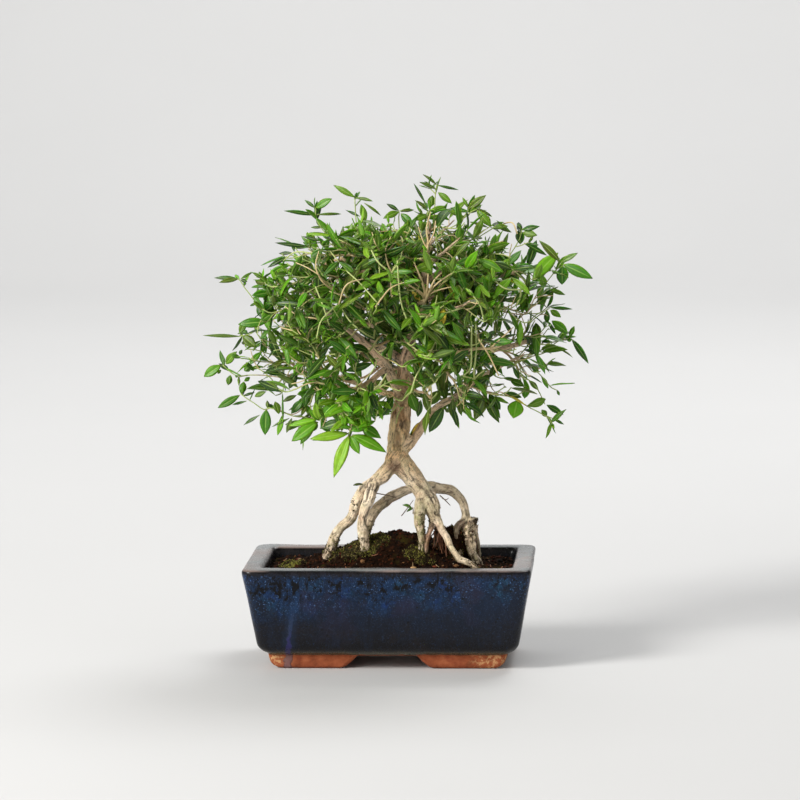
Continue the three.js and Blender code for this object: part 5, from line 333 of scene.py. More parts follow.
    (227, 140, 4, -1, [(48.6, -22.8, 284.1, 0.42), (55.1, -23.4, 284.2, 0.42), (61.4, -23.8, 284.9, 0.42), (67.1, -24.3, 286.8, 0.42), (71.9, -24.9, 290.6, 0.42)]),
    (228, 7, 18, -1, [(49, 61.1, 244.8, 0.77), (47.3, 66.9, 243, 0.77), (44, 72.2, 239.9, 0.77), (41.2, 77, 238, 0.42), (40.9, 81.2, 239.7, 0.42)]),
    (229, 7, 18, -1, [(45.9, 55.8, 243.7, 0.42), (44.2, 61.3, 246.3, 0.42), (40.9, 65.9, 248.8, 0.42), (37.6, 70.2, 251.9, 0.42), (36.2, 74.8, 255.9, 0.42)]),
    (230, 7, 18, -1, [(33.1, 35.2, 239.5, 0.92), (32.5, 40.8, 241.7, 0.92), (30.6, 46.2, 243.5, 0.92), (28.1, 51.2, 245.4, 0.92), (25.6, 56, 247.8, 0.92), (23.8, 60.4, 250.8, 0.42), (23.4, 64.5, 255, 0.42)]),
    (231, 230, 18, -1, [(25.6, 56, 247.8, 0.85), (19.5, 59.4, 246.7, 0.85), (13.1, 62, 244.6, 0.85), (10.1, 64.8, 246.5, 0.42)]),
    (232, 7, 18, -1, [(23.7, 19.9, 235.3, 1.04), (22.9, 26.3, 234.7, 1.04), (20.8, 32.9, 232.8, 1.04), (18, 39.5, 230.3, 0.85), (15.1, 45.6, 228.2, 0.85), (12.6, 50.9, 227.2, 0.85), (11.3, 55.1, 228.3, 0.42), (11.7, 57.9, 232.3, 0.42)]),
    (233, 232, 18, -1, [(12.6, 50.9, 227.2, 0.77), (9.8, 58.2, 228, 0.77), (7.2, 65.1, 229.1, 0.77), (7.5, 70.2, 232.9, 0.42)]),
    (234, 192, 29, -1, [(21, -6.2, 221.8, 0.42), (20.7, -12.7, 219.4, 0.42), (18.9, -19.3, 215.5, 0.42), (17, -24.9, 213.4, 0.42), (16.7, -28.5, 215.8, 0.42)]),
    (235, 112, 8, -1, [(-27.6, -5.1, 273.2, 0.85), (-34.4, -5.3, 272.4, 0.85), (-41.4, -5.4, 271.5, 0.85), (-48, -5.4, 271.4, 0.85), (-53.6, -5.2, 272.9, 0.42), (-57.6, -5, 277.1, 0.42)]),
    (236, 235, 8, -1, [(-48, -5.4, 271.4, 0.42), (-53.8, 0.4, 268.9, 0.42), (-57.6, 5.8, 269.8, 0.42)]),
    (237, 0, 17, -1, [(20.8, 1.8, 252.4, 0.85), (23.5, 6.9, 255.4, 0.85), (26.2, 13.5, 256.4, 0.85), (28.4, 19.4, 257.8, 0.42), (29.3, 22.3, 262.1, 0.42)]),
    (238, 231, 18, -1, [(13.1, 62, 244.6, 0.77), (6, 64, 244.7, 0.77), (-0.7, 65.6, 245.1, 0.77), (-4.3, 68.7, 248.1, 0.42)]),
    (239, 238, 18, -1, [(-0.7, 65.6, 245.1, 0.57), (-6, 69.3, 243.8, 0.57), (-10.8, 73.1, 242, 0.57), (-12.5, 76.8, 243.6, 0.42)]),
    (240, 239, 18, -1, [(-10.8, 73.1, 242, 0.42), (-15.9, 76.2, 240.3, 0.42), (-21, 78.6, 238.6, 0.42), (-24.5, 81.1, 240.2, 0.42)]),
    (241, 233, 18, -1, [(7.2, 65.1, 229.1, 0.42), (2.8, 70, 228, 0.42), (-2.7, 74, 225.3, 0.42), (-8.2, 77.6, 222.5, 0.42), (-12.6, 81.4, 221.3, 0.42), (-15.1, 85.9, 223.3, 0.42)]),
    (242, 75, 16, -1, [(33.9, 16.3, 279.4, 0.77), (37.2, 21.4, 281, 0.77), (41.5, 26.2, 281.2, 0.77), (46, 30.7, 281.3, 0.77), (49.6, 34.6, 282.6, 0.42), (51.6, 38, 286.3, 0.42)]),
    (243, 84, 21, -1, [(-0.5, 7, 206.7, 1.04), (-5.8, 8.3, 208.9, 1.04), (-10.7, 9.2, 211.5, 1.04), (-15.3, 9.7, 214.4, 1.04), (-19.8, 10.1, 217.5, 1.04), (-24.3, 10.2, 221, 0.42), (-28.8, 10.3, 224.8, 0.42)]),
    (244, 81, 9, -1, [(2.1, -6.6, 248.7, 0.92), (-1.4, -12.6, 249.2, 0.92), (-4, -19.2, 248.6, 0.92), (-5.8, -25.4, 249, 0.42), (-6.7, -29.9, 252.6, 0.42)]),
    (245, 7, 16, -1, [(52, 66.3, 245.9, 0.42), (56.9, 69.4, 242.2, 0.42), (61.8, 71.3, 236.6, 0.42), (66.4, 72.9, 232.6, 0.42), (70.2, 74.9, 233.7, 0.42)]),
    (246, 160, 27, -1, [(-32.7, -57.2, 202.4, 0.77), (-39.5, -57.7, 204, 0.77), (-46, -57.7, 205.4, 0.77), (-50.8, -58.8, 209.2, 0.42)]),
    (247, 160, 27, -1, [(-32.7, -57.2, 202.4, 0.85), (-37.4, -58, 206.5, 0.85), (-41.6, -58.2, 210.8, 0.85), (-45.1, -58.9, 215.4, 0.42), (-47.5, -61.3, 220.2, 0.42)]),
    (248, 160, 27, -1, [(-32.7, -57.2, 202.4, 0.42), (-39, -53.9, 201.5, 0.42), (-44.8, -48.5, 199.2, 0.42), (-49.8, -44.7, 197.4, 0.42), (-54, -45.8, 198.2, 0.42)]),
    (249, 181, 11, -1, [(44.7, -55.6, 276, 0.42), (41.6, -61.9, 277.1, 0.42), (36.9, -67.6, 277.6, 0.42), (34.8, -71.3, 281.3, 0.42)]),
    (250, 136, 11, -1, [(15.2, -40.3, 267.3, 0.42), (17.6, -46.9, 267.9, 0.42), (21.5, -53, 268.4, 0.42), (24.9, -58.2, 270.2, 0.42), (25.9, -61.6, 274.6, 0.42)]),
    (251, 94, 23, -1, [(-52.9, 6.1, 192.2, 0.68), (-54.7, 0.1, 187.6, 0.68), (-55.8, -6.4, 183.7, 0.68), (-60, -9, 182.4, 0.42)]),
    (252, 94, 23, -1, [(-52.9, 6.1, 192.2, 0.57), (-57.2, 4.4, 185.9, 0.57), (-61.4, 3.3, 179.8, 0.57), (-66.8, 3.6, 178.6, 0.42)]),
    (253, 183, 4, -1, [(57.4, -30.1, 280.1, 0.42), (63.3, -34.2, 275.6, 0.42), (69, -37.8, 271, 0.42), (72.7, -39.5, 272.5, 0.42)]),
    (254, 141, 11, -1, [(41.2, -26, 265.9, 0.92), (47.8, -28.9, 265, 0.92), (54.9, -31.5, 262.2, 0.92), (61.6, -33.4, 259.6, 0.92), (67.4, -34.3, 259, 0.42), (71.3, -33.9, 262.4, 0.42)]),
    (255, 107, 2, -1, [(12.8, -39.2, 302.6, 0.42), (13.2, -45.5, 299.9, 0.42), (13.3, -51.7, 296.1, 0.42), (13.4, -57.6, 292.8, 0.42), (13.5, -63, 291.5, 0.42), (13.7, -67.7, 293.9, 0.42)]),
    (256, 103, 2, -1, [(17.1, -38.6, 289, 0.42), (21.2, -44.5, 289.7, 0.42), (25.7, -50.2, 290.1, 0.42), (29.4, -55.2, 291.7, 0.42), (30.9, -59.1, 296, 0.42)]),
    (257, 228, 18, -1, [(44, 72.2, 239.9, 0.57), (40.7, 76.8, 233.7, 0.57), (37.7, 81, 227.2, 0.57), (37.7, 85.2, 226.8, 0.42)]),
    (258, 257, 18, -1, [(37.7, 81, 227.2, 0.42), (37, 79.1, 219.6, 0.42), (35.8, 78.8, 216.6, 0.42)]),
    (259, 197, 16, -1, [(47.8, 49.6, 231.2, 0.42), (49.9, 55, 226.9, 0.42), (51.6, 61.3, 222.5, 0.42), (52.6, 67.7, 219.2, 0.42), (52.3, 73.5, 218.3, 0.42), (50.5, 78, 220.8, 0.42)]),
    (260, 232, 18, -1, [(20.8, 32.9, 232.8, 0.68), (22.4, 38.8, 229.2, 0.68), (24.8, 44.5, 224.6, 0.68), (27.8, 49.6, 220.1, 0.68), (31.2, 54.3, 216.7, 0.68), (35, 58.4, 215.6, 0.42), (39, 61.8, 217.9, 0.42)]),
    (261, 260, 18, -1, [(31.2, 54.3, 216.7, 0.42), (37.9, 55, 212.8, 0.42), (44.8, 53.7, 208.4, 0.42), (51.1, 53, 205.7, 0.42), (55.8, 55.6, 206.7, 0.42)]),
    (262, 197, 16, -1, [(47.8, 49.6, 231.2, 0.57), (54.4, 49.6, 227.3, 0.57), (61.1, 49.4, 224.5, 0.57), (66.9, 51.8, 224.8, 0.42)]),
    (263, 228, 18, -1, [(44, 72.2, 239.9, 0.42), (40.2, 77.4, 239.3, 0.42), (35.9, 82.6, 239.1, 0.42), (33, 87.2, 240.1, 0.42), (33.5, 91, 243, 0.42)]),
    (264, 12, 17, -1, [(-18.6, 60, 271.8, 0.42), (-17.8, 67.1, 271.8, 0.42), (-15.7, 73.9, 271.2, 0.42), (-14.2, 78.9, 274.2, 0.42)]),
    (265, 238, 18, -1, [(-0.7, 65.6, 245.1, 0.42), (-3.3, 69.3, 248.6, 0.42), (-4.9, 73, 252.3, 0.42), (-5.5, 76.8, 256.2, 0.42), (-5.5, 81, 260.2, 0.42)]),
    (266, 83, 20, -1, [(-14.7, 35.6, 261.7, 0.57), (-18.4, 34, 267.1, 0.57), (-20.5, 32.1, 273.1, 0.57), (-22.6, 32.5, 279.3, 0.42)]),
    (267, 161, 27, -1, [(-17.6, -69.4, 203.3, 0.42), (-14.3, -72.9, 206.8, 0.42), (-10.5, -75.4, 210.5, 0.42), (-6.8, -77.5, 214.4, 0.42), (-4, -79.9, 218.6, 0.42), (-3, -83.2, 223, 0.42)]),
    (268, 165, 27, -1, [(-9.2, -75.6, 200.9, 0.42), (-5, -79.3, 202.4, 0.42), (-0.8, -82.5, 204.5, 0.42), (2.4, -85.9, 207, 0.42), (3.5, -90.2, 209.9, 0.42)]),
    (269, 171, 27, -1, [(-0.3, -65, 203.8, 0.42), (4.2, -69, 203.6, 0.42), (8.4, -73.1, 202.3, 0.42), (11.8, -77.5, 201.6, 0.42), (13.9, -82.3, 203, 0.42)]),
    (270, 7, 16, -1, [(39.5, 45.5, 241.7, 0.42), (46.5, 47.3, 241.7, 0.42), (54.2, 47.4, 240.9, 0.42), (60.9, 47.5, 241.3, 0.42), (65.1, 49.8, 244.5, 0.42)]),
    (271, 198, 34, -1, [(-18.8, 57.2, 215.5, 0.57), (-15.4, 61.7, 209.5, 0.57), (-11.6, 65.7, 203.9, 0.57), (-10.6, 70.5, 203.5, 0.42)]),
    (272, 6, 34, -1, [(-1.8, 22.7, 217.6, 1.19), (-2.7, 29.7, 215.3, 1.19), (-2.7, 36.6, 211.2, 1.19), (-1.9, 43.2, 207.4, 0.68), (-0.7, 49.1, 205.8, 0.42), (0.9, 54, 208.3, 0.42)]),
    (273, 272, 34, -1, [(-2.7, 36.6, 211.2, 1.04), (-6, 40.7, 207.7, 1.04), (-10.5, 43.8, 203.6, 1.04), (-15.4, 46.4, 199.7, 1.04), (-20, 49.2, 196.7, 1.04), (-23.5, 52.7, 195.3, 0.42), (-25.3, 57.6, 196.3, 0.42)]),
    (274, 273, 34, -1, [(-20, 49.2, 196.7, 0.92), (-26, 50.2, 194.8, 0.92), (-32, 50.6, 193.4, 0.92), (-36.3, 53.5, 194, 0.42)]),
    (275, 4, 34, -1, [(-13.7, 12.3, 192.2, 0.57), (-18.4, 15.8, 191.9, 0.57), (-22.6, 19.9, 190.7, 0.57), (-26.4, 24.1, 189.1, 0.57), (-30, 28.4, 187.7, 0.57), (-33.6, 32.6, 186.8, 0.57), (-37.3, 36.6, 187.2, 0.42), (-41.2, 40, 189.3, 0.42)]),
    (276, 274, 34, -1, [(-32, 50.6, 193.4, 0.85), (-37.7, 52, 194.3, 0.85), (-43.1, 53.3, 195.6, 0.85), (-48, 55.7, 197.6, 0.42)]),
    (277, 276, 34, -1, [(-43.1, 53.3, 195.6, 0.42), (-46.9, 57.2, 198.3, 0.42), (-49.7, 61.4, 201.2, 0.42), (-52.7, 65.7, 204.4, 0.42)]),
    (278, 276, 34, -1, [(-43.1, 53.3, 195.6, 0.68), (-48, 52.2, 201.2, 0.68), (-51.6, 50.2, 207.3, 0.68), (-54.5, 51.9, 212.8, 0.42)]),
    (279, 278, 34, -1, [(-51.6, 50.2, 207.3, 0.42), (-59.6, 49.9, 207.3, 0.42), (-66, 51.6, 208.2, 0.42)]),
    (280, 275, 34, -1, [(-33.6, 32.6, 186.8, 0.42), (-39.1, 35.8, 187.5, 0.42), (-45, 38.1, 188, 0.42), (-50.8, 40.1, 188.8, 0.42), (-56.3, 42, 190.1, 0.42), (-60.9, 44.3, 192.5, 0.42), (-64.4, 47.2, 196.3, 0.42)]),
    (281, 273, 34, -1, [(-20, 49.2, 196.7, 0.42), (-24.2, 53.9, 195.3, 0.42), (-28.7, 58.8, 193.5, 0.42), (-32.9, 63.8, 192, 0.42), (-36.3, 68.7, 191.6, 0.42), (-38.6, 73.1, 192.8, 0.42), (-39.1, 77, 196.3, 0.42)]),
    (282, 174, 21, -1, [(-44.8, 65.4, 230.7, 0.57), (-51.6, 62.1, 226.7, 0.57), (-57.4, 58.7, 221.1, 0.57), (-62.3, 59.8, 220.5, 0.42)]),
    (283, 282, 21, -1, [(-57.4, 58.7, 221.1, 0.42), (-62.9, 55.4, 221, 0.42), (-67.8, 52, 222.1, 0.42), (-72, 51.5, 225.1, 0.42)]),
    (284, 278, 34, -1, [(-51.6, 50.2, 207.3, 0.42), (-53.7, 48.3, 214.1, 0.42), (-55, 45.5, 221, 0.42), (-56.8, 43.8, 227.2, 0.42), (-60.5, 45.1, 231.9, 0.42)]),
    (285, 174, 21, -1, [(-44.8, 65.4, 230.7, 0.57), (-50.9, 62.4, 231.8, 0.57), (-57, 58.3, 232.1, 0.57), (-62.8, 54.5, 232.4, 0.42), (-67.9, 52.3, 233.8, 0.42), (-72, 53.3, 237.3, 0.42)]),
    (286, 174, 21, -1, [(-44.8, 65.4, 230.7, 0.42), (-51.3, 64.4, 233.2, 0.42), (-57.8, 63.2, 235.4, 0.42), (-63.6, 63, 238.1, 0.42), (-67.9, 65.3, 241.9, 0.42)]),
    (287, 285, 21, -1, [(-57, 58.3, 232.1, 0.42), (-61.3, 53.6, 230.5, 0.42), (-65.1, 48, 228, 0.42), (-68.7, 42.9, 225.7, 0.42), (-72.5, 39.6, 224.6, 0.42), (-77, 39.5, 226.1, 0.42)]),
    (288, 104, 25, -1, [(-6.1, -26.1, 227.2, 0.85), (-11.8, -27.1, 225.6, 0.85), (-17.4, -27.6, 223.4, 0.85), (-22.7, -27.8, 222.3, 0.42), (-27.4, -27.9, 224.2, 0.42)]),
    (289, 50, 6, -1, [(43.2, 19.2, 293.9, 0.57), (49, 22.6, 292.1, 0.57), (55.4, 26.1, 289.6, 0.57), (61.6, 29.6, 287.4, 0.57), (66.9, 33.1, 286.2, 0.57), (70.3, 36.4, 287, 0.42), (71, 39.6, 290.6, 0.42)]),
    (290, 242, 16, -1, [(46, 30.7, 281.3, 0.68), (51.7, 33.9, 279.2, 0.68), (58, 36.7, 275.8, 0.68), (63.2, 38.9, 274, 0.42), (65.6, 40.6, 276.7, 0.42)]),
    (291, 11, 16, -1, [(33, 5.8, 274, 1.04), (38.8, 9.4, 272.6, 1.04), (44.7, 13.4, 268.9, 1.04), (50.4, 17.3, 264.4, 1.04), (55.3, 20.9, 261, 1.04), (59, 24, 260.2, 0.42), (60.9, 26.2, 263.7, 0.42)]),
    (292, 290, 16, -1, [(58, 36.7, 275.8, 0.57), (60.4, 42.2, 273.9, 0.57), (61.7, 48.2, 272.6, 0.57), (63.9, 52, 274.6, 0.42)]),
    (293, 291, 16, -1, [(55.3, 20.9, 261, 0.57), (60, 25.4, 260.6, 0.57), (64.5, 30, 260.6, 0.57), (68.5, 34.1, 262, 0.42), (71.2, 37.1, 265.9, 0.42)]),
    (294, 291, 16, -1, [(55.3, 20.9, 261, 0.77), (61.4, 21.3, 258.6, 0.77), (67.9, 20.7, 256, 0.77), (73.3, 19.7, 255, 0.42), (76.5, 18.9, 257.9, 0.42)]),
    (295, 237, 17, -1, [(26.2, 13.5, 256.4, 0.77), (29.3, 19.1, 256.8, 0.77), (32.5, 24.9, 256.3, 0.77), (35.9, 30.7, 255.5, 0.77), (39.2, 36, 255.1, 0.68), (42.4, 40.6, 255.7, 0.68), (45.4, 44.2, 257.8, 0.42), (48.1, 46.5, 261.9, 0.42)]),
    (296, 295, 17, -1, [(35.9, 30.7, 255.5, 0.42), (36.2, 35.1, 260.2, 0.42), (37, 38.7, 265.4, 0.42)]),
    (297, 244, 9, -1, [(-4, -19.2, 248.6, 0.42), (-9.4, -24.7, 244.9, 0.42), (-15.2, -29.1, 240.9, 0.42), (-19.3, -31.7, 242.8, 0.42)]),
    (298, 214, 29, -1, [(55.6, -49.5, 192.7, 0.42), (56.3, -55.9, 194.8, 0.42), (56.5, -62, 197.1, 0.42), (57.2, -67.9, 200.3, 0.42)]),
    (299, 191, 29, -1, [(53.4, -39.9, 221, 0.42), (56.6, -44.7, 216.1, 0.42), (59.1, -49.7, 210.6, 0.42), (61.2, -54.9, 207.1, 0.42), (63.3, -60.5, 207.8, 0.42)]),
    (300, 177, 28, -1, [(16, -2.6, 195.6, 0.42), (13.8, -7.9, 191.9, 0.42), (10.3, -13.4, 189.2, 0.42), (7.3, -19, 188.3, 0.42), (6.7, -24.7, 190.1, 0.42)]),
    (301, 289, 6, -1, [(66.9, 33.1, 286.2, 0.42), (69.6, 40.2, 285.8, 0.42), (71.2, 47.6, 285.5, 0.42), (74.4, 51.5, 288.3, 0.42)]),
    (302, 16, 13, -1, [(58.5, -2.4, 267.9, 0.42), (63.8, -5.7, 265.3, 0.42), (68.8, -9.7, 260.7, 0.42), (73.2, -13.5, 256.3, 0.42), (76.8, -16.3, 254.2, 0.42), (79.4, -17.2, 256.8, 0.42)]),
    (303, 16, 13, -1, [(58.5, -2.4, 267.9, 0.57), (65, -2.7, 264.1, 0.57), (71.2, -2.5, 257.6, 0.57), (76.8, -2.2, 251.4, 0.57), (81.1, -2.1, 248.2, 0.57), (83.6, -2.7, 250.7, 0.42)]),
    (304, 196, 28, -1, [(25.5, -17.4, 193.3, 0.92), (27.5, -23.3, 193.5, 0.92), (28.9, -29.4, 193.1, 0.92), (30.1, -35.4, 192.6, 0.92), (31.3, -41.3, 192.2, 0.92), (32.6, -46.8, 192.7, 0.92), (34.4, -51.7, 194.2, 0.42), (36.9, -55.8, 197.4, 0.42)]),
    (305, 304, 28, -1, [(32.6, -46.8, 192.7, 0.42), (32.7, -53.2, 190.7, 0.42), (32.1, -59.2, 187.8, 0.42), (31.1, -65.6, 186.8, 0.42)]),
    (306, 106, 20, -1, [(-23.9, 5.2, 279.4, 0.85), (-26.3, 12, 281.9, 0.85), (-27.9, 18.6, 284.2, 0.85), (-30.1, 22.1, 289, 0.42)]),
    (307, 106, 20, -1, [(-23.9, 5.2, 279.4, 1.09), (-28.1, 8, 282.2, 1.09), (-32.5, 10.4, 284.8, 1.09), (-36.2, 12.3, 288, 0.42), (-38, 13.7, 292.5, 0.42)]),
    (308, 306, 20, -1, [(-27.9, 18.6, 284.2, 0.77), (-31, 24.2, 285.6, 0.77), (-34.3, 29.5, 286.5, 0.77), (-37, 32.5, 289.9, 0.42)]),
    (309, 308, 20, -1, [(-34.3, 29.5, 286.5, 0.42), (-39.8, 30.3, 284.4, 0.42), (-45.3, 29.8, 281.5, 0.42), (-49.2, 29.8, 282.6, 0.42)]),
    (310, 83, 20, -1, [(-14.7, 35.6, 261.7, 0.77), (-20.8, 36.2, 263.9, 0.77), (-26.9, 36.8, 265.9, 0.77), (-32.8, 37.5, 267.9, 0.68), (-38.1, 38.4, 270.5, 0.68), (-42.6, 39.6, 274, 0.42), (-46, 41.3, 278.8, 0.42)]),
    (311, 307, 20, -1, [(-32.5, 10.4, 284.8, 1.04), (-39.5, 14, 283.3, 1.04), (-46.1, 17.2, 280.6, 1.04), (-51.4, 17.6, 282.2, 0.42)]),
    (312, 311, 20, -1, [(-46.1, 17.2, 280.6, 0.68), (-51.3, 18.4, 277.4, 0.68), (-56.1, 19.4, 274, 0.68), (-60.2, 20.4, 274.6, 0.42)]),
    (313, 308, 20, -1, [(-34.3, 29.5, 286.5, 0.57), (-35.7, 35.4, 286.2, 0.57), (-36.5, 41.2, 285.3, 0.57), (-37.3, 45.3, 287.6, 0.42)]),
    (314, 313, 20, -1, [(-36.5, 41.2, 285.3, 0.42), (-39.3, 44.9, 288.1, 0.42), (-42.6, 47.4, 291.2, 0.42), (-46.4, 48.7, 294.9, 0.42)]),
    (315, 12, 19, -1, [(-18.6, 60, 271.8, 0.42), (-23.6, 61.7, 275.2, 0.42), (-28.8, 62, 278.6, 0.42), (-33.7, 62, 282.4, 0.42), (-38.2, 62.7, 287, 0.42)]),
    (316, 12, 20, -1, [(-18.6, 60, 271.8, 0.42), (-24.3, 63.6, 271.5, 0.42), (-30.4, 66.3, 270, 0.42), (-36.2, 68.8, 269.4, 0.42), (-41, 71.6, 271.7, 0.42)]),
    (317, 79, 34, -1, [(-32.2, 57.8, 234.1, 0.42), (-31.6, 60, 241, 0.42), (-30.1, 62.2, 247.7, 0.42), (-31.6, 63.7, 253.9, 0.42)]),
    (318, 311, 20, -1, [(-46.1, 17.2, 280.6, 0.42), (-49.7, 20.6, 283, 0.42), (-52.1, 24.2, 286.1, 0.42), (-54.4, 27.5, 289.6, 0.42), (-57.7, 29.9, 293.2, 0.42)]),
    (319, 310, 20, -1, [(-26.9, 36.8, 265.9, 0.42), (-32.4, 40.2, 264.1, 0.42), (-37.5, 44.2, 260.8, 0.42), (-41.6, 48.2, 258.8, 0.42), (-44.1, 51.3, 261.1, 0.42)]),
    (320, 311, 20, -1, [(-46.1, 17.2, 280.6, 0.68), (-52.5, 17.9, 282.5, 0.68), (-58.7, 18.1, 284.8, 0.68), (-63.8, 18, 288.2, 0.42), (-67.1, 17.7, 293.4, 0.42)]),
    (321, 320, 20, -1, [(-58.7, 18.1, 284.8, 0.42), (-59.7, 12.5, 287.3, 0.42), (-60.5, 8.5, 290.7, 0.42)]),
    (322, 320, 20, -1, [(-58.7, 18.1, 284.8, 0.42), (-63.9, 15.2, 282.8, 0.42), (-68.4, 11.8, 279.8, 0.42), (-71.9, 10.3, 280.9, 0.42)]),
    (323, 312, 20, -1, [(-56.1, 19.4, 274, 0.42), (-61.3, 21.8, 274.7, 0.42), (-65.9, 24.4, 276, 0.42), (-70.3, 27.1, 277.9, 0.42), (-74.5, 30, 280.6, 0.42)]),
    (324, 310, 20, -1, [(-38.1, 38.4, 270.5, 0.57), (-44.4, 38.5, 272.5, 0.57), (-50.9, 38, 273.6, 0.57), (-57.1, 37.5, 274.7, 0.42), (-62.6, 37.8, 276.7, 0.42), (-66.7, 39.6, 280.5, 0.42)]),
    (325, 324, 20, -1, [(-50.9, 38, 273.6, 0.42), (-56.1, 42.7, 271.4, 0.42), (-60.1, 47.5, 271.8, 0.42)]),
    (326, 312, 20, -1, [(-56.1, 19.4, 274, 0.42), (-61.4, 20.9, 271.2, 0.42), (-66.6, 22.8, 267.3, 0.42), (-71.6, 24.4, 264, 0.42), (-76.3, 25.6, 262.6, 0.42), (-80.6, 25.7, 264.5, 0.42)]),
    (327, 235, 8, -1, [(-48, -5.4, 271.4, 0.68), (-53.8, -2.8, 268.5, 0.68), (-59, 0.5, 263.7, 0.68), (-63.6, 4, 258.6, 0.68), (-68, 7.5, 254.5, 0.68), (-72, 10.6, 253, 0.42), (-75.9, 12.9, 255.6, 0.42)]),
    (328, 243, 21, -1, [(-19.8, 10.1, 217.5, 0.98), (-24.9, 10.9, 221.3, 0.98), (-29.8, 11.8, 224.9, 0.98), (-34.6, 12.6, 228.4, 0.98), (-39.3, 13.6, 231.8, 0.98), (-43.9, 14.6, 235.2, 0.92), (-48.4, 15.8, 238.7, 0.85), (-52.9, 17.2, 242.3, 0.85), (-57.4, 18.8, 246.2, 0.42), (-61.9, 20.7, 250.3, 0.42)]),
    (329, 328, 21, -1, [(-43.9, 14.6, 235.2, 0.42), (-46.7, 17.9, 239.2, 0.42), (-49.5, 20.1, 243.4, 0.42)]),
    (330, 328, 21, -1, [(-39.3, 13.6, 231.8, 0.42), (-44.9, 9.4, 231.6, 0.42), (-50.1, 6.4, 232.5, 0.42)]),
    (331, 328, 21, -1, [(-52.9, 17.2, 242.3, 0.68), (-58.8, 19.5, 244.5, 0.68), (-64.7, 22.5, 245.8, 0.68), (-70.5, 25, 246.9, 0.68), (-76, 26.1, 248.4, 0.42), (-81.2, 24.8, 251, 0.42)]),
    (332, 328, 21, -1, [(-52.9, 17.2, 242.3, 0.42), (-55.1, 22.2, 245.3, 0.42), (-56, 28.1, 247.6, 0.42), (-57.1, 33.4, 250.1, 0.42), (-59.9, 36.4, 253.7, 0.42)]),
    (333, 327, 8, -1, [(-68, 7.5, 254.5, 0.57), (-74.6, 7.2, 251.6, 0.57), (-81.1, 5.8, 249.4, 0.57), (-85.9, 6.5, 251.2, 0.42)]),
    (334, 266, 20, -1, [(-20.5, 32.1, 273.1, 0.42), (-20.1, 34.6, 278, 0.42), (-18.9, 38.1, 282.1, 0.42), (-17.8, 41.5, 286.2, 0.42), (-17.5, 43.6, 291.1, 0.42)]),
    (335, 175, 19, -1, [(14.8, 1.9, 281.6, 0.85), (10.2, 6.1, 283.1, 0.85), (5.8, 11.1, 283.7, 0.85), (1.8, 16.6, 283.9, 0.57), (-1.7, 22, 284.5, 0.57), (-4.4, 27, 285.8, 0.57), (-6.1, 31.3, 288.5, 0.42), (-6.7, 34.5, 293.1, 0.42)]),
    (336, 0, 17, -1, [(24.6, 0.6, 269.9, 1.19), (22, 4.7, 273.6, 1.19), (18.2, 9.7, 275.3, 1.19), (14.4, 15, 276.3, 1.19), (11.6, 19.9, 278.1, 0.42), (10.9, 23.9, 282.1, 0.42)]),
    (337, 335, 19, -1, [(5.8, 11.1, 283.7, 0.68), (2.8, 14.2, 287.4, 0.68), (0.3, 16.5, 291.9, 0.68), (-1.8, 18.2, 296.7, 0.42), (-4.1, 19.7, 302, 0.42)]),
    (338, 335, 19, -1, [(-4.4, 27, 285.8, 0.42), (-5.4, 33.9, 286.6, 0.42), (-5.9, 41.1, 286.4, 0.42), (-6.2, 47.2, 287.3, 0.42), (-6.7, 50.4, 291.4, 0.42)]),
    (339, 15, 6, -1, [(32.2, 11.7, 298.1, 0.57), (38.3, 13.2, 300.4, 0.57), (45, 13.1, 302, 0.57), (50.9, 12.2, 304.4, 0.57), (54.1, 10.9, 309.1, 0.42)]),
    (340, 254, 11, -1, [(61.6, -33.4, 259.6, 0.42), (67.8, -34.4, 255.1, 0.42), (73.7, -35.1, 249.4, 0.42), (79, -36.1, 245.5, 0.42), (83.9, -38.3, 246.5, 0.42)]),
    (341, 254, 11, -1, [(61.6, -33.4, 259.6, 0.68), (68.3, -34.7, 257.9, 0.68), (75, -35.8, 255.6, 0.68), (81.5, -36.9, 253.9, 0.68), (87.2, -38.3, 253.9, 0.42), (91.8, -40.3, 257, 0.42)]),
    (342, 254, 11, -1, [(61.6, -33.4, 259.6, 0.42), (66.4, -37.4, 257.5, 0.42), (70.6, -42, 254.7, 0.42), (74.3, -46.7, 252.4, 0.42), (77.6, -51.3, 252, 0.42), (80.5, -55.4, 254.5, 0.42)]),
    (343, 186, 32, -1, [(105.2, 15.5, 223.5, 0.42), (104.9, 22.6, 224.8, 0.42), (103, 29.3, 226.9, 0.42), (103.9, 34.7, 230.4, 0.42)]),
    (344, 2, 32, -1, [(71.9, 11.8, 219.9, 0.77), (77.4, 14.6, 219.3, 0.77), (82.2, 18.7, 217.7, 0.77), (86.6, 23.6, 215.7, 0.68), (90.8, 28.4, 213.9, 0.42), (94.9, 32.3, 212.9, 0.42), (99.1, 34.8, 213.4, 0.42), (103.6, 34.9, 215.8, 0.42)]),
    (345, 344, 32, -1, [(86.6, 23.6, 215.7, 0.42), (87, 29.7, 217.6, 0.42), (87.4, 35, 221.1, 0.42)]),
    (346, 172, 31, -1, [(63.9, 15.3, 210.8, 0.57), (68.4, 20, 209, 0.57), (72.1, 26.1, 208.3, 0.57), (76, 31.2, 208.7, 0.42), (81.2, 32.9, 210.3, 0.42)]),
    (347, 346, 31, -1, [(72.1, 26.1, 208.3, 0.42), (76.5, 31.5, 207.3, 0.42), (81.1, 36.9, 205.7, 0.42), (85.5, 41.2, 205.4, 0.42), (89.6, 43, 208.4, 0.42)]),
    (348, 344, 32, -1, [(82.2, 18.7, 217.7, 0.42), (85.1, 23.8, 219.2, 0.42), (87.2, 28.8, 221.3, 0.42), (89, 33.5, 224.1, 0.42), (91, 37.5, 227.6, 0.42), (93.8, 40.3, 231.8, 0.42)]),
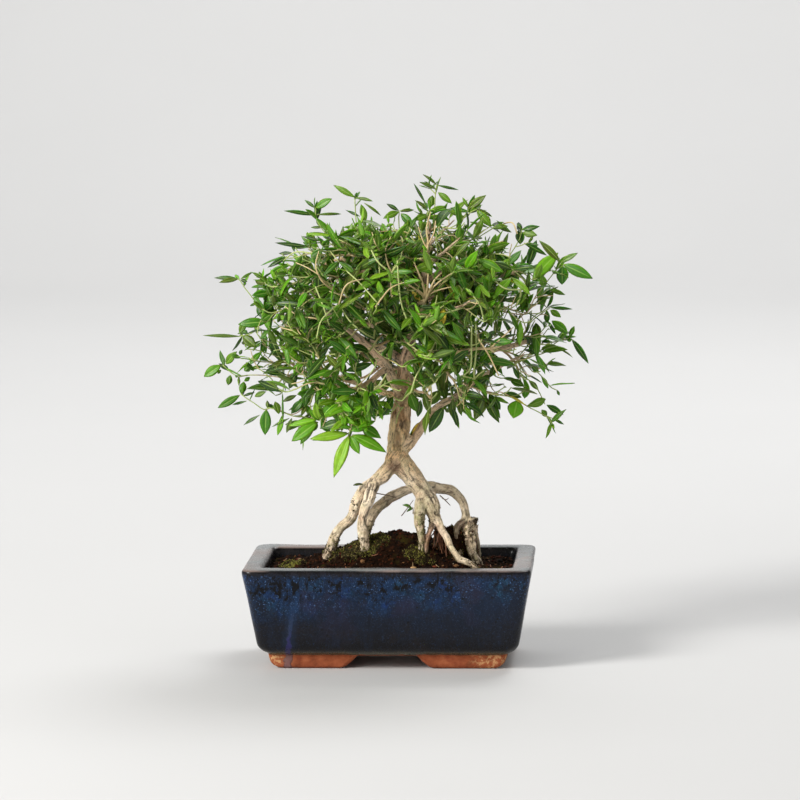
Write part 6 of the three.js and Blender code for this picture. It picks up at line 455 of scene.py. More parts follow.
    (349, 344, 32, -1, [(86.6, 23.6, 215.7, 0.42), (90.2, 24.1, 210.7, 0.42), (93.2, 23.2, 204.6, 0.42), (96.3, 22.5, 200, 0.42), (100.2, 23.5, 199.5, 0.42)]),
    (350, 336, 17, -1, [(14.4, 15, 276.3, 0.57), (13.1, 21.8, 274.6, 0.57), (12.6, 28.8, 271.2, 0.57), (12.6, 35.4, 268, 0.42), (13, 41.3, 267, 0.42), (13.6, 45.9, 269.9, 0.42)]),
    (351, 350, 17, -1, [(12.6, 28.8, 271.2, 0.42), (17.5, 35.1, 272.6, 0.42), (21.2, 38.9, 277.4, 0.42)]),
    (352, 272, 34, -1, [(-1.9, 43.2, 207.4, 0.42), (1.8, 46.5, 201.4, 0.42), (6, 48.6, 195.2, 0.42), (8.6, 53.3, 192.6, 0.42)]),
    (353, 15, 17, -1, [(39.8, 27.4, 305.3, 0.42), (38.6, 35.1, 303.8, 0.42), (35.9, 42.8, 300.4, 0.42), (33.5, 49.3, 298.5, 0.42), (33.1, 53.1, 301.7, 0.42)]),
    (354, 21, 17, -1, [(30.1, 11.1, 292.1, 0.92), (31, 18, 291.6, 0.92), (31.5, 24.9, 289.8, 0.92), (31.8, 31.7, 287.8, 0.68), (32.2, 38.1, 286.6, 0.68), (32.7, 44, 287, 0.42), (33.6, 49.2, 290.2, 0.42)]),
    (355, 354, 17, -1, [(31.5, 24.9, 289.8, 0.68), (29.2, 30.1, 291.6, 0.68), (26.1, 34.5, 294.1, 0.68), (23.3, 38.2, 297.6, 0.42), (21.6, 41.3, 302.3, 0.42)]),
    (356, 336, 17, -1, [(14.4, 15, 276.3, 1.04), (13.7, 21.8, 278, 1.04), (13.9, 28.8, 279.1, 1.04), (14.8, 35.4, 280.6, 1.04), (16, 41.1, 283.2, 0.42), (17.2, 45.7, 287.8, 0.42)]),
    (357, 355, 17, -1, [(26.1, 34.5, 294.1, 0.42), (21.3, 32.9, 297.7, 0.42), (16.8, 29.7, 300.9, 0.42), (15.2, 29.3, 305.2, 0.42)]),
    (358, 356, 17, -1, [(14.8, 35.4, 280.6, 0.57), (18.8, 41.9, 280.4, 0.57), (23.4, 47.8, 279.8, 0.57), (24.7, 52.9, 282.5, 0.42)]),
    (359, 295, 17, -1, [(42.4, 40.6, 255.7, 0.42), (41.7, 44.1, 260, 0.42), (39.4, 46.6, 264.7, 0.42), (37.3, 48.8, 269.4, 0.42), (37, 51.5, 274.3, 0.42)]),
    (360, 356, 17, -1, [(14.8, 35.4, 280.6, 0.85), (14.5, 41.5, 282.1, 0.85), (14, 47.6, 283.1, 0.85), (13, 52.9, 285, 0.42), (11.4, 56.3, 289, 0.42)]),
    (361, 355, 17, -1, [(26.1, 34.5, 294.1, 0.42), (23.9, 41.6, 295.7, 0.42), (22.3, 48.8, 296.7, 0.42), (21.4, 52.8, 301, 0.42)]),
    (362, 354, 17, -1, [(32.2, 38.1, 286.6, 0.57), (35.6, 43, 286.4, 0.57), (39.9, 47.4, 286, 0.57), (43.8, 51, 286.9, 0.42), (46.4, 53.5, 290.3, 0.42)]),
    (363, 362, 17, -1, [(39.9, 47.4, 286, 0.42), (40.1, 53.4, 286.8, 0.42), (38.9, 59.2, 287.7, 0.42), (38.9, 63.2, 291.1, 0.42)]),
    (364, 358, 17, -1, [(23.4, 47.8, 279.8, 0.42), (27.2, 54, 278.8, 0.42), (31.6, 60.1, 276.3, 0.42), (35.5, 66, 274.2, 0.42), (38.2, 71.2, 274, 0.42), (38.7, 75.3, 277.5, 0.42)]),
    (365, 295, 17, -1, [(42.4, 40.6, 255.7, 0.42), (44.6, 45.9, 257.5, 0.42), (46.3, 51.2, 259, 0.42), (47.7, 56.5, 260.5, 0.42), (48.9, 61.5, 262.5, 0.42), (50.1, 66, 265.4, 0.42), (51.4, 69.8, 269.4, 0.42)]),
    (366, 360, 17, -1, [(14, 47.6, 283.1, 0.68), (13.8, 53.4, 281, 0.68), (13.8, 58.9, 277.3, 0.68), (14.1, 63.8, 274.9, 0.42), (14.7, 67.6, 276.6, 0.42)]),
    (367, 360, 17, -1, [(14, 47.6, 283.1, 0.42), (12.1, 53.7, 284.4, 0.42), (9.9, 59.8, 285.2, 0.42), (8, 65, 286.9, 0.42), (7.4, 68.5, 291, 0.42)]),
    (368, 262, 16, -1, [(61.1, 49.4, 224.5, 0.42), (68.8, 50.8, 222.4, 0.42), (76.1, 52.4, 220.6, 0.42), (81.1, 55.2, 222.8, 0.42)]),
    (369, 244, 9, -1, [(-4, -19.2, 248.6, 0.77), (-8, -23.8, 250.5, 0.77), (-12.8, -27.8, 252.4, 0.77), (-17.9, -31.5, 254.4, 0.77), (-22.6, -34.6, 257, 0.77), (-26.6, -37.4, 260.2, 0.77), (-29.4, -39.8, 264.3, 0.42), (-30.2, -41.7, 269.6, 0.42)]),
    (370, 90, 36, -1, [(-69.3, 10.8, 210.3, 0.57), (-73.8, 10.1, 214.1, 0.57), (-78.3, 9, 217.5, 0.57), (-82.7, 7.6, 220.8, 0.57), (-86.8, 6.3, 224.3, 0.57), (-90.6, 5.2, 228.2, 0.57), (-94, 4.4, 233, 0.42)]),
    (371, 199, 36, -1, [(-82, 4.6, 211.8, 0.42), (-86.6, 0.1, 213, 0.42), (-90.8, -5.4, 214, 0.42), (-94.8, -9.1, 215.2, 0.42), (-98.6, -8.3, 217, 0.42)]),
    (372, 4, 23, -1, [(-64.5, 8.2, 203.4, 0.57), (-68.4, 2.4, 203.9, 0.57), (-70.7, -4.6, 204.2, 0.57), (-72.5, -11.4, 205.1, 0.42), (-74.9, -17, 207, 0.42), (-79, -20.1, 210.5, 0.42)]),
    (373, 372, 23, -1, [(-70.7, -4.6, 204.2, 0.42), (-72.8, -10.2, 199.1, 0.42), (-74.7, -14.8, 192.8, 0.42), (-78.8, -18.7, 191.3, 0.42)]),
    (374, 90, 36, -1, [(-69.3, 10.8, 210.3, 0.42), (-72.5, 13.7, 214, 0.42), (-74.9, 17.1, 217.4, 0.42), (-77.1, 20.8, 220.6, 0.42), (-79.8, 24.4, 223.6, 0.42), (-83.5, 27.6, 226.4, 0.42)]),
    (375, 122, 33, -1, [(38.1, 12.5, 183, 0.42), (36, 18.3, 183.9, 0.42), (32.3, 23.3, 184, 0.42), (28, 27.9, 184, 0.42), (24.2, 32.6, 184.7, 0.42), (22.1, 38, 186.7, 0.42)]),
    (376, 170, 10, -1, [(2.9, -61, 222.1, 0.42), (7.2, -65.9, 220.5, 0.42), (11.6, -70.6, 218.7, 0.42), (15.3, -75.4, 217.9, 0.42), (17.9, -80.6, 219.6, 0.42)]),
    (377, 341, 11, -1, [(81.5, -36.9, 253.9, 0.42), (87, -36.9, 250.8, 0.42), (92.3, -36.3, 246.6, 0.42), (97.2, -36, 244, 0.42), (101.6, -36.4, 245.3, 0.42)]),
    (378, 341, 11, -1, [(81.5, -36.9, 253.9, 0.42), (86.8, -36.3, 255.8, 0.42), (91.4, -35.2, 258.4, 0.42), (95.6, -34, 261.6, 0.42), (99.4, -33.6, 265.7, 0.42)]),
    (379, 122, 33, -1, [(38.1, 12.5, 183, 0.57), (40.4, 17.9, 184, 0.57), (42.2, 23.4, 184.5, 0.57), (43.8, 28.9, 184.8, 0.57), (45.4, 34.3, 185.1, 0.57), (47.2, 39.5, 185.7, 0.42), (49.5, 44.4, 187, 0.42), (52.4, 49, 189.2, 0.42)]),
    (380, 379, 33, -1, [(45.4, 34.3, 185.1, 0.42), (50.1, 36.8, 187.9, 0.42), (55.1, 37.9, 191.1, 0.42), (60.1, 39.9, 194.2, 0.42)]),
    (381, 304, 28, -1, [(32.6, -46.8, 192.7, 0.57), (32, -52.7, 194.8, 0.57), (30.2, -58.3, 197.1, 0.57), (28.4, -63.6, 199.6, 0.57), (27.7, -68.5, 202.2, 0.42), (29.5, -73.2, 205.2, 0.42)]),
    (382, 304, 28, -1, [(32.6, -46.8, 192.7, 0.57), (32.9, -50.3, 197.2, 0.57), (32.4, -52.6, 202.5, 0.57), (32.4, -54.8, 207.7, 0.42), (34, -58, 211.7, 0.42)]),
    (383, 135, 0, -1, [(-19.5, -25, 289, 0.57), (-23, -30, 291.8, 0.57), (-26.8, -34.6, 294.6, 0.57), (-30.3, -38.4, 298.2, 0.42), (-33.1, -41.5, 303.2, 0.42)]),
    (384, 225, 1, -1, [(5.3, -12.8, 306.2, 0.42), (-1.1, -15.8, 306.4, 0.42), (-7.7, -19, 306, 0.42), (-13.8, -22.4, 305.9, 0.42), (-18.5, -25.8, 307.4, 0.42), (-21.1, -29.1, 311.6, 0.42)]),
    (385, 369, 9, -1, [(-26.6, -37.4, 260.2, 0.68), (-29.9, -40.8, 263.2, 0.68), (-33.1, -44.4, 265.8, 0.68), (-35.9, -47.7, 268.7, 0.42), (-38.1, -50.1, 272.9, 0.42)]),
    (386, 169, 28, -1, [(14.5, -65.6, 234.5, 0.68), (17.3, -70.6, 234, 0.68), (19.4, -75.9, 233.2, 0.68), (21.5, -80.8, 233.5, 0.42), (24.3, -84.5, 235.7, 0.42)]),
    (387, 386, 28, -1, [(19.4, -75.9, 233.2, 0.57), (24.6, -78.4, 229.7, 0.57), (29.9, -79.7, 225.8, 0.57), (32.9, -82.2, 226.3, 0.42)]),
    (388, 381, 28, -1, [(28.4, -63.6, 199.6, 0.42), (30.3, -68.2, 202.2, 0.42), (33.3, -72.2, 204.4, 0.42), (36.4, -76, 206.9, 0.42), (38.9, -80.1, 210, 0.42)]),
    (389, 387, 28, -1, [(29.9, -79.7, 225.8, 0.42), (37, -79.4, 222.9, 0.42), (43.9, -78.5, 220.4, 0.42), (49.1, -80.7, 221.2, 0.42)]),
    (390, 382, 28, -1, [(32.4, -52.6, 202.5, 0.42), (34.9, -55.8, 207.6, 0.42), (38.1, -58.8, 211.9, 0.42), (41.8, -62, 215.8, 0.42), (45.5, -65.8, 219.6, 0.42)]),
    (391, 217, 11, -1, [(36, -69.5, 256.6, 0.57), (33.4, -75.2, 254.1, 0.57), (29.9, -80.6, 249.8, 0.57), (27.8, -85.2, 246.7, 0.42), (29, -88.8, 247.6, 0.42)]),
    (392, 391, 11, -1, [(29.9, -80.6, 249.8, 0.42), (35.7, -84.5, 244.9, 0.42), (40.5, -88.2, 244.6, 0.42)]),
    (393, 383, 0, -1, [(-26.8, -34.6, 294.6, 0.42), (-31.7, -37.6, 295.2, 0.42), (-37, -40.2, 294.7, 0.42), (-41.7, -42.8, 294.9, 0.42), (-44.9, -45.8, 297.3, 0.42)]),
    (394, 385, 9, -1, [(-33.1, -44.4, 265.8, 0.57), (-36.9, -45, 270.6, 0.57), (-40.4, -44.1, 275.4, 0.57), (-43.8, -43.3, 280.4, 0.42), (-47.1, -44.3, 285.3, 0.42)]),
    (395, 291, 16, -1, [(55.3, 20.9, 261, 0.42), (60, 25.1, 256.4, 0.42), (64.6, 29.2, 250.4, 0.42), (68.9, 33.1, 245, 0.42), (72.7, 36.8, 242.5, 0.42), (75.5, 39.9, 245.1, 0.42)]),
    (396, 247, 27, -1, [(-41.6, -58.2, 210.8, 0.77), (-43.7, -56.8, 216.6, 0.77), (-45, -54.4, 222.6, 0.77), (-46.2, -53.3, 228.1, 0.42), (-48, -55.5, 232.2, 0.42)]),
    (397, 396, 27, -1, [(-45, -54.4, 222.6, 0.57), (-47.5, -56.9, 228.3, 0.57), (-50.1, -60.7, 233, 0.57), (-52.8, -64.7, 238, 0.42)]),
    (398, 396, 27, -1, [(-45, -54.4, 222.6, 0.42), (-49.6, -51.3, 225.5, 0.42), (-54.9, -47.5, 227.2, 0.42), (-60.1, -45.3, 228.2, 0.42), (-64.4, -47.1, 228.8, 0.42)]),
    (399, 288, 25, -1, [(-17.4, -27.6, 223.4, 0.77), (-23.5, -28.2, 221.9, 0.77), (-29.8, -28.6, 219.9, 0.77), (-36, -29.1, 217.8, 0.77), (-42, -29.6, 216.3, 0.77), (-47.4, -30.6, 215.8, 0.77), (-52.1, -32.1, 216.9, 0.57), (-55.7, -34.4, 220.1, 0.42)]),
    (400, 246, 27, -1, [(-46, -57.7, 205.4, 0.42), (-51.7, -57.9, 208.4, 0.42), (-57.3, -57.8, 211.3, 0.42), (-62.3, -58.1, 214.6, 0.42), (-66.5, -59.9, 218.8, 0.42)]),
    (401, 399, 25, -1, [(-47.4, -30.6, 215.8, 0.57), (-53.5, -33.3, 216.1, 0.57), (-59.2, -36.2, 216.2, 0.57), (-64.7, -39, 216.7, 0.42), (-70.6, -41.6, 218.4, 0.42)]),
    (402, 246, 27, -1, [(-46, -57.7, 205.4, 0.57), (-52, -57, 204.5, 0.57), (-57.9, -55.7, 201.9, 0.57), (-63.5, -54.4, 199.2, 0.42), (-68.7, -53.9, 198.1, 0.42), (-73, -54.9, 200.1, 0.42)]),
    (403, 402, 27, -1, [(-57.9, -55.7, 201.9, 0.42), (-62.5, -50.4, 199.7, 0.42), (-66.5, -43.5, 197.5, 0.42), (-70.2, -38.5, 196.6, 0.42), (-73.9, -38.6, 198.2, 0.42)]),
    (404, 397, 27, -1, [(-50.1, -60.7, 233, 0.42), (-54.3, -61.9, 236.6, 0.42), (-58.9, -62.2, 239.6, 0.42), (-63.1, -62.3, 242.9, 0.42), (-65.7, -62.9, 247.5, 0.42)]),
    (405, 102, 15, -1, [(76.2, 21.1, 285.7, 0.57), (81, 24, 282.6, 0.57), (85.6, 26.8, 278.3, 0.57), (90, 28.9, 275.4, 0.42), (94.1, 29.6, 276.8, 0.42)]),
    (406, 405, 15, -1, [(85.6, 26.8, 278.3, 0.42), (91.6, 26.4, 272.5, 0.42), (97.4, 25.1, 267, 0.42), (102.7, 26.1, 267, 0.42)]),
    (407, 294, 16, -1, [(67.9, 20.7, 256, 0.68), (73.6, 22.5, 253.3, 0.68), (79, 24.9, 250, 0.68), (84, 27.8, 247.1, 0.68), (88.9, 30.6, 245.9, 0.42), (93.8, 33.2, 247.5, 0.42)]),
    (408, 221, 8, -1, [(-57, -23.3, 272.9, 0.57), (-63, -24.4, 271.5, 0.57), (-69, -25.8, 269.6, 0.57), (-74.2, -27.5, 269.1, 0.42), (-77.8, -29.5, 271.6, 0.42)]),
    (409, 394, 9, -1, [(-40.4, -44.1, 275.4, 0.42), (-46.1, -43.5, 277.1, 0.42), (-52.2, -42.9, 277.1, 0.42), (-58.1, -42.6, 276.8, 0.42), (-63.6, -42.8, 277.4, 0.42), (-68.3, -43.9, 280.1, 0.42)]),
    (410, 408, 8, -1, [(-69, -25.8, 269.6, 0.42), (-74.2, -22.4, 268.8, 0.42), (-78.9, -17.2, 268, 0.42), (-82.8, -13.2, 268.2, 0.42), (-86.1, -13.2, 270.7, 0.42)]),
    (411, 3, 7, -1, [(-55.4, -16, 256.3, 0.57), (-62.3, -17.4, 255.7, 0.57), (-69.2, -19.2, 253.3, 0.57), (-75.8, -20.8, 250.8, 0.57), (-81.8, -21.6, 250.1, 0.42), (-87, -21.2, 252.8, 0.42)]),
    (412, 411, 7, -1, [(-75.8, -20.8, 250.8, 0.42), (-79.1, -25.2, 248.7, 0.42), (-81.2, -30.4, 246.1, 0.42), (-83.2, -35.4, 244.8, 0.42), (-86.2, -38.8, 246.5, 0.42)]),
    (413, 401, 25, -1, [(-59.2, -36.2, 216.2, 0.42), (-64.5, -37.6, 219.8, 0.42), (-69, -38.5, 224.5, 0.42), (-73.6, -38.6, 228.6, 0.42), (-79.3, -37.5, 230.6, 0.42)]),
    (414, 337, 19, -1, [(0.3, 16.5, 291.9, 0.57), (-2.8, 21, 295, 0.57), (-6.2, 26.6, 297.1, 0.57), (-9.4, 32, 299, 0.57), (-11.9, 35.7, 301.8, 0.42), (-13.4, 36.4, 306.5, 0.42)]),
    (415, 414, 19, -1, [(-9.4, 32, 299, 0.42), (-13.2, 38.3, 299.6, 0.42), (-16.8, 44.4, 299.8, 0.42), (-19.8, 49.4, 302.8, 0.42)]),
    (416, 292, 16, -1, [(61.7, 48.2, 272.6, 0.42), (65.4, 52.6, 269.7, 0.42), (69.5, 56.4, 265.5, 0.42), (73.4, 59.5, 262.7, 0.42), (76.8, 61.9, 264.2, 0.42)]),
    (417, 293, 16, -1, [(64.5, 30, 260.6, 0.42), (68.8, 36.4, 258.6, 0.42), (72.6, 43.4, 255.4, 0.42), (76.3, 48.6, 253.5, 0.42), (80.2, 49.5, 255.6, 0.42)]),
    (418, 271, 34, -1, [(-11.6, 65.7, 203.9, 0.42), (-7.3, 70.1, 201.8, 0.42), (-2.2, 74.3, 199.9, 0.42), (1.5, 78.5, 199.2, 0.42), (1.8, 83, 200.8, 0.42)]),
    (419, 272, 34, -1, [(-1.9, 43.2, 207.4, 0.42), (0.6, 48.3, 204.7, 0.42), (3.8, 53, 201.4, 0.42), (7.3, 57.5, 198.1, 0.42), (10.8, 61.9, 195.2, 0.42), (13.7, 66.4, 193.4, 0.42), (15.9, 71.1, 193.1, 0.42), (16.9, 76.1, 195.1, 0.42)]),
    (420, 13, 4, -1, [(36.3, -19.4, 288.6, 0.68), (40.9, -21.3, 292.1, 0.68), (46.1, -22.2, 295.2, 0.68), (51, -22.3, 298.5, 0.68), (54.9, -21.7, 302.5, 0.42), (57.1, -20.6, 307.6, 0.42)]),
    (421, 420, 4, -1, [(51, -22.3, 298.5, 0.57), (55.9, -16.1, 299.7, 0.57), (59.8, -8.9, 299.8, 0.57), (62.7, -6.9, 303.1, 0.42)]),
    (422, 0, 3, -1, [(29.2, 0, 305.6, 0.57), (35.7, -1.7, 307.9, 0.57), (43.4, -3.7, 307.5, 0.57), (50.2, -5.6, 307.6, 0.42), (54.4, -6.7, 311.5, 0.42)]),
    (423, 407, 16, -1, [(84, 27.8, 247.1, 0.42), (88.3, 32.2, 245.1, 0.42), (92.3, 37.1, 242.9, 0.42), (96.1, 41.2, 242.1, 0.42), (99.8, 43.1, 244.5, 0.42)]),
    (424, 407, 16, -1, [(84, 27.8, 247.1, 0.42), (91.5, 28.8, 245.6, 0.42), (99.1, 29.1, 243.9, 0.42), (105.9, 29, 244.1, 0.42), (110.8, 28.8, 248, 0.42)]),
    (425, 233, 18, -1, [(7.2, 65.1, 229.1, 0.42), (7.6, 70.4, 226.4, 0.42), (8.4, 75.1, 221.6, 0.42), (9.4, 79.3, 216.8, 0.42), (10.5, 83.5, 213.8, 0.42), (11.7, 88, 214.7, 0.42)]),
    (426, 233, 18, -1, [(7.2, 65.1, 229.1, 0.42), (7.9, 71.5, 230.9, 0.42), (9.2, 77.9, 232.2, 0.42), (10.1, 83.6, 234.1, 0.42), (9.6, 88.1, 238.1, 0.42)]),
    (427, 222, 8, -1, [(-48.1, -32.4, 262.8, 0.42), (-53.4, -36.1, 259.9, 0.42), (-58.8, -39.3, 255.5, 0.42), (-63.5, -42.5, 252.7, 0.42), (-66.5, -46.5, 254.1, 0.42)]),
    (428, 5, 24, -1, [(-13.7, -28.9, 199.3, 0.57), (-19.3, -28.9, 195.4, 0.57), (-24.9, -27.1, 191.3, 0.57), (-30.6, -24.9, 188.2, 0.42), (-36.3, -23.4, 186.8, 0.42), (-41.9, -24, 188.2, 0.42)]),
    (429, 218, 9, -1, [(-49.5, -16.1, 291.1, 0.42), (-56.3, -16.7, 290.6, 0.42), (-63.5, -16.2, 288.6, 0.42), (-69.6, -15.8, 287.9, 0.42), (-73.2, -16.7, 290.9, 0.42)]),
    (430, 366, 17, -1, [(13.8, 58.9, 277.3, 0.42), (12.6, 65.3, 273.7, 0.42), (11.1, 71.8, 269.7, 0.42), (9.4, 77.6, 267.8, 0.42), (7.7, 81.9, 270.3, 0.42)]),
    (431, 366, 17, -1, [(13.8, 58.9, 277.3, 0.42), (14.4, 65.5, 275.6, 0.42), (14.9, 72.2, 274.1, 0.42), (15.8, 78.2, 274.3, 0.42), (16.9, 82.8, 277.5, 0.42)]),
    (432, 331, 21, -1, [(-70.5, 25, 246.9, 0.42), (-77, 26.5, 244.8, 0.42), (-83.5, 27.7, 241, 0.42), (-89.1, 28.8, 238.8, 0.42), (-93, 29.9, 241.2, 0.42)]),
    (433, 331, 21, -1, [(-70.5, 25, 246.9, 0.42), (-74.9, 30.9, 246.7, 0.42), (-78.2, 37.8, 245.4, 0.42), (-81.1, 44, 245.3, 0.42), (-84.6, 47.7, 248.7, 0.42)]),
    (434, 146, 10, -1, [(-24.6, -61.9, 244.2, 0.42), (-27.2, -67.1, 247.3, 0.42), (-29.2, -71.8, 251.1, 0.42), (-31.3, -75.5, 255.7, 0.42), (-33.8, -77.7, 261.1, 0.42)]),
    (435, 120, 10, -1, [(-10.4, -62.2, 254.9, 0.42), (-14.5, -64.9, 259.5, 0.42), (-19.3, -67.7, 263.1, 0.42), (-23.9, -70.6, 266.7, 0.42), (-27.1, -73.6, 271.7, 0.42)]),
    (436, 260, 18, -1, [(31.2, 54.3, 216.7, 0.42), (34.9, 58, 212.1, 0.42), (38, 61.2, 206.1, 0.42), (41.1, 64.2, 200.1, 0.42), (44.4, 66.9, 195.1, 0.42), (48.3, 69.3, 192.4, 0.42), (53.1, 71.3, 193.3, 0.42)]),
    (437, 145, 0, 0, [(-38.7, -9.8, 302.8, 0.42), (-43.4, -4, 303.9, 0.42), (-48.7, -4, 312, 0.42), (-50.2, -4, 318.3, 0.42), (-50.4, -4, 321.9, 0.42)]),
    (438, 100, 1, 1, [(-18.4, 3.4, 294.8, 0.42), (-21.5, 3, 302.3, 0.42), (-22.3, 3, 310.4, 0.42), (-22.8, 3, 318.5, 0.42), (-23, 3, 328, 0.42)]),
    (439, 111, 9, 2, [(-37.7, -9.6, 289, 0.42), (-45.5, -8, 291.7, 0.42), (-50.8, -8, 294.4, 0.42), (-54.4, -8, 295.3, 0.42)]),
    (440, 218, 9, 3, [(-43.9, -12.7, 290, 0.42), (-49.2, -11.4, 286.3, 0.42), (-54.4, -10, 284.7, 0.42), (-62.4, -10, 288.3, 0.42), (-68.7, -10, 289.7, 0.42)]),
    (441, 333, 8, 4, [(-81.1, 5.8, 249.4, 0.42), (-86, 2.4, 248.9, 0.42), (-90, 0, 250.6, 0.42), (-96.2, 0, 258.7, 0.42), (-101.5, 0, 266, 0.42), (-104.4, 0, 270.5, 0.42), (-106, 0, 272.1, 0.42)]),
    (442, 226, 7, 5, [(-68.7, -12.7, 236.9, 0.42), (-74.3, -14, 243.8, 0.42), (-78.7, -14, 252.8, 0.42), (-81.3, -14, 260, 0.42)]),
    (443, 0, 5, 6, [(29.2, 0, 305.6, 0.42), (32.6, 0, 306.7, 0.42), (33, 0, 318.5, 0.42), (33.9, 0, 329.3, 0.42), (34.8, 0, 337.7, 0.42)]),
    (444, 0, 2, 7, [(29.2, 0, 305.6, 0.42), (28.9, -4, 309, 0.42), (28.5, -4, 315.9, 0.42), (28.1, -4, 321.3, 0.42)]),
    (445, 175, 19, 8, [(9.4, 3.1, 283.9, 0.42), (8.2, 3.8, 289.1, 0.42), (7.9, 4.5, 294.4, 0.42), (8.1, 4.9, 299.8, 0.42), (8.1, 5, 305.4, 0.42), (7.7, 5, 313.3, 0.42), (7.8, 5, 319.2, 0.42)]),
    (446, 339, 6, 9, [(50.9, 12.2, 304.4, 0.42), (49.6, 6, 305.1, 0.42), (53.6, 6, 315, 0.42), (56.6, 6, 319.4, 0.42)]),
    (447, 422, 3, 10, [(43.4, -3.7, 307.5, 0.42), (50, -2, 310.7, 0.42), (56, -2, 316.6, 0.42), (62.9, -2, 320.5, 0.42)]),
    (448, 421, 4, 11, [(59.8, -8.9, 299.8, 0.42), (63.9, -6, 301.1, 0.42), (71.8, -6, 306, 0.42), (76.8, -6, 308.9, 0.42)]),
    (449, 118, 15, 12, [(82, 7.9, 275.4, 0.42), (84.5, 4.4, 281.5, 0.42), (86.2, 2, 288.5, 0.42), (92.1, 2, 298.3, 0.42), (94.1, 2, 305.2, 0.42)]),
    (450, 303, 13, 13, [(81.1, -2.1, 248.2, 0.42), (87.8, -2.5, 247.2, 0.42), (94.4, -2.9, 246.5, 0.42), (98.9, -3, 249.3, 0.42), (103.9, -3, 259.2, 0.42), (110.8, -3, 268.1, 0.42), (116.8, -3, 275.9, 0.42), (121.5, -3, 282.3, 0.42)]),
    (451, 92, 14, 14, [(90.5, 10.8, 240.7, 0.42), (94.4, 8.5, 244.9, 0.42), (98.5, 5.5, 248.5, 0.42), (102.6, 4, 252.6, 0.42), (108.6, 4, 259.5, 0.42), (112.6, 4, 263.5, 0.42)]),
    (452, 224, 12, 15, [(98.3, -10.5, 239, 0.42), (102.9, -5, 243.6, 0.42), (109.8, -5, 248.5, 0.42), (113.7, -5, 251, 0.42)]),
    (453, 80, 32, 16, [(99.8, 4.1, 223.7, 0.42), (102.6, 0, 228.3, 0.42), (109.6, 0, 236.2, 0.42), (112.6, 0, 242.1, 0.42)]),
    (454, 78, 31, 17, [(88.3, 7.6, 211.7, 0.42), (93.8, 4.2, 213.4, 0.42), (99.5, 2, 216, 0.42), (110.4, 2, 218.9, 0.42), (115.4, 2, 224.1, 0.42), (120.3, 2, 227.5, 0.42), (126.7, 2, 229, 0.42)]),
    (455, 216, 31, 18, [(90.9, 5.1, 206.4, 0.42), (94.6, 0.5, 208.6, 0.42), (98.6, -2, 209.7, 0.42), (105.5, -2, 204.7, 0.42), (110.9, -2, 198.7, 0.42), (114.3, -2, 194.7, 0.42), (118.5, -2, 192.7, 0.42)]),
    (456, 216, 31, 19, [(92.3, 2, 200.3, 0.42), (92.8, -6, 203.2, 0.42), (100.7, -6, 199.2, 0.42), (106.5, -6, 191.2, 0.42), (110, -6, 183.3, 0.42)]),
    (457, 215, 30, 20, [(77, -4.8, 190.1, 0.42), (78.1, -9, 192.6, 0.42), (85.9, -9, 189.2, 0.42), (93.8, -9, 184.7, 0.42), (102.6, -9, 179.7, 0.42), (111.5, -9, 175.2, 0.42), (116.4, -9, 173.2, 0.42)]),
    (458, 168, 30, 21, [(61.7, 1.9, 194.4, 0.42), (65, -3, 194.9, 0.42), (68.4, -3, 190.9, 0.42)]),
    (459, 98, 33, 22, [(53, -6.2, 193.2, 0.42), (47.1, -8, 196.2, 0.42), (43.5, -8, 195.6, 0.42), (45.4, -8, 187.6, 0.42)]),
    (460, 177, 28, 23, [(14, -0.8, 202.2, 0.42), (14.4, -8.9, 200.5, 0.42), (14.7, -14, 197.3, 0.42), (15.6, -14, 192.4, 0.42)]),
    (461, 1, 35, 24, [(14.2, 0.8, 154.9, 0.42), (14.2, 3, 154.3, 0.42), (16.3, 3, 157.3, 0.42)]),
    (462, 370, 36, 25, [(-90.6, 5.2, 228.2, 0.42), (-90.1, 2, 234.7, 0.42), (-91.1, 0, 237.3, 0.42), (-98.4, 0, 232.8, 0.42), (-105.7, 0, 231.2, 0.42)]),
    (463, 90, 36, 26, [(-69.3, 10.8, 210.3, 0.42), (-72.1, 6, 214, 0.42), (-83.8, 6, 217.6, 0.42), (-95.5, 6, 221.1, 0.42), (-102.3, 6, 221.5, 0.42)]),
    (464, 89, 22, 27, [(-80.5, 0.9, 195.7, 0.42), (-83, -4, 201.5, 0.42), (-90.2, -4, 207.4, 0.42), (-94.7, -4, 209.7, 0.42)]),
    (465, 89, 22, 28, [(-75.7, 5, 200.9, 0.42), (-83.8, 4, 202.4, 0.42), (-96.5, 4, 203.2, 0.42), (-108.3, 4, 202.8, 0.42), (-113.7, 4, 206.1, 0.42), (-118.2, 4, 210.5, 0.42)]),
    (466, 252, 23, 29, [(-61.4, 3.3, 179.8, 0.42), (-66.2, 1.3, 176.4, 0.42), (-71.1, 0, 175.6, 0.42), (-81.9, 0, 180.1, 0.42), (-89.2, 0, 179.2, 0.42), (-96.4, 0, 183.8, 0.42), (-103.6, 0, 188.8, 0.42), (-105.3, 0, 190.2, 0.42)]),
    (467, 251, 23, 30, [(-55.8, -6.4, 183.7, 0.42), (-55.1, -4.8, 177.6, 0.42), (-56.4, -3, 174.1, 0.42), (-67.2, -3, 174.6, 0.42), (-76.2, -3, 177.8, 0.42), (-83.4, -3, 180.5, 0.42), (-87.1, -3, 180.5, 0.42)]),
    (468, 251, 23, 31, [(-55.8, -6.4, 183.7, 0.42), (-54.2, -8.9, 177.5, 0.42), (-54.8, -10, 174.1, 0.42), (-61.1, -10, 175.5, 0.42), (-66.6, -10, 175.9, 0.42)]),
    (469, 399, 25, 32, [(-52.1, -32.1, 216.9, 0.42), (-56.2, -26.3, 217.8, 0.42), (-57.8, -22, 215.3, 0.42), (-57.8, -22, 209.9, 0.42), (-57.7, -22, 204.5, 0.42)]),
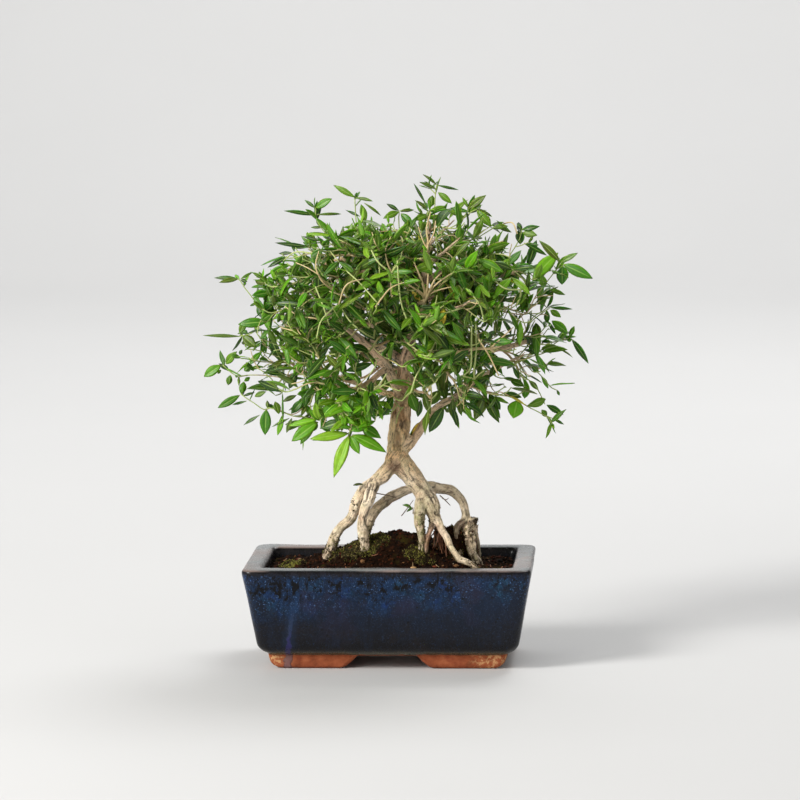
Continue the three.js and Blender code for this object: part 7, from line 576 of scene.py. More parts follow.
    (470, 428, 24, 33, [(-24.9, -27.1, 191.3, 0.42), (-29.6, -31, 190.6, 0.42), (-33.8, -34, 188.8, 0.42), (-41, -34, 181.6, 0.42), (-46.5, -34, 175.8, 0.42)]),
    (471, 5, 37, 34, [(-18.9, -35.1, 191.1, 0.42), (-24.8, -40, 191.3, 0.42), (-25.4, -40, 182.4, 0.42), (-25.3, -40, 173.4, 0.42), (-25.4, -40, 166.7, 0.42)]),
    (472, 5, 26, 35, [(-18.9, -35.1, 191.1, 0.42), (-23.6, -38, 192.9, 0.42), (-22.8, -38, 184.8, 0.42), (-23.4, -38, 177.6, 0.42)]),
    (473, 157, 27, 36, [(-18.6, -47.6, 200.1, 0.42), (-24.3, -47.3, 199.8, 0.42), (-28.3, -46, 197.4, 0.42), (-30.2, -46, 190.3, 0.42), (-32.9, -46, 184.9, 0.42)]),
    (474, 4, 35, 37, [(-8.1, 10.6, 190.8, 0.42), (-9.2, 10, 190.6, 0.42), (-13.7, 10, 189.7, 0.42), (-18.3, 10, 188.8, 0.42)]),
]
# Leaves of the sprigs that stand out of the crown: base, tip, width, curl and shade (0 dark to 3 yellow).
SPRIG_LEAVES = {
    0: [(-50.4, -4, 321.9, -58.3, 0, 327.5, 2.4, 0.05, 0), (-50.1, -4, 321.9, -38.4, -7, 328.8, 5.4, 0.1, 1), (-49.5, -4, 317.4, -32.4, 1, 317.4, 2, 0.3, 0), (-49.8, -4, 317, -72.3, -10, 320.7, 2.9, 0.08, 0), (-45.6, -4, 308.4, -54, -2, 308.3, 1.3, 0, 0)],
    1: [(-23, 3, 328.9, -38.5, 7, 337.4, 4, 0.12, 1), (-22.5, 3, 328.6, -10.1, -1, 326.4, 2.5, 0.12, 0), (-22.8, 3, 328.2, -21.8, 3, 332.5, 1.8, 0, 0), (-15.5, 3, 312.2, -18.8, 3, 324.1, 4.7, 0.1, 1), (-16.3, 3, 324.8, -4.9, 6, 315.5, 1.8, 0.25, 0), (-19.5, 3, 315.4, -30.3, 9, 319.7, 1.4, 0, 0)],
    2: [(-54.4, -8, 295.1, -79.1, -8, 298.1, 2.9, 0.05, 0), (-46.3, -8, 298.9, -60.2, -5, 302.3, 2.4, 0.05, 0), (-67, -8, 290.9, -76.6, -4, 290.1, 2.5, 0, 0)],
    3: [(-69.6, -10, 288.5, -84.1, -10, 280.8, 3.4, 0.1, 0), (-70.6, -10, 280.3, -80.4, -14, 271.9, 6.7, 0.15, 2), (-65.1, -10, 291.9, -67.1, -6, 297.9, 2, 0, 0)],
    4: [(-106.4, 0, 272.3, -123.5, 3, 272.5, 2.9, 0.1, 0), (-106, 0, 271.8, -119.3, -4, 269.8, 3.3, 0.1, 0), (-104.3, 0, 271.8, -95.8, 3, 276.5, 1.3, 0.2, 0), (-104, 0, 271.2, -99.3, -2, 270.1, 2.5, 0, 0), (-93.6, 0, 254.6, -97.9, 0, 252.8, 1.6, 0, 0), (-82.6, 0, 262.3, -95.8, -8, 260.8, 6, 0.1, 1)],
    5: [(-81.3, -14, 260, -84.8, -14, 268.6, 3.6, 0.1, 0), (-80, -14, 254.6, -86.4, -18, 249.6, 7.2, 0.1, 0), (-77.8, -14, 251.9, -69.9, -11, 256.1, 2.7, 0.1, 0), (-77.8, -14, 251, -89.1, -19, 243.5, 6.3, 0.1, 1)],
    6: [(34.7, 0, 337.7, 24.9, 3, 344.9, 2.2, 0.15, 0), (34.2, 0, 334.7, 22.8, -3, 339.9, 2.6, 0.1, 0), (35.2, 0, 337.4, 50.1, 4, 333.7, 1.8, 0.25, 0), (35.8, 0, 332.3, 45.5, -3, 324.6, 4.2, 0.12, 1), (30.3, 0, 322, 31.7, 2, 330.2, 5.4, 0, 1)],
    7: [(27.1, -4, 324.7, 18.8, -2, 338.9, 1.5, 0.1, 0), (28.1, -4, 321.3, 19.7, -6, 327.4, 2.4, 0.1, 0), (29, -4, 318.8, 41.3, -2, 323, 3.4, 0.1, 1), (28.5, -4, 316.8, 18.9, -8, 313.3, 5, 0.1, 1)],
    8: [(7.6, 5, 319.2, -1.2, 7, 324.1, 2.8, 0.1, 0), (7.8, 5, 318.6, -3.2, 1, 314.1, 4.6, 0.1, 1), (8.3, 5, 319, 18.5, 8, 319.5, 2.4, 0.1, 0), (9.2, 5, 317.2, 18.1, 1, 308.6, 5.2, 0.15, 1), (9.2, 5, 318.2, 15.4, 10, 320.6, 1.8, 0, 0)],
    9: [(56.4, 6, 319.9, 69.4, 3, 330.1, 5.4, 0.1, 0), (56.6, 6, 320.9, 52.4, 8, 328.2, 2.4, 0, 1), (57.6, 6, 317.9, 43.6, 10, 320.7, 3, 0.1, 1), (54.6, 6, 314, 41.8, 6, 319, 2.6, 0.1, 1)],
    10: [(62.9, -2, 320, 73.3, -5, 308.3, 5.6, 0.15, 1), (63.9, -2, 321, 73.5, 2, 314.7, 1.8, 0.2, 0), (57.9, -2, 311.6, 71, 1, 307.2, 2, 0.15, 0)],
    11: [(73.8, -6, 307.7, 85.1, -6, 308.9, 3.6, 0.12, 1), (76.8, -6, 308.4, 87.4, -3, 304.2, 2, 0.2, 0), (87, -6, 304.4, 76.6, -6, 313, 1.8, 0.05, 0)],
    12: [(94.1, 2, 305.7, 90.7, 4, 310.2, 2.8, 0, 0), (94.3, 2, 305.7, 107, -1, 308.2, 3.8, 0.15, 0), (94.9, 2, 303.7, 105.3, -2, 301.9, 5.2, 0.1, 1), (93.1, 2, 295.4, 92.1, 5, 305.5, 6.2, 0.1, 0), (95.6, 2, 296.3, 111.8, 2, 287.4, 3.4, 0.15, 0)],
    13: [(121.2, -3, 283.3, 106.2, 1, 298.3, 4.8, 0.12, 0), (121.7, -3, 282.8, 133.8, -6, 289.9, 3.8, 0.1, 1), (123.2, -3, 281.6, 144.1, -8, 271.9, 7.4, 0.1, 1), (122.5, -3, 280.9, 122.3, 0, 267, 8, 0.05, 1), (111.4, -3, 279.9, 114.5, 0, 276.5, 3, 0, 0), (109.8, -3, 265.1, 108, -7, 275.4, 5, 0.15, 1)],
    14: [(113.1, 4, 263.4, 124.6, 4, 259.4, 3.2, 0.15, 0), (111.5, 4, 258.5, 116.4, 7, 261.2, 2, 0.1, 0), (110.6, 4, 258.5, 104.7, 1, 252.9, 6, 0.1, 0)],
    15: [(114.2, -5, 251.3, 129.7, -5, 250.2, 2.4, 0.1, 0), (114.2, -5, 249.5, 121.7, -9, 244.9, 4.2, 0.12, 1), (111.8, -5, 249.5, 111.6, -2, 240.3, 4, 0.1, 0)],
    16: [(115, 0, 241.6, 126.1, 0, 233, 6, 0.12, 1), (112.1, 0, 241.6, 117.5, 4, 231.6, 2.4, 0.1, 0), (103.7, 0, 240.2, 105.7, -3, 229.1, 5.6, 0.1, 0), (105.6, 0, 227.3, 99.3, 4, 217.7, 6.2, 0.1, 1), (107.6, 0, 227.3, 115.4, -4, 227.1, 2.4, 0.05, 0)],
    17: [(127.2, 2, 229.8, 130.7, 5, 237.4, 3.4, 0.1, 1), (128.7, 2, 228.5, 140.7, -1, 211.2, 4.4, 0.08, 0), (125.7, 2, 227.2, 129, 2, 228.2, 2.6, 0, 1), (113.4, 2, 222.6, 117.7, 5, 220.3, 2.8, 0, 0), (112.4, 2, 223.1, 107.6, -1, 222.4, 2, 0, 0)],
    18: [(118.5, -2, 192.7, 120.2, -2, 188.9, 1.4, 0.1, 0), (107.5, -2, 202.7, 112.3, 1, 193.4, 3, 0.1, 2), (105.5, -2, 205.7, 100.7, -5, 210, 4, 0.1, 1)],
    19: [(111.2, -6, 182.7, 123, -6, 175.7, 4.4, 0.12, 0), (98.7, -6, 200.2, 105.5, -3, 192.9, 3.4, 0.15, 1), (96.7, -6, 196.2, 95.8, -9, 187.6, 5.4, 0.05, 1)],
    20: [(116.4, -9, 173.2, 123.5, -9, 169.2, 2, 0.1, 0), (90.8, -9, 186.5, 87.9, -12, 173.9, 10.7, 0.05, 2), (80, -9, 191.5, 93.9, -5, 188, 4.2, 0.1, 0), (107.6, -9, 179.7, 111.4, -6, 174.3, 4, 0.1, 1)],
    21: [(68.1, -3, 190.2, 60.1, -3, 171.2, 7.6, 0.08, 0), (73.6, -3, 188.9, 78.4, 0, 178.4, 3.6, 0.08, 0), (70.9, -3, 189.9, 73.7, -5, 187, 2.6, 0, 0), (85.8, -3, 199.9, 95.7, -6, 196.2, 5, 0.1, 0), (67.5, -3, 198.9, 62.2, -8, 194.5, 9, 0.1, 1)],
    22: [(38.9, -8, 181.7, 28.4, -8, 163.6, 7.8, 0.08, 0), (36.5, -8, 193.1, 28.7, -11, 183.4, 7.2, 0.1, 0), (45.3, -8, 181.7, 48.7, -6, 166.9, 3.4, 0.1, 0), (45.4, -8, 187.6, 44.9, -5, 174.3, 4.6, 0.05, 0), (49.8, -8, 188.1, 51.6, -11, 175.5, 3, 0.05, 0), (53.3, -8, 187.6, 55.4, -8, 181.6, 2.6, 0.35, 0)],
    23: [(15.6, -14, 191.9, 20.2, -14, 179, 7.2, 0.1, 1), (23, -14, 187.4, 20.7, -11, 174.9, 4.6, 0.05, 0), (20.3, -14, 189.9, 28.7, -9, 189, 1.4, 0.1, 0)],
    24: [(16.7, 3, 156.8, 21.8, 3, 170.1, 6.2, 0.12, 3)],
    25: [(-105.5, 0, 231.2, -131.9, 0, 231.9, 2.5, 0.04, 0), (-103.4, 0, 231.5, -93.4, -4, 223.7, 7.2, 0.1, 0), (-105.6, 0, 233.3, -101.1, 3, 242.5, 4.7, 0.1, 1), (-103.9, 0, 225.6, -103, 4, 226.5, 2.7, 0, 0)],
    26: [(-104.6, 6, 220.9, -106.5, 6, 217.5, 2.4, 0.2, 0), (-89.1, 6, 228.5, -91.5, 9, 217.8, 2.5, 0.1, 0), (-91, 6, 219.5, -99.5, 3, 210.3, 4.2, 0.1, 1)],
    27: [(-97.4, -4, 210.6, -102.4, -4, 207, 5.4, 0.1, 1), (-95.6, -4, 207, -101, -4, 213.4, 3.1, 0.1, 1), (-75.7, -4, 211.9, -86.1, -4, 209.5, 2.9, 0.1, 0), (-74.8, -4, 211, -86.4, -4, 206.4, 2.9, 0.1, 0), (-71.2, -4, 211.9, -75.6, -4, 206.8, 2.4, 0, 0)],
    28: [(-119.5, 4, 210.2, -131.9, 4, 202, 6.5, 0.1, 1), (-115.9, 4, 211.1, -107.6, 0, 220.6, 5.4, 0.15, 1), (-112.8, 4, 203.2, -114.8, 4, 195.9, 4.2, 0.05, 0), (-119.6, 4, 207, -122.1, 4, 204.1, 2, 0, 0), (-102, 4, 201.5, -100.2, 4, 198.8, 4.5, 0, 1)],
    29: [(-106.1, 0, 189.3, -122, 0, 180.2, 5.1, 0.1, 1), (-104.9, 0, 190, -103.3, 3, 198.7, 5.1, 0.1, 1), (-103.6, 0, 188.8, -95.4, 0, 191.3, 1.6, 0.2, 0), (-101.3, 0, 185.1, -112.3, 4, 181.9, 1.6, 0, 0), (-95.4, 0, 188.4, -86.9, -3, 192.3, 3.6, 0.1, 1)],
    30: [(-87.1, -3, 179.6, -88.2, -3, 161.2, 7.6, 0.03, 1), (-91.7, -3, 175.5, -103.9, 0, 167.8, 2.4, 0.06, 0), (-86.1, -3, 180.5, -86.5, -1, 185.7, 2.5, 0, 0), (-80.7, -3, 185.1, -77.7, -7, 176.5, 4.7, 0.1, 0), (-75.2, -3, 185.1, -65.2, -3, 189.6, 3.4, 0.1, 0)],
    31: [(-74.7, -10, 174.9, -78.7, -10, 161.8, 3.8, 0.06, 2), (-68.4, -10, 174.1, -72.3, -10, 163.6, 3.3, 0.05, 0), (-60.1, -10, 187.2, -68.8, -10, 177.3, 5.6, 0.1, 1), (-70.2, -10, 174.1, -82.9, -10, 167.8, 1.3, 0.05, 0)],
    32: [(-57.2, -22, 202.7, -57.2, -25, 183.2, 6, 0.04, 1), (-63.2, -22, 209, -69, -20, 196.2, 5.4, 0.1, 0), (-59.6, -22, 215.3, -64.8, -25, 205.8, 6.3, 0.1, 2), (-59.6, -22, 215.3, -75.1, -27, 227.6, 6.3, 0.12, 2), (-56.9, -22, 215.3, -51, -19, 206.8, 4.5, 0.1, 1)],
    33: [(-47.8, -34, 174.5, -66.2, -38, 161.3, 8.3, 0.1, 2), (-48.7, -34, 176.1, -68.9, -34, 171.6, 4.7, 0.08, 2), (-46.9, -34, 176.2, -49.5, -38, 189.3, 6.3, 0.1, 2), (-45.6, -34, 177.1, -35.2, -39, 188.5, 7.2, 0.1, 2), (-46, -34, 175.3, -39.7, -31, 166.9, 5.4, 0.1, 1), (-47.4, -34, 175.4, -54.2, -37, 184.7, 3.6, 0.1, 2)],
    34: [(-25.4, -40, 166.2, -36.4, -45, 136.6, 8, 0.12, 2), (-24.7, -40, 165.8, -18.3, -43, 153, 6.3, 0.08, 2), (-23.8, -40, 166.2, 0.5, -42, 153.9, 8, 0.1, 2), (-26, -40, 167.1, -53, -45, 163.9, 6.5, 0.08, 2), (-27.3, -40, 168, -51.8, -37, 161.8, 3.6, 0.08, 2), (-24.6, -40, 168.9, -11.5, -36, 175.6, 8.1, 0.1, 2)],
    35: [(-23.8, -38, 176.7, -11.8, -42, 184.4, 7.2, 0.1, 2), (-17.6, -38, 172.2, -3.2, -41, 163.8, 7.4, 0.1, 1), (-22.9, -38, 175.8, -32.3, -42, 184.4, 6.3, 0.1, 2), (-23.4, -38, 174.9, -37.5, -34, 179.8, 5.4, 0.1, 2), (-14.9, -38, 180.3, 4.4, -32, 181.8, 5.6, 0.06, 0), (-23.8, -38, 177.6, -17.3, -40, 188.6, 4.5, 0.1, 2)],
    36: [(-32.9, -46, 184.9, -45, -49, 192.5, 5.4, 0.1, 2), (-32.9, -46, 184.5, -43.2, -51, 180.2, 5.4, 0.1, 2), (-32.4, -46, 184.9, -22.8, -50, 186.3, 5.1, 0.1, 2), (-32, -46, 185.8, -25.7, -46, 194.7, 5.4, 0.1, 1), (-33.3, -46, 184, -32.1, -46, 174.2, 4.2, 0.1, 1)],
    37: [(-6.4, 10, 198.8, -25.6, 10, 187, 7.2, 0.1, 0), (-12.6, 10, 210.6, -32, 14, 204.8, 5.4, 0.1, 0)],
}

# ---------------------------------------------------------------- small tools
def lattice(i, j, k, seed):
    h = (i * 73856093) ^ (j * 19349663) ^ (k * 83492791) ^ (seed * 26544357)
    h = (h ^ (h >> 13)) * 1274126177
    h = h ^ (h >> 16)
    h = (h * 668265263) & 0x7FFFFFFF
    return ((h >> 7) & 0xFFFFF) / float(0xFFFFF)


def noise(p, seed=0):
    """Smooth value noise from -1 to 1 at the points p, one lattice cell per unit."""
    p = np.asarray(p, float)
    f = np.floor(p)
    i, j, k = (f[:, n].astype(np.int64) for n in range(3))
    t = p - f
    t = t * t * t * (t * (t * 6 - 15) + 10)
    x, y, z = t[:, 0], t[:, 1], t[:, 2]
    out = 0.0
    for a in (0, 1):
        wx = x if a else 1 - x
        for b in (0, 1):
            wy = y if b else 1 - y
            for c in (0, 1):
                wz = z if c else 1 - z
                out = out + wx * wy * wz * lattice(i + a, j + b, k + c, seed)
    return out * 2 - 1


def fbm(p, seed=0, octaves=4, gain=0.5):
    out, amp, tot = 0.0, 1.0, 0.0
    p = np.asarray(p, float)
    for n in range(octaves):
        out = out + amp * noise(p, seed + 17 * n)
        tot += amp
        amp *= gain
        p = p * 2.03 + 5.7
    return out / tot


def smooth_step(a, b, x):
    t = np.clip((np.asarray(x, float) - a) / (b - a), 0, 1)
    return t * t * (3 - 2 * t)


def unit(v):
    v = np.asarray(v, float)
    n = np.linalg.norm(v, axis=-1, keepdims=True)
    return v / np.maximum(n, 1e-9)


def resample(points, step, least=3):
    """A smooth curve through the points (x, y, z, radius), with a point about every step mm."""
    p = np.asarray(points, float)
    if len(p) == 2:
        p = np.array([p[0], 0.5 * (p[0] + p[1]), p[1]])
    first = 2 * p[0] - p[1]
    last = 2 * p[-1] - p[-2]
    q = np.vstack([first, p, last])
    out = []
    for n in range(len(p) - 1):
        a, b, c, d = q[n], q[n + 1], q[n + 2], q[n + 3]
        t = np.linspace(0, 1, 9)[:-1, None]
        out.append(
            0.5 * (2 * b + (c - a) * t + (2 * a - 5 * b + 4 * c - d) * t**2 + (3 * b - a - 3 * c + d) * t**3)
        )
    fine = np.vstack(out + [p[-1:]])
    seg = np.linalg.norm(np.diff(fine[:, :3], axis=0), axis=1)
    s = np.r_[0, np.cumsum(seg)]
    count = max(least, int(round(s[-1] / step)) + 1)
    at = np.linspace(0, s[-1], count)
    res = np.stack([np.interp(at, s, fine[:, k]) for k in range(4)], 1)
    lo, hi = p[:, 3].min(), p[:, 3].max()
    res[:, 3] = np.clip(res[:, 3], lo, hi)
    return res


def frames_along(p):
    """Tangent and two turning-free normals at each point of a curve."""
    t = np.gradient(p, axis=0)
    t = unit(t)
    ref = np.array([0.0, 0, 1]) if abs(t[0, 2]) < 0.9 else np.array([1.0, 0, 0])
    n = np.cross(t[0], ref)
    n /= np.linalg.norm(n)
    normals = [n]
    for k in range(1, len(p)):
        n = normals[-1] - t[k] * (normals[-1] @ t[k])
        n /= max(np.linalg.norm(n), 1e-9)
        normals.append(n)
    normals = np.array(normals)
    return t, normals, np.cross(t, normals)


def tube(curve, sides, shape=None):
    """A closed tube round a curve (x, y, z, radius): its points, quads and end triangles."""
    c = np.asarray(curve, float)
    t, n, b = frames_along(c[:, :3])
    m = len(c)
    ang = np.linspace(0, 2 * math.pi, sides, endpoint=False)
    r = c[:, 3][:, None] * (np.ones((m, sides)) if shape is None else shape(c, ang))
    ring = c[:, None, :3] + r[:, :, None] * (
        np.cos(ang)[None, :, None] * n[:, None, :] + np.sin(ang)[None, :, None] * b[:, None, :]
    )
    v = ring.reshape(-1, 3)
    k = np.arange(m - 1)[:, None] * sides
    s = np.arange(sides)[None, :]
    s1 = (s + 1) % sides
    quads = np.stack([k + s, k + s1, k + sides + s1, k + sides + s], -1).reshape(-1, 4)
    start, end = len(v), len(v) + 1
    tip = c[-1, :3] + t[-1] * c[-1, 3] * 0.8
    v = np.vstack([v, c[0, :3] - t[0] * c[0, 3] * 0.5, tip])
    s = np.arange(sides)
    s1 = (s + 1) % sides
    tris = np.vstack(
        [
            np.stack([np.full(sides, start), s1, s], -1),
            np.stack([np.full(sides, end), (m - 1) * sides + s, (m - 1) * sides + s1], -1),
        ]
    )
    return v, quads, tris


class Heap:
    """Collects closed shells, with values at their points, into one mesh."""

    def __init__(self):
        self.v, self.q, self.t, self.n, self.a, self.mq, self.mt = [], [], [], 0, {}, [], []

    def add(self, v, quads=None, tris=None, mat=0, **values):
        self.v.append(v)
        if quads is not None and len(quads):
            self.q.append(quads + self.n)
            self.mq.append(np.full(len(quads), mat))
        if tris is not None and len(tris):
            self.t.append(tris + self.n)
            self.mt.append(np.full(len(tris), mat))
        for k, a in values.items():
            self.a.setdefault(k, []).append(np.broadcast_to(np.asarray(a, float), (len(v), np.shape(a)[-1])))
        self.n += len(v)

    def arrays(self):
        v = np.vstack(self.v)
        q = np.vstack(self.q) if self.q else np.zeros((0, 4), int)
        t = np.vstack(self.t) if self.t else np.zeros((0, 3), int)
        m = np.concatenate(self.mq + self.mt) if self.mq or self.mt else None
        return v, q, t, m, {k: np.vstack(a) for k, a in self.a.items()}


def mesh_piece(name, v, quads, tris, mats, index=None, values=None, uv=None, smooth=True, place=True):
    """A Blender object from arrays in millimetres. uv holds one pair per corner, quads first."""
    me = bpy.data.meshes.new(name)
    v = (np.asarray(v, float) + (PLACE if place else 0)) / 1000.0
    nq, nt = len(quads), len(tris)
    loops = np.concatenate([np.asarray(quads, int).ravel(), np.asarray(tris, int).ravel()])
    sizes = np.concatenate([np.full(nq, 4), np.full(nt, 3)])
    starts = np.concatenate([[0], np.cumsum(sizes)[:-1]]) if len(sizes) else np.zeros(0)
    me.vertices.add(len(v))
    me.vertices.foreach_set("co", v.astype(np.float32).ravel())
    me.loops.add(len(loops))
    me.loops.foreach_set("vertex_index", loops.astype(np.int32))
    me.polygons.add(nq + nt)
    me.polygons.foreach_set("loop_start", starts.astype(np.int32))
    me.polygons.foreach_set("loop_total", sizes.astype(np.int32))
    me.polygons.foreach_set("use_smooth", np.full(nq + nt, smooth))
    for m in mats:
        me.materials.append(m)
    if index is not None:
        me.polygons.foreach_set("material_index", np.asarray(index, np.int32))
    me.update(calc_edges=True)
    me.validate()
    for key, a in (values or {}).items():
        if a.shape[1] == 4:
            at = me.attributes.new(key, "FLOAT_COLOR", "POINT")
            at.data.foreach_set("color", a.astype(np.float32).ravel())
        else:
            at = me.attributes.new(key, "FLOAT_VECTOR", "POINT")
            at.data.foreach_set("vector", a.astype(np.float32).ravel())
    if uv is not None:
        layer = me.uv_layers.new(name="OFBake")
        layer.data.foreach_set("uv", np.asarray(uv, np.float32).ravel())
    ob = bpy.data.objects.new(name, me)
    bpy.context.scene.collection.objects.link(ob)
    return ob


def carried(ob, slot, *nodes):
    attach(ob, "root")
    if nodes:
        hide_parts(*nodes)
    return ob


def evaluated(ob, name):
    """The object's mesh with its modifiers applied, as arrays in millimetres from the pot's middle."""
    dg = bpy.context.evaluated_depsgraph_get()
    me = bpy.data.meshes.new_from_object(ob.evaluated_get(dg))
    v = np.empty(len(me.vertices) * 3, np.float32)
    me.vertices.foreach_get("co", v)
    v = v.reshape(-1, 3).astype(float) * 1000.0 - PLACE
    sizes = np.empty(len(me.polygons), np.int32)
    me.polygons.foreach_get("loop_total", sizes)
    me.calc_loop_triangles()
    tri = np.empty(len(me.loop_triangles) * 3, np.int32)
    me.loop_triangles.foreach_get("vertices", tri)
    loops = np.empty(len(me.loops), np.int32)
    me.loops.foreach_get("vertex_index", loops)
    only_quads = len(sizes) and (sizes == 4).all()
    quads = loops.reshape(-1, 4) if only_quads else None
    tri = tri.reshape(-1, 3)
    old = ob.data
    bpy.data.objects.remove(ob)
    bpy.data.meshes.remove(old)
    bpy.data.meshes.remove(me)
    return v, quads, tri


def neighbours_mean(v, faces, times, keep=None, pull=0.5):
    """Laplace smoothing of a mesh held as arrays."""
    k = faces.shape[1]
    a = faces.ravel()
    b = np.roll(faces, -1, axis=1).ravel()
    i = np.concatenate([a, b])
    j = np.concatenate([b, a])
    deg = np.bincount(i, minlength=len(v)).astype(float)
    for _ in range(times):
        s = np.stack([np.bincount(i, weights=v[j, c], minlength=len(v)) for c in range(3)], 1)
        m = s / np.maximum(deg, 1)[:, None]
        d = (m - v) * pull
        if keep is not None:
            d *= (1 - keep)[:, None]
        v = v + d
    return v


def point_normals(v, faces):
    a, b, c = v[faces[:, 0]], v[faces[:, 1]], v[faces[:, 2]]
    n = np.cross(b - a, c - a)
    if faces.shape[1] == 4:
        n = n + np.cross(c - a, v[faces[:, 3]] - a)
    out = np.zeros_like(v)
    for k in range(faces.shape[1]):
        for c in range(3):
            out[:, c] += np.bincount(faces[:, k], weights=n[:, c], minlength=len(v))
    return unit(out)


# ---------------------------------------------------------------- materials
def srgb(r, g, b):
    """Linear colour from 0 to 255 display values."""
    out = []
    for c in (r, g, b):
        c /= 255.0
        out.append(c / 12.92 if c <= 0.04045 else ((c + 0.055) / 1.055) ** 2.4)
    return tuple(out)


class Nodes:
    def __init__(self, name, rough=0.5):
        self.mat = bpy.data.materials.new(name)
        self.mat.use_nodes = True
        self.tree = self.mat.node_tree
        self.tree.nodes.clear()
        self.out = self.tree.nodes.new("ShaderNodeOutputMaterial")
        self.bsdf = self.tree.nodes.new("ShaderNodeBsdfPrincipled")
        self.tree.links.new(self.bsdf.outputs[0], self.out.inputs[0])
        self.bsdf.inputs["Roughness"].default_value = rough

    def new(self, kind, **settings):
        n = self.tree.nodes.new(kind)
        for k, v in settings.items():
            setattr(n, k, v)
        return n

    def link(self, a, b):
        self.tree.links.new(a, b)

    def feed(self, socket, value):
        if hasattr(value, "links"):
            self.link(value, socket)
        elif isinstance(value, (tuple, list)) and len(value) == 3 and socket.type == "RGBA":
            socket.default_value = (*value, 1)
        else:
            socket.default_value = value

    def place(self):
        return self.new("ShaderNodeTexCoord").outputs["Object"]

    def attribute(self, name, out="Vector"):
        return self.new("ShaderNodeAttribute", attribute_name=name).outputs[out]

    def scaled(self, vec, s):
        n = self.new("ShaderNodeVectorMath", operation="MULTIPLY")
        self.link(vec, n.inputs[0])
        n.inputs[1].default_value = s
        return n.outputs[0]

    def parts(self, vec):
        n = self.new("ShaderNodeSeparateXYZ")
        self.link(vec, n.inputs[0])
        return n.outputs

    def noise(self, vec, scale, detail=4, rough=0.55, distort=0.0, lac=2.0):
        n = self.new("ShaderNodeTexNoise")
        self.link(vec, n.inputs["Vector"])
        n.inputs["Scale"].default_value = scale
        n.inputs["Detail"].default_value = detail
        n.inputs["Roughness"].default_value = rough
        n.inputs["Lacunarity"].default_value = lac
        n.inputs["Distortion"].default_value = distort
        return n.outputs[0]

    def cells(self, vec, scale, feature="F1", out="Distance", rand=1.0):
        n = self.new("ShaderNodeTexVoronoi", feature=feature)
        self.link(vec, n.inputs["Vector"])
        n.inputs["Scale"].default_value = scale
        n.inputs["Randomness"].default_value = rand
        return n.outputs[out]

    def math(self, op, a, b=0.0, c=0.0, clamp=False):
        n = self.new("ShaderNodeMath", operation=op, use_clamp=clamp)
        for k, x in enumerate((a, b, c)):
            self.feed(n.inputs[k], x)
        return n.outputs[0]

    def span(self, x, a, b, to0=0.0, to1=1.0, smooth=True):
        n = self.new("ShaderNodeMapRange", interpolation_type="SMOOTHSTEP" if smooth else "LINEAR")
        self.feed(n.inputs[0], x)
        for k, v in enumerate((a, b, to0, to1)):
            self.feed(n.inputs[1 + k], v)
        return n.outputs[0]

    def mix(self, fac, a, b, kind="MIX"):
        n = self.new("ShaderNodeMix", data_type="RGBA", blend_type=kind)
        self.feed(n.inputs[0], fac)
        self.feed(n.inputs[6], a)
        self.feed(n.inputs[7], b)
        return n.outputs[2]

    def ramp(self, x, stops):
        n = self.new("ShaderNodeValToRGB")
        self.feed(n.inputs[0], x)
        e = n.color_ramp.elements
        while len(e) < len(stops):
            e.new(0.5)
        for k, (at, col) in enumerate(stops):
            e[k].position = at
            e[k].color = (*col, 1)
        return n.outputs[0]

    def bump(self, height, strength=0.5, distance=0.0004, normal=None):
        n = self.new("ShaderNodeBump")
        n.inputs["Strength"].default_value = strength
        n.inputs["Distance"].default_value = distance
        self.link(height, n.inputs["Height"])
        if normal is not None:
            self.link(normal, n.inputs["Normal"])
        return n.outputs[0]

    def finish(self, color=None, rough=None, normal=None, **sockets):
        if color is not None:
            self.feed(self.bsdf.inputs["Base Color"], color)
        if rough is not None:
            self.feed(self.bsdf.inputs["Roughness"], rough)
        if normal is not None:
            self.link(normal, self.bsdf.inputs["Normal"])
        for k, v in sockets.items():
            self.feed(self.bsdf.inputs[k], v)
        return self.mat


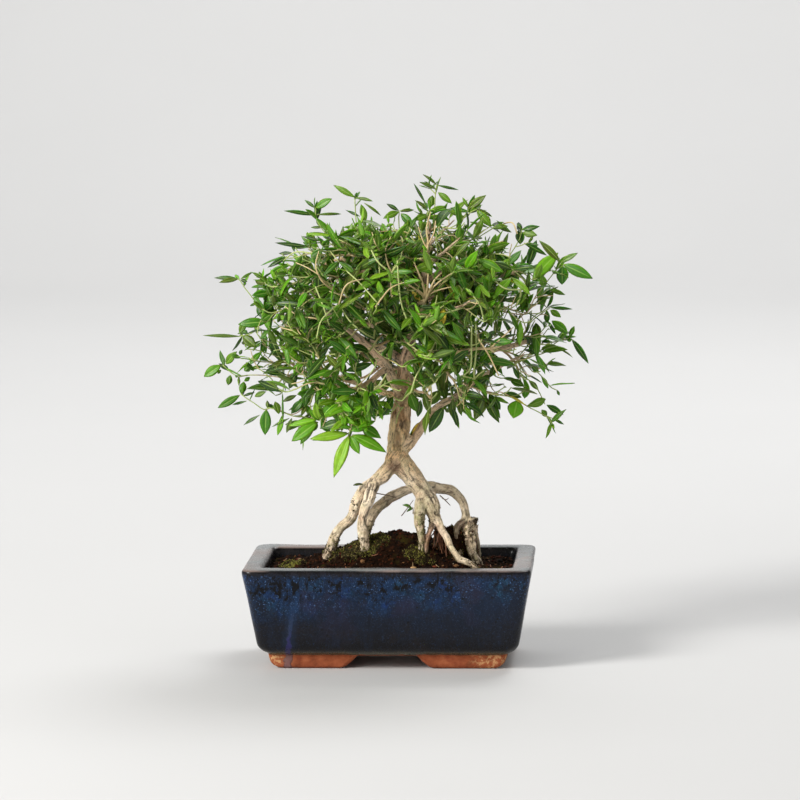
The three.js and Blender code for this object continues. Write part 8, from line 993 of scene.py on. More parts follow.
def glaze_material():
    """Dark blue stoneware glaze over brown clay. Heights are in metres above the feet."""
    m = Nodes("pot_glaze_fine")
    p = m.place()
    x, y, z = m.parts(p)
    big = m.noise(p, 26, 4, 0.6)
    mid = m.noise(m.scaled(p, (1, 1, 0.6)), 120, 5, 0.7)
    grit = m.noise(p, 430, 5, 0.72)
    fine = m.noise(p, 900, 4, 0.7)
    streak = m.noise(m.scaled(p, (1, 1, 0.16)), 170, 4, 0.6)
    wav = m.math("MULTIPLY_ADD", mid, 0.018, -0.009)
    zz = m.math("ADD", z, wav)
    # a mottled blue band under the dark lip, ragged above, fading downwards and wider at the left
    under = m.span(m.math("ADD", z, m.math("MULTIPLY_ADD", m.noise(m.scaled(p, (1, 1, 0.35)), 75, 4, 0.7), 0.022, -0.011)), 0.0775, 0.0660)
    inset = m.math("MAXIMUM", m.math("SUBTRACT", m.math("ABSOLUTE", m.math("ADD", x, 0.0061)), 0.1), m.math("SUBTRACT", m.math("ABSOLUTE", m.math("SUBTRACT", y, 0.0024)), 0.0585))
    inside = m.math("MULTIPLY", m.span(inset, -0.0070, -0.0095), m.span(z, 0.0535, 0.0565))
    under = m.math("MULTIPLY", under, m.math("SUBTRACT", 1.0, inside))
    deep = m.span(m.noise(m.scaled(p, (1, 1, 0.0)), 21, 2, 0.5), 0.35, 0.65, -0.006, 0.008)
    deep = m.math("ADD", deep, m.span(x, -0.040, -0.090, 0.0, -0.008))
    zb = m.math("SUBTRACT", zz, deep)
    band = m.math("MULTIPLY", m.span(zb, 0.040, 0.058), under)
    veil = m.math("MULTIPLY", m.span(zz, 0.012, 0.052), under)
    base = m.mix(m.math("MULTIPLY", veil, m.math("MULTIPLY_ADD", m.span(big, 0.35, 0.65), 0.5, 0.5)), srgb(16, 15, 17), srgb(14, 26, 45))
    base = m.mix(m.math("MULTIPLY", m.span(streak, 0.5, 0.72), 0.40), base, srgb(22, 30, 46))
    brown = m.math("MULTIPLY", m.span(m.noise(p, 44, 4, 0.65), 0.48, 0.66), m.span(zz, 0.048, 0.020))
    base = m.mix(m.math("MULTIPLY", brown, 0.7), base, srgb(25, 21, 21))
    cobalt = m.math("MULTIPLY", band, m.span(m.math("ADD", m.math("MULTIPLY", mid, 0.55), m.math("MULTIPLY", grit, 0.45)), 0.43, 0.58))
    base = m.mix(m.math("MULTIPLY", cobalt, 0.85), base, srgb(13, 39, 70))
    hot = m.math("MULTIPLY", m.span(m.noise(p, 38, 4, 0.65), 0.53, 0.66), cobalt)
    base = m.mix(m.math("MULTIPLY", hot, 0.55), base, srgb(21, 49, 108))
    teal = m.math("MULTIPLY", m.span(m.noise(p, 47, 3, 0.5), 0.50, 0.68), m.math("MULTIPLY", cobalt, 0.7))
    base = m.mix(teal, base, srgb(20, 56, 76))
    plum = m.math("MULTIPLY", m.span(m.noise(p, 33, 3, 0.6), 0.54, 0.68), m.math("MULTIPLY", veil, 0.5))
    base = m.mix(plum, base, srgb(34, 32, 52))
    # light blue specks, fine crackle and black pits
    specks = m.math("MULTIPLY", m.span(m.noise(p, 1050, 2, 0.5), 0.630, 0.69), m.math("MULTIPLY_ADD", band, 0.6, 0.09))
    base = m.mix(specks, base, srgb(82, 116, 164))
    crackle = m.math("MULTIPLY", m.span(m.cells(m.scaled(p, (1, 1, 0.7)), 420, "DISTANCE_TO_EDGE"), 0.045, 0.0), m.span(fine, 0.5, 0.62))
    base = m.mix(m.math("MULTIPLY", crackle, m.math("MULTIPLY_ADD", veil, 0.38, 0.06)), base, srgb(62, 88, 126))
    blot = m.math("MULTIPLY", m.span(m.noise(m.scaled(p, (1, 1, 0.7)), 210, 5, 0.72), 0.535, 0.575), m.math("MULTIPLY_ADD", m.math("MULTIPLY", m.span(zb, 0.050, 0.062), m.span(zz, 0.074, 0.070)), 0.95, 0.06))
    base = m.mix(blot, base, srgb(3, 4, 9))
    pit_mask = m.span(m.noise(p, 48, 3, 0.6), 0.50, 0.62)
    pits = m.math("MULTIPLY", m.span(m.cells(p, 210), 0.24, 0.12), pit_mask)
    base = m.mix(m.math("MULTIPLY", pits, 0.92), base, srgb(4, 5, 8))
    # the lip: thin brown-black glaze with a worn edge
    lip = m.span(m.math("ADD", z, m.math("MULTIPLY_ADD", grit, 0.006, -0.003)), 0.0668, 0.0722)
    base = m.mix(m.math("MULTIPLY", lip, 0.92), base, m.mix(m.span(mid, 0.4, 0.6), srgb(13, 11, 13), srgb(24, 19, 20)))
    # painted reflection: a pale grey on the rim's flat top
    top = m.span(z, 0.0726, 0.0736)
    base = m.mix(m.math("MULTIPLY", top, 0.85), base, m.mix(m.span(big, 0.35, 0.65), srgb(116, 121, 123), srgb(134, 138, 139)))
    edge = m.math("MULTIPLY", m.span(z, 0.0719, 0.0728), m.span(z, 0.0740, 0.0734))
    edge = m.math("MULTIPLY", edge, m.span(m.noise(m.scaled(p, (0.45, 0.45, 1)), 60, 4, 0.6), 0.40, 0.58))
    base = m.mix(m.math("MULTIPLY", edge, 0.7), base, srgb(134, 118, 112))
    # where the glaze stops above the feet: a scalloped line with a pale olive fringe
    scallop = m.math("MULTIPLY_ADD", m.noise(m.scaled(p, (1, 1, 0.0)), 120, 3, 0.5), 0.0030, -0.0015)
    zs = m.math("ADD", z, scallop)
    clay_at = m.span(zs, 0.0110, 0.0103)
    fringe = m.math("MULTIPLY", m.span(zs, 0.0150, 0.0112), m.span(zs, 0.0098, 0.0106))
    base = m.mix(m.math("MULTIPLY", fringe, 0.55), base, srgb(88, 84, 58))
    # a thick run of lighter glaze down the front left and over the foot
    xr = m.math("ADD", x, 0.0762)
    lean = m.math("MULTIPLY", m.math("SUBTRACT", z, 0.010), -0.135)
    xr = m.math("ADD", xr, lean)
    xr = m.math("ADD", xr, m.math("MULTIPLY_ADD", m.noise(m.scaled(p, (0.0, 0.0, 1.0)), 150, 2, 0.5), 0.0048, -0.0024))
    xr = m.math("ADD", xr, m.math("MULTIPLY_ADD", m.noise(p, 330, 3, 0.6), 0.0040, -0.0020))
    wide = m.span(z, 0.004, 0.030, 0.0027, 0.0015)
    dist = m.math("DIVIDE", m.math("ABSOLUTE", xr), wide)
    run = m.math("MULTIPLY", m.span(dist, 1.15, 0.55), m.span(y, -0.010, -0.022))
    run = m.math("MULTIPLY", run, m.span(zz, 0.050, 0.030))
    halo = m.math("MULTIPLY", m.span(dist, 4.2, 0.9), m.math("MULTIPLY", m.span(y, -0.010, -0.022), m.math("MULTIPLY", m.span(z, 0.060, 0.045), m.span(z, 0.012, 0.020))))
    base = m.mix(m.math("MULTIPLY", halo, 0.22), base, srgb(30, 52, 84))
    run_color = m.mix(m.span(z, 0.0320, 0.0200), srgb(42, 56, 84), srgb(46, 42, 92))
    base = m.mix(m.math("MULTIPLY", run, m.math("MULTIPLY_ADD", grit, 0.8, 0.22, clamp=True)), base, run_color)
    # bare clay: warm orange brown with darker bloom and pale scrapes
    clay_n = m.noise(p, 130, 5, 0.65)
    clay = m.ramp(clay_n, [(0.25, srgb(96, 46, 27)), (0.5, srgb(150, 80, 49)), (0.75, srgb(176, 104, 68))])
    ends = m.math("MULTIPLY", m.span(m.noise(p, 300, 4, 0.7), 0.47, 0.60), m.math("MAXIMUM", m.span(x, -0.071, -0.083), m.span(x, 0.048, 0.062)))
    clay = m.mix(m.math("MULTIPLY", ends, 0.75), clay, srgb(206, 162, 112))
    clay = m.mix(m.math("MULTIPLY", m.span(m.noise(p, 60, 3, 0.6), 0.52, 0.66), 0.5), clay, srgb(124, 54, 36))
    clay = m.mix(m.math("MULTIPLY", m.span(z, 0.0016, 0.0002), 0.6), clay, srgb(70, 40, 28))
    under_pot = m.span(m.math("ABSOLUTE", m.math("SUBTRACT", y, 0.0024)), 0.0360, 0.0310)
    clay = m.mix(m.math("MULTIPLY", under_pot, 0.45), clay, srgb(84, 52, 36))
    foot_run = m.math("MULTIPLY", m.span(dist, 1.25, 0.85), m.span(y, -0.010, -0.022))
    ring = m.math("MULTIPLY", foot_run, m.span(dist, 0.80, 1.0))
    clay = m.mix(m.math("MULTIPLY", foot_run, m.math("MULTIPLY_ADD", grit, 0.7, 0.5, clamp=True)), clay, m.mix(grit, srgb(84, 58, 66), srgb(136, 106, 104)))
    clay = m.mix(m.math("MULTIPLY", ring, 0.7), clay, srgb(56, 34, 30))
    color = m.mix(clay_at, base, clay)
    rough_glaze = m.math("MULTIPLY_ADD", mid, 0.26, 0.13)
    rough_glaze = m.math("ADD", rough_glaze, m.math("MULTIPLY", m.math("ADD", pits, crackle), 0.2))
    clay_rough = m.math("MULTIPLY", clay_at, m.math("MULTIPLY_ADD", foot_run, -0.3, 0.62))
    rough = m.math("ADD", clay_rough, rough_glaze, clamp=True)
    height = m.math("MULTIPLY_ADD", big, 1.2, m.math("MULTIPLY", mid, 0.45))
    height = m.math("ADD", height, m.math("MULTIPLY", grit, 0.30))
    height = m.math("SUBTRACT", height, m.math("MULTIPLY", pits, 0.6))
    height = m.math("SUBTRACT", height, m.math("MULTIPLY", clay_at, m.math("MULTIPLY_ADD", foot_run, -0.8, 0.7)))
    height = m.math("ADD", height, m.math("MULTIPLY", run, 0.7))
    return m.finish(color, rough, m.bump(height, 0.6, 0.0004), **{"Specular IOR Level": 0.22})


def bark_material():
    """Pale, cracked bark. wood_tone holds red: how young and green, green: how pale and mossy, blue: crack depth."""
    m = Nodes("serissa_bark")
    p = m.place()
    col = m.attribute("wood_color", "Color")
    v = m.attribute("wood_tone", "Vector")
    young, pale, crack = m.parts(v)
    grain = m.attribute("wood_grain", "Vector")
    g1 = m.noise(m.scaled(grain, (1.0, 1.0, 1.0)), 1.0, 5, 0.62)
    g2 = m.noise(m.scaled(grain, (2.7, 2.7, 2.2)), 1.0, 4, 0.6)
    patch = m.noise(p, 120, 4, 0.6)
    fine = m.noise(p, 900, 3, 0.6)
    color = m.mix(m.math("MULTIPLY", m.span(g1, 0.42, 0.70), 0.5), col, m.mix(0.6, col, srgb(238, 220, 184), "MIX"))
    color = m.mix(m.math("MULTIPLY", m.span(g1, 0.45, 0.30), 0.66), color, srgb(112, 76, 46))
    color = m.mix(m.math("MULTIPLY", m.span(g2, 0.41, 0.27), 0.6), color, srgb(70, 46, 28))
    lichen = m.math("MULTIPLY", m.math("MULTIPLY", m.span(patch, 0.50, 0.66), pale), 0.6)
    color = m.mix(lichen, color, srgb(222, 212, 172))
    moss = m.math("MULTIPLY", m.math("MULTIPLY", m.span(m.noise(p, 210, 4, 0.65), 0.57, 0.66), pale), 0.5)
    color = m.mix(moss, color, srgb(92, 98, 46))
    color = m.mix(m.math("MULTIPLY", crack, 0.9), color, srgb(40, 26, 16))
    height = m.math("ADD", m.math("MULTIPLY", g1, 1.0), m.math("MULTIPLY", g2, 0.5))
    height = m.math("ADD", height, m.math("MULTIPLY", fine, 0.22))
    rough = m.math("MULTIPLY_ADD", g2, 0.2, 0.66)
    return m.finish(color, rough, m.bump(height, 0.9, 0.0008))


def twig_material():
    m = Nodes("serissa_twig")
    p = m.place()
    col = m.attribute("leaf_color", "Color")
    n = m.noise(p, 700, 4, 0.6)
    color = m.mix(m.math("MULTIPLY", m.span(n, 0.4, 0.65), 0.4), col, m.mix(0.5, col, srgb(120, 96, 60)))
    color = m.mix(m.math("MULTIPLY", m.span(n, 0.42, 0.30), 0.5), color, srgb(60, 44, 26))
    return m.finish(color, m.math("MULTIPLY_ADD", n, 0.25, 0.45), m.bump(n, 0.35, 0.0002))


def leaf_material():
    """leaf_place holds x: along the blade, y: across it from -1 to 1, z: 0 on the upper side and 1 below."""
    m = Nodes("serissa_leaf", 0.4)
    p = m.place()
    col = m.attribute("leaf_color", "Color")
    u, v, side = m.parts(m.attribute("leaf_place", "Vector"))
    av = m.math("ABSOLUTE", v)
    patch = m.noise(p, 260, 4, 0.6)
    fine = m.noise(p, 1500, 3, 0.6)
    color = m.mix(m.math("MULTIPLY", m.span(patch, 0.4, 0.7), 0.5), col, m.mix(0.5, col, srgb(34, 58, 8)))
    # side veins run forward from the midrib
    w = m.math("SUBTRACT", m.math("MULTIPLY", u, 7.0), m.math("MULTIPLY", av, 1.6))
    vein = m.math("ABSOLUTE", m.math("SUBTRACT", m.math("FRACT", w), 0.5))
    vein = m.span(vein, 0.07, 0.0)
    vein = m.math("MULTIPLY", vein, m.span(av, 0.95, 0.6))
    color = m.mix(m.math("MULTIPLY", vein, 0.22), color, m.mix(0.6, col, srgb(150, 180, 84)))
    rib = m.span(av, 0.15, 0.03)
    rib = m.math("MULTIPLY", rib, m.span(u, 1.0, 0.55, 0.35, 1.0))
    color = m.mix(m.math("MULTIPLY", rib, 0.62), color, m.mix(0.7, col, srgb(166, 194, 96)))
    base = m.span(u, 0.12, 0.0)
    color = m.mix(m.math("MULTIPLY", base, 0.6), color, srgb(150, 176, 80))
    rim = m.math("MULTIPLY", m.span(av, 0.86, 0.99), m.span(patch, 0.36, 0.6))
    color = m.mix(m.math("MULTIPLY", rim, 0.55), color, srgb(34, 30, 26))
    tip = m.math("MULTIPLY", m.span(u, 0.90, 1.0), 0.45)
    color = m.mix(tip, color, srgb(44, 38, 24))
    below = m.mix(0.40, color, srgb(116, 140, 62))
    color = m.mix(m.math("MULTIPLY", side, 0.85), color, below)
    rough = m.math("ADD", m.math("MULTIPLY_ADD", patch, 0.16, 0.29), m.math("MULTIPLY", side, 0.24))
    height = m.math("ADD", m.math("MULTIPLY", fine, 0.25), m.math("MULTIPLY", vein, -0.5))
    height = m.math("ADD", height, m.math("MULTIPLY", rib, -0.8))
    mat = m.finish(color, rough, m.bump(height, 0.35, 0.00015), **{"Specular IOR Level": 0.3})
    m.bsdf.inputs["Subsurface Weight"].default_value = LEAF_GLOW
    m.bsdf.inputs["Subsurface Radius"].default_value = (0.5, 1.0, 0.2)
    m.bsdf.inputs["Subsurface Scale"].default_value = 0.0012
    return mat


def soil_material():
    m = Nodes("bonsai_soil", 0.95)
    p = m.place()
    n = m.noise(p, 240, 6, 0.7)
    f = m.noise(p, 1300, 4, 0.65)
    color = m.ramp(n, [(0.30, srgb(7, 3, 1)), (0.5, srgb(24, 12, 4)), (0.70, srgb(48, 25, 10))])
    color = m.mix(m.math("MULTIPLY", m.span(m.noise(p, 90, 3, 0.6), 0.50, 0.64), 0.55), color, srgb(22, 12, 8))
    red = m.math("MULTIPLY", m.span(m.noise(p, 130, 4, 0.65), 0.55, 0.66), 0.35)
    color = m.mix(red, color, srgb(70, 36, 20))
    color = m.mix(m.math("MULTIPLY", m.span(f, 0.60, 0.70), 0.35), color, srgb(88, 56, 28))
    green = m.math("MULTIPLY", m.span(m.noise(p, 55, 4, 0.65), 0.54, 0.66), 0.4)
    color = m.mix(green, color, srgb(66, 60, 20))
    h = m.math("ADD", m.math("MULTIPLY", n, 1.2), m.math("MULTIPLY", f, 0.6))
    return m.finish(color, m.math("MULTIPLY_ADD", f, 0.2, 0.78), m.bump(h, 1.0, 0.0011), **{"Specular IOR Level": 0.06})


def grain_material():
    m = Nodes("soil_grain", 0.85)
    p = m.place()
    col = m.attribute("grain_color", "Color")
    n = m.noise(p, 900, 4, 0.65)
    color = m.mix(m.span(n, 0.3, 0.7), m.mix(0.55, col, srgb(14, 8, 6)), col)
    return m.finish(color, m.math("MULTIPLY_ADD", n, 0.25, 0.7), m.bump(n, 0.6, 0.0004), **{"Specular IOR Level": 0.08})


def moss_material():
    m = Nodes("moss_cushion", 0.9)
    p = m.place()
    col = m.attribute("moss_color", "Color")
    n = m.noise(p, 420, 5, 0.7)
    f = m.noise(p, 1600, 3, 0.6)
    color = m.mix(m.span(n, 0.35, 0.68), m.mix(0.65, col, srgb(26, 24, 10)), col)
    color = m.mix(m.math("MULTIPLY", m.span(f, 0.58, 0.70), 0.5), color, srgb(150, 150, 70))
    h = m.math("ADD", n, m.math("MULTIPLY", f, 0.5))
    return m.finish(color, m.math("MULTIPLY_ADD", n, 0.2, 0.72), m.bump(h, 0.8, 0.0006), **{"Specular IOR Level": 0.12})


def screen_material():
    m = Nodes("drain_mesh", 0.6)
    p = m.place()
    n = m.noise(p, 500, 4, 0.6)
    color = m.mix(n, srgb(20, 22, 20), srgb(44, 46, 42))
    color = m.mix(m.math("MULTIPLY", m.span(m.noise(p, 180, 4, 0.6), 0.52, 0.62), 0.6), color, srgb(58, 38, 24))
    return m.finish(color, m.math("MULTIPLY_ADD", n, 0.3, 0.45), m.bump(n, 0.4, 0.0002))


LEAF_GLOW = 0.35

# ---------------------------------------------------------------- the camera
SHOT = PLACE / 1000.0
cam_data = bpy.data.cameras.new("view")
cam_data.lens = 180.0
cam_data.sensor_width = 36.0
cam_data.clip_start, cam_data.clip_end = 0.1, 60.0
cam = bpy.data.objects.new("view", cam_data)
_r = Vector((0.99787, 0.06449, -0.00974)).normalized()
_f = Vector((-0.06519, 0.99044, -0.1216)).normalized()
_u = _r.cross(_f).normalized()
_r = _f.cross(_u).normalized()
rot = Matrix((_r, _u, -_f)).transposed()
cam.matrix_world = Matrix.Translation(Vector((0.19167065, -2.79754655, 0.52915898)) + Vector(SHOT)) @ rot.to_4x4()
bpy.context.scene.collection.objects.link(cam)
bpy.context.scene.camera = cam

# ---------------------------------------------------------------- the pot
RX, RY = 100.5, 58.6
OUTSIDE = [
    (9.8, 19.6), (10.1, 18.2), (11.0, 16.4), (13.4, 12.4), (16.5, 9.6), (20.0, 8.3), (29.0, 6.8), (38.0, 5.2), (50.0, 3.1),
    (62.0, 0.8), (69.5, -0.5), (71.8, -0.55), (72.8, -0.1), (73.4, 0.8), (73.7, 2.2),
]
INSIDE = [(73.7, 9.6), (73.4, 10.9), (72.2, 12.6), (66.0, 14.1), (40.0, 17.0), (20.0, 20.6), (17.5, 23.0)]
NX, NY, NC = 44, 26, 9


def rounded(inset, r, sag=0.0):
    """Points round a rectangle with rounded corners, counter-clockwise seen from above."""
    hx, hy = RX - inset, RY - inset
    r = max(0.6, r)
    pts = []
    for sx, sy, a0 in ((1, -1, -90), (1, 1, 0), (-1, 1, 90), (-1, -1, 180)):
        a = np.radians(a0 + np.linspace(0, 90, NC))
        cx, cy = sx * (hx - r), sy * (hy - r)
        arc = np.stack([cx + r * np.cos(a), cy + r * np.sin(a)], 1)
        pts.append(arc)
    out = []
    for k in range(4):
        a, b = pts[k], pts[(k + 1) % 4]
        n = NY if k % 2 == 0 else NX
        t = np.linspace(0, 1, n + 1)[1:-1, None]
        out.append(a)
        out.append(a[-1] * (1 - t) + b[0] * t)
    return np.vstack(out)


def fine_profile(table, step):
    """A profile with a point about every step mm, smooth through its stations."""
    p = np.array([(b, 0, a, 0) for a, b in table], float)
    res = resample(p, step)
    return res[:, 2], res[:, 0]


def pot_mesh():
    rings = []
    z1, in1 = fine_profile(OUTSIDE, 1.25)
    for z, i in zip(z1, in1):
        q = rounded(i, 7.4 - 0.05 * i)
        rings.append(np.c_[q, np.full(len(q), z)])
    for t in (0.3, 0.62):
        q = rounded(2.2 + (9.6 - 2.2) * t, 8 - 3.0 * t)
        rings.append(np.c_[q, np.full(len(q), 73.7)])
    z2, in2 = fine_profile(INSIDE, 1.9)
    for z, i in zip(z2, in2):
        q = rounded(i, 5.0)
        rings.append(np.c_[q, np.full(len(q), z)])
    n = len(rings[0])
    R = np.array(rings)
    # hand-made walls: slow waves in the sides and the lip
    flat = R.reshape(-1, 3)
    wave = noise(flat / (38.0, 38.0, 30.0), 5) * 0.34 + noise(flat / (13.0, 13.0, 12.0), 6) * 0.10
    out = np.sign(flat[:, :2]) * 0
    d = unit(np.c_[flat[:, 0] / RX**1.0, flat[:, 1] / RY**1.0, np.zeros(len(flat))])
    amount = smooth_step(10.5, 22, flat[:, 2]) * wave
    flat = flat + d * amount[:, None]
    lipz = smooth_step(66, 72.2, flat[:, 2]) * (noise(flat / (30.0, 30.0, 900.0), 9) * 0.32 + noise(flat / (11, 11, 900.0), 10) * 0.08)
    flat[:, 2] += lipz - 0.12 * smooth_step(66, 72.2, flat[:, 2])
    m = len(R)
    v = flat
    k = np.arange(m - 1)[:, None] * n
    s = np.arange(n)[None, :]
    s1 = (s + 1) % n
    quads = np.stack([k + s, k + s1, k + n + s1, k + n + s], -1).reshape(-1, 4)
    # floors: rings closing to the middle line
    extra, tris = [], []

    def lid(ring, z, up):
        nonlocal v, quads
        base = v[ring * n : ring * n + n]
        prev = np.arange(ring * n, ring * n + n)
        for t in (0.3, 0.6, 0.85):
            q = base.copy()
            q[:, 0] = base[:, 0] * (1 - t) + np.clip(base[:, 0], -52, 52) * t * (1 - t * 0.25)
            q[:, 1] = base[:, 1] * (1 - t)
            q[:, 2] = z
            start = len(v)
            v = np.vstack([v, q])
            cur = np.arange(start, start + n)
            a, b = (prev, cur) if up else (cur, prev)
            nx = np.roll(np.arange(n), -1)
            quads = np.vstack([quads, np.stack([a, a[nx], b[nx], b], -1)])
            prev = cur
        mid = len(v)
        c = v[prev].mean(0)
        v = np.vstack([v, c])
        nx = np.roll(prev, -1)
        if up:
            tris.append(np.stack([prev, nx, np.full(n, mid)], -1))
        else:
            tris.append(np.stack([nx, prev, np.full(n, mid)], -1))

    lid(m - 1, 17.5, True)
    lid(0, 9.8, False)
    return v, quads, np.vstack(tris)


def foot_mesh(sx, sy):
    """A low corner foot: flat below, splayed out to the body."""
    zs = np.array([0.0, 0.15, 0.4, 0.9, 1.6, 2.6, 3.8, 5.2, 6.8, 8.4, 9.6, 10.6])
    tz = (0.0, 0.4, 1.4, 3.0, 5.0, 7.0, 9.0, 10.6)
    inner = np.interp(zs, tz, (32.6, 31.4, 29.6, 27.6, 25.2, 23.2, 21.4, 20.0)) - (1.6 if sx > 0 else -0.6)
    outer = np.interp(zs, tz, (75.4, 77.2, 79.4, 81.2, 82.6, 83.4, 83.8, 83.8)) + (-0.6 if sx > 0 else 0.9)
    y0 = np.interp(zs, tz, (15.4, 14.9, 14.4, 14.1, 13.6, 13.1, 12.7, 12.4))
    y1 = np.interp(zs, tz, (35.0, 36.2, 37.4, 38.2, 38.9, 39.4, 39.7, 39.8))
    rad = np.interp(zs, tz, (3.0, 3.4, 3.8, 4.2, 4.4, 4.6, 4.6, 4.6))
    rings = []
    for z, x0, x1, ya, yb, r in zip(zs, inner, outer, y0, y1, rad):
        pts = []
        arcs = []
        for cx, cy, a0 in ((x1 - r, ya + r, -90), (x1 - r, yb - r, 0), (x0 + r, yb - r, 90), (x0 + r, ya + r, 180)):
            a = np.radians(a0 + np.linspace(0, 90, 7))
            arcs.append(np.stack([cx + r * np.cos(a), cy + r * np.sin(a)], 1))
        for k in range(4):
            a, b = arcs[k], arcs[(k + 1) % 4]
            n = 12 if k % 2 == 0 else 26
            t = np.linspace(0, 1, n + 1)[1:-1, None]
            pts.append(a)
            pts.append(a[-1] * (1 - t) + b[0] * t)
        q = np.vstack(pts)
        rings.append(np.c_[q[:, 0] * sx, q[:, 1] * sy, np.full(len(q), z)])
    R = np.array(rings)
    m, n = R.shape[:2]
    v = R.reshape(-1, 3)
    seed = 40 + int(sx * 2 + sy)
    w = noise(v / (9.0, 9.0, 4.0), seed) * 0.35 + noise(v / (3.2, 3.2, 2.2), seed + 3) * 0.14
    c = np.array([54.0 * sx, 24.3 * sy, 0])
    d = unit((v - c) * (1, 1, 0))
    v = v + d * (w * smooth_step(0.1, 1.4, v[:, 2]) * smooth_step(10.4, 8.5, v[:, 2]))[:, None]
    k = np.arange(m - 1)[:, None] * n
    s = np.arange(n)[None, :]
    s1 = (s + 1) % n
    quads = np.stack([k + s, k + s1, k + n + s1, k + n + s], -1).reshape(-1, 4)
    lo, hi = len(v), len(v) + 1
    v = np.vstack([v, [54.0 * sx, 24.3 * sy, 0.0], [54.0 * sx, 24.3 * sy, 10.6]])
    s = np.arange(n)
    s1 = (s + 1) % n
    tris = np.vstack([np.stack([np.full(n, lo), s1, s], -1), np.stack([np.full(n, hi), (m - 1) * n + s, (m - 1) * n + s1], -1)])
    if sx * sy < 0:
        quads, tris = quads[:, ::-1], tris[:, ::-1]
    return v, quads, tris


def build_pot(glaze):
    v, q, t = pot_mesh()
    body = mesh_piece("pot_body", v, q, t, [glaze])
    tools = []
    for sx in (1, -1):
        for sy in (1, -1):
            fv, fq, ft = foot_mesh(sx, sy)
            f = mesh_piece("foot_tool", fv, fq, ft, [glaze])
            mod = body.modifiers.new("foot", "BOOLEAN")
            mod.operation, mod.solver, mod.object = "UNION", "EXACT", f
            tools.append(f)
    for sx in (1, -1):
        a = np.linspace(0, 2 * math.pi, 48, endpoint=False)
        ring = [np.stack([50 * sx + r * np.cos(a), r * np.sin(a), np.full(48, z)], 1) for z, r in ((4.0, 7.4), (9.2, 7.5), (10.6, 7.0), (17.0, 7.0), (19.5, 7.6))]
        cv = np.vstack(ring + [[[50 * sx, 0, 4.0], [50 * sx, 0, 19.5]]])
        k = np.arange(4)[:, None] * 48
        s = np.arange(48)[None, :]
        cq = np.stack([k + s, k + (s + 1) % 48, k + 48 + (s + 1) % 48, k + 48 + s], -1).reshape(-1, 4)
        s = np.arange(48)
        ct = np.vstack([np.stack([np.full(48, 240), (s + 1) % 48, s], -1), np.stack([np.full(48, 241), 192 + s, 192 + (s + 1) % 48], -1)])
        h = mesh_piece("hole_tool", cv, cq, ct, [glaze])
        mod = body.modifiers.new("hole", "BOOLEAN")
        mod.operation, mod.solver, mod.object = "DIFFERENCE", "EXACT", h
        tools.append(h)
    dg = bpy.context.evaluated_depsgraph_get()
    me = bpy.data.meshes.new_from_object(body.evaluated_get(dg))
    me.name = "pot_body"
    body.modifiers.clear()
    old = body.data
    body.data = me
    bpy.data.meshes.remove(old)
    for x in tools:
        d = x.data
        bpy.data.objects.remove(x)
        bpy.data.meshes.remove(d)
    me.polygons.foreach_set("use_smooth", np.full(len(me.polygons), True))
    me.set_sharp_from_angle(angle=math.radians(38))
    return carried(body, "pot_glaze", "pot")


# ---------------------------------------------------------------- the wood
def soil_height(x, y):
    x, y = np.asarray(x, float), np.asarray(y, float)
    dx = (x - 8) / np.where(x < 8, 56.0, 44.0)
    dy = (y + 4) / 31.0
    ripple = 0.9 * np.sin(0.21 * x + 1.3) * np.cos(0.27 * y - 0.6) + 0.6 * np.sin(0.47 * x + 0.33 * y)
    return 65.5 + 26 * np.exp(-dx * dx - dy * dy) + ripple


def wood_curves():
    """Every root, the trunk and the limbs as smooth curves with knots and swellings."""
    out = {}
    for name, pts in list(ROOTS.items()) + list(LIMBS.items()):
        c = resample(pts, 1.3)
        seg = np.r_[0, np.cumsum(np.linalg.norm(np.diff(c[:, :3], axis=0), axis=1))]
        seed = sum(map(ord, name))
        root = name in ROOTS and name != "trunk"
        base = np.c_[seg / 9.0, np.full(len(c), seed * 0.37), np.zeros(len(c))]
        if name == "limbRL":
            c[:, 3] *= 1 - 0.14 * smooth_step(4, 14, seg)
        c[:, 3] *= 1 + (0.13 if root else 0.07) * noise(base, seed)
        bend = 0.35 if root else 0.22
        if root:
            # the feet of the roots spread where they enter the soil
            above = c[:, 2] - soil_height(c[:, 0], c[:, 1])
            c[:, 3] *= 1 + (0.42 if c[-1, 3] > 1.55 else 0.2) * smooth_step(7.0, -1.0, above) * smooth_step(0.3, 0.6, seg / seg[-1])
        for k in range(3):
            c[:, k] += bend * noise(np.c_[seg / 7.0, np.full(len(c), 3.1 * k), np.full(len(c), seed * 0.11)], seed + k) * np.minimum(1, seg / 6)
        out[name] = c
    return out


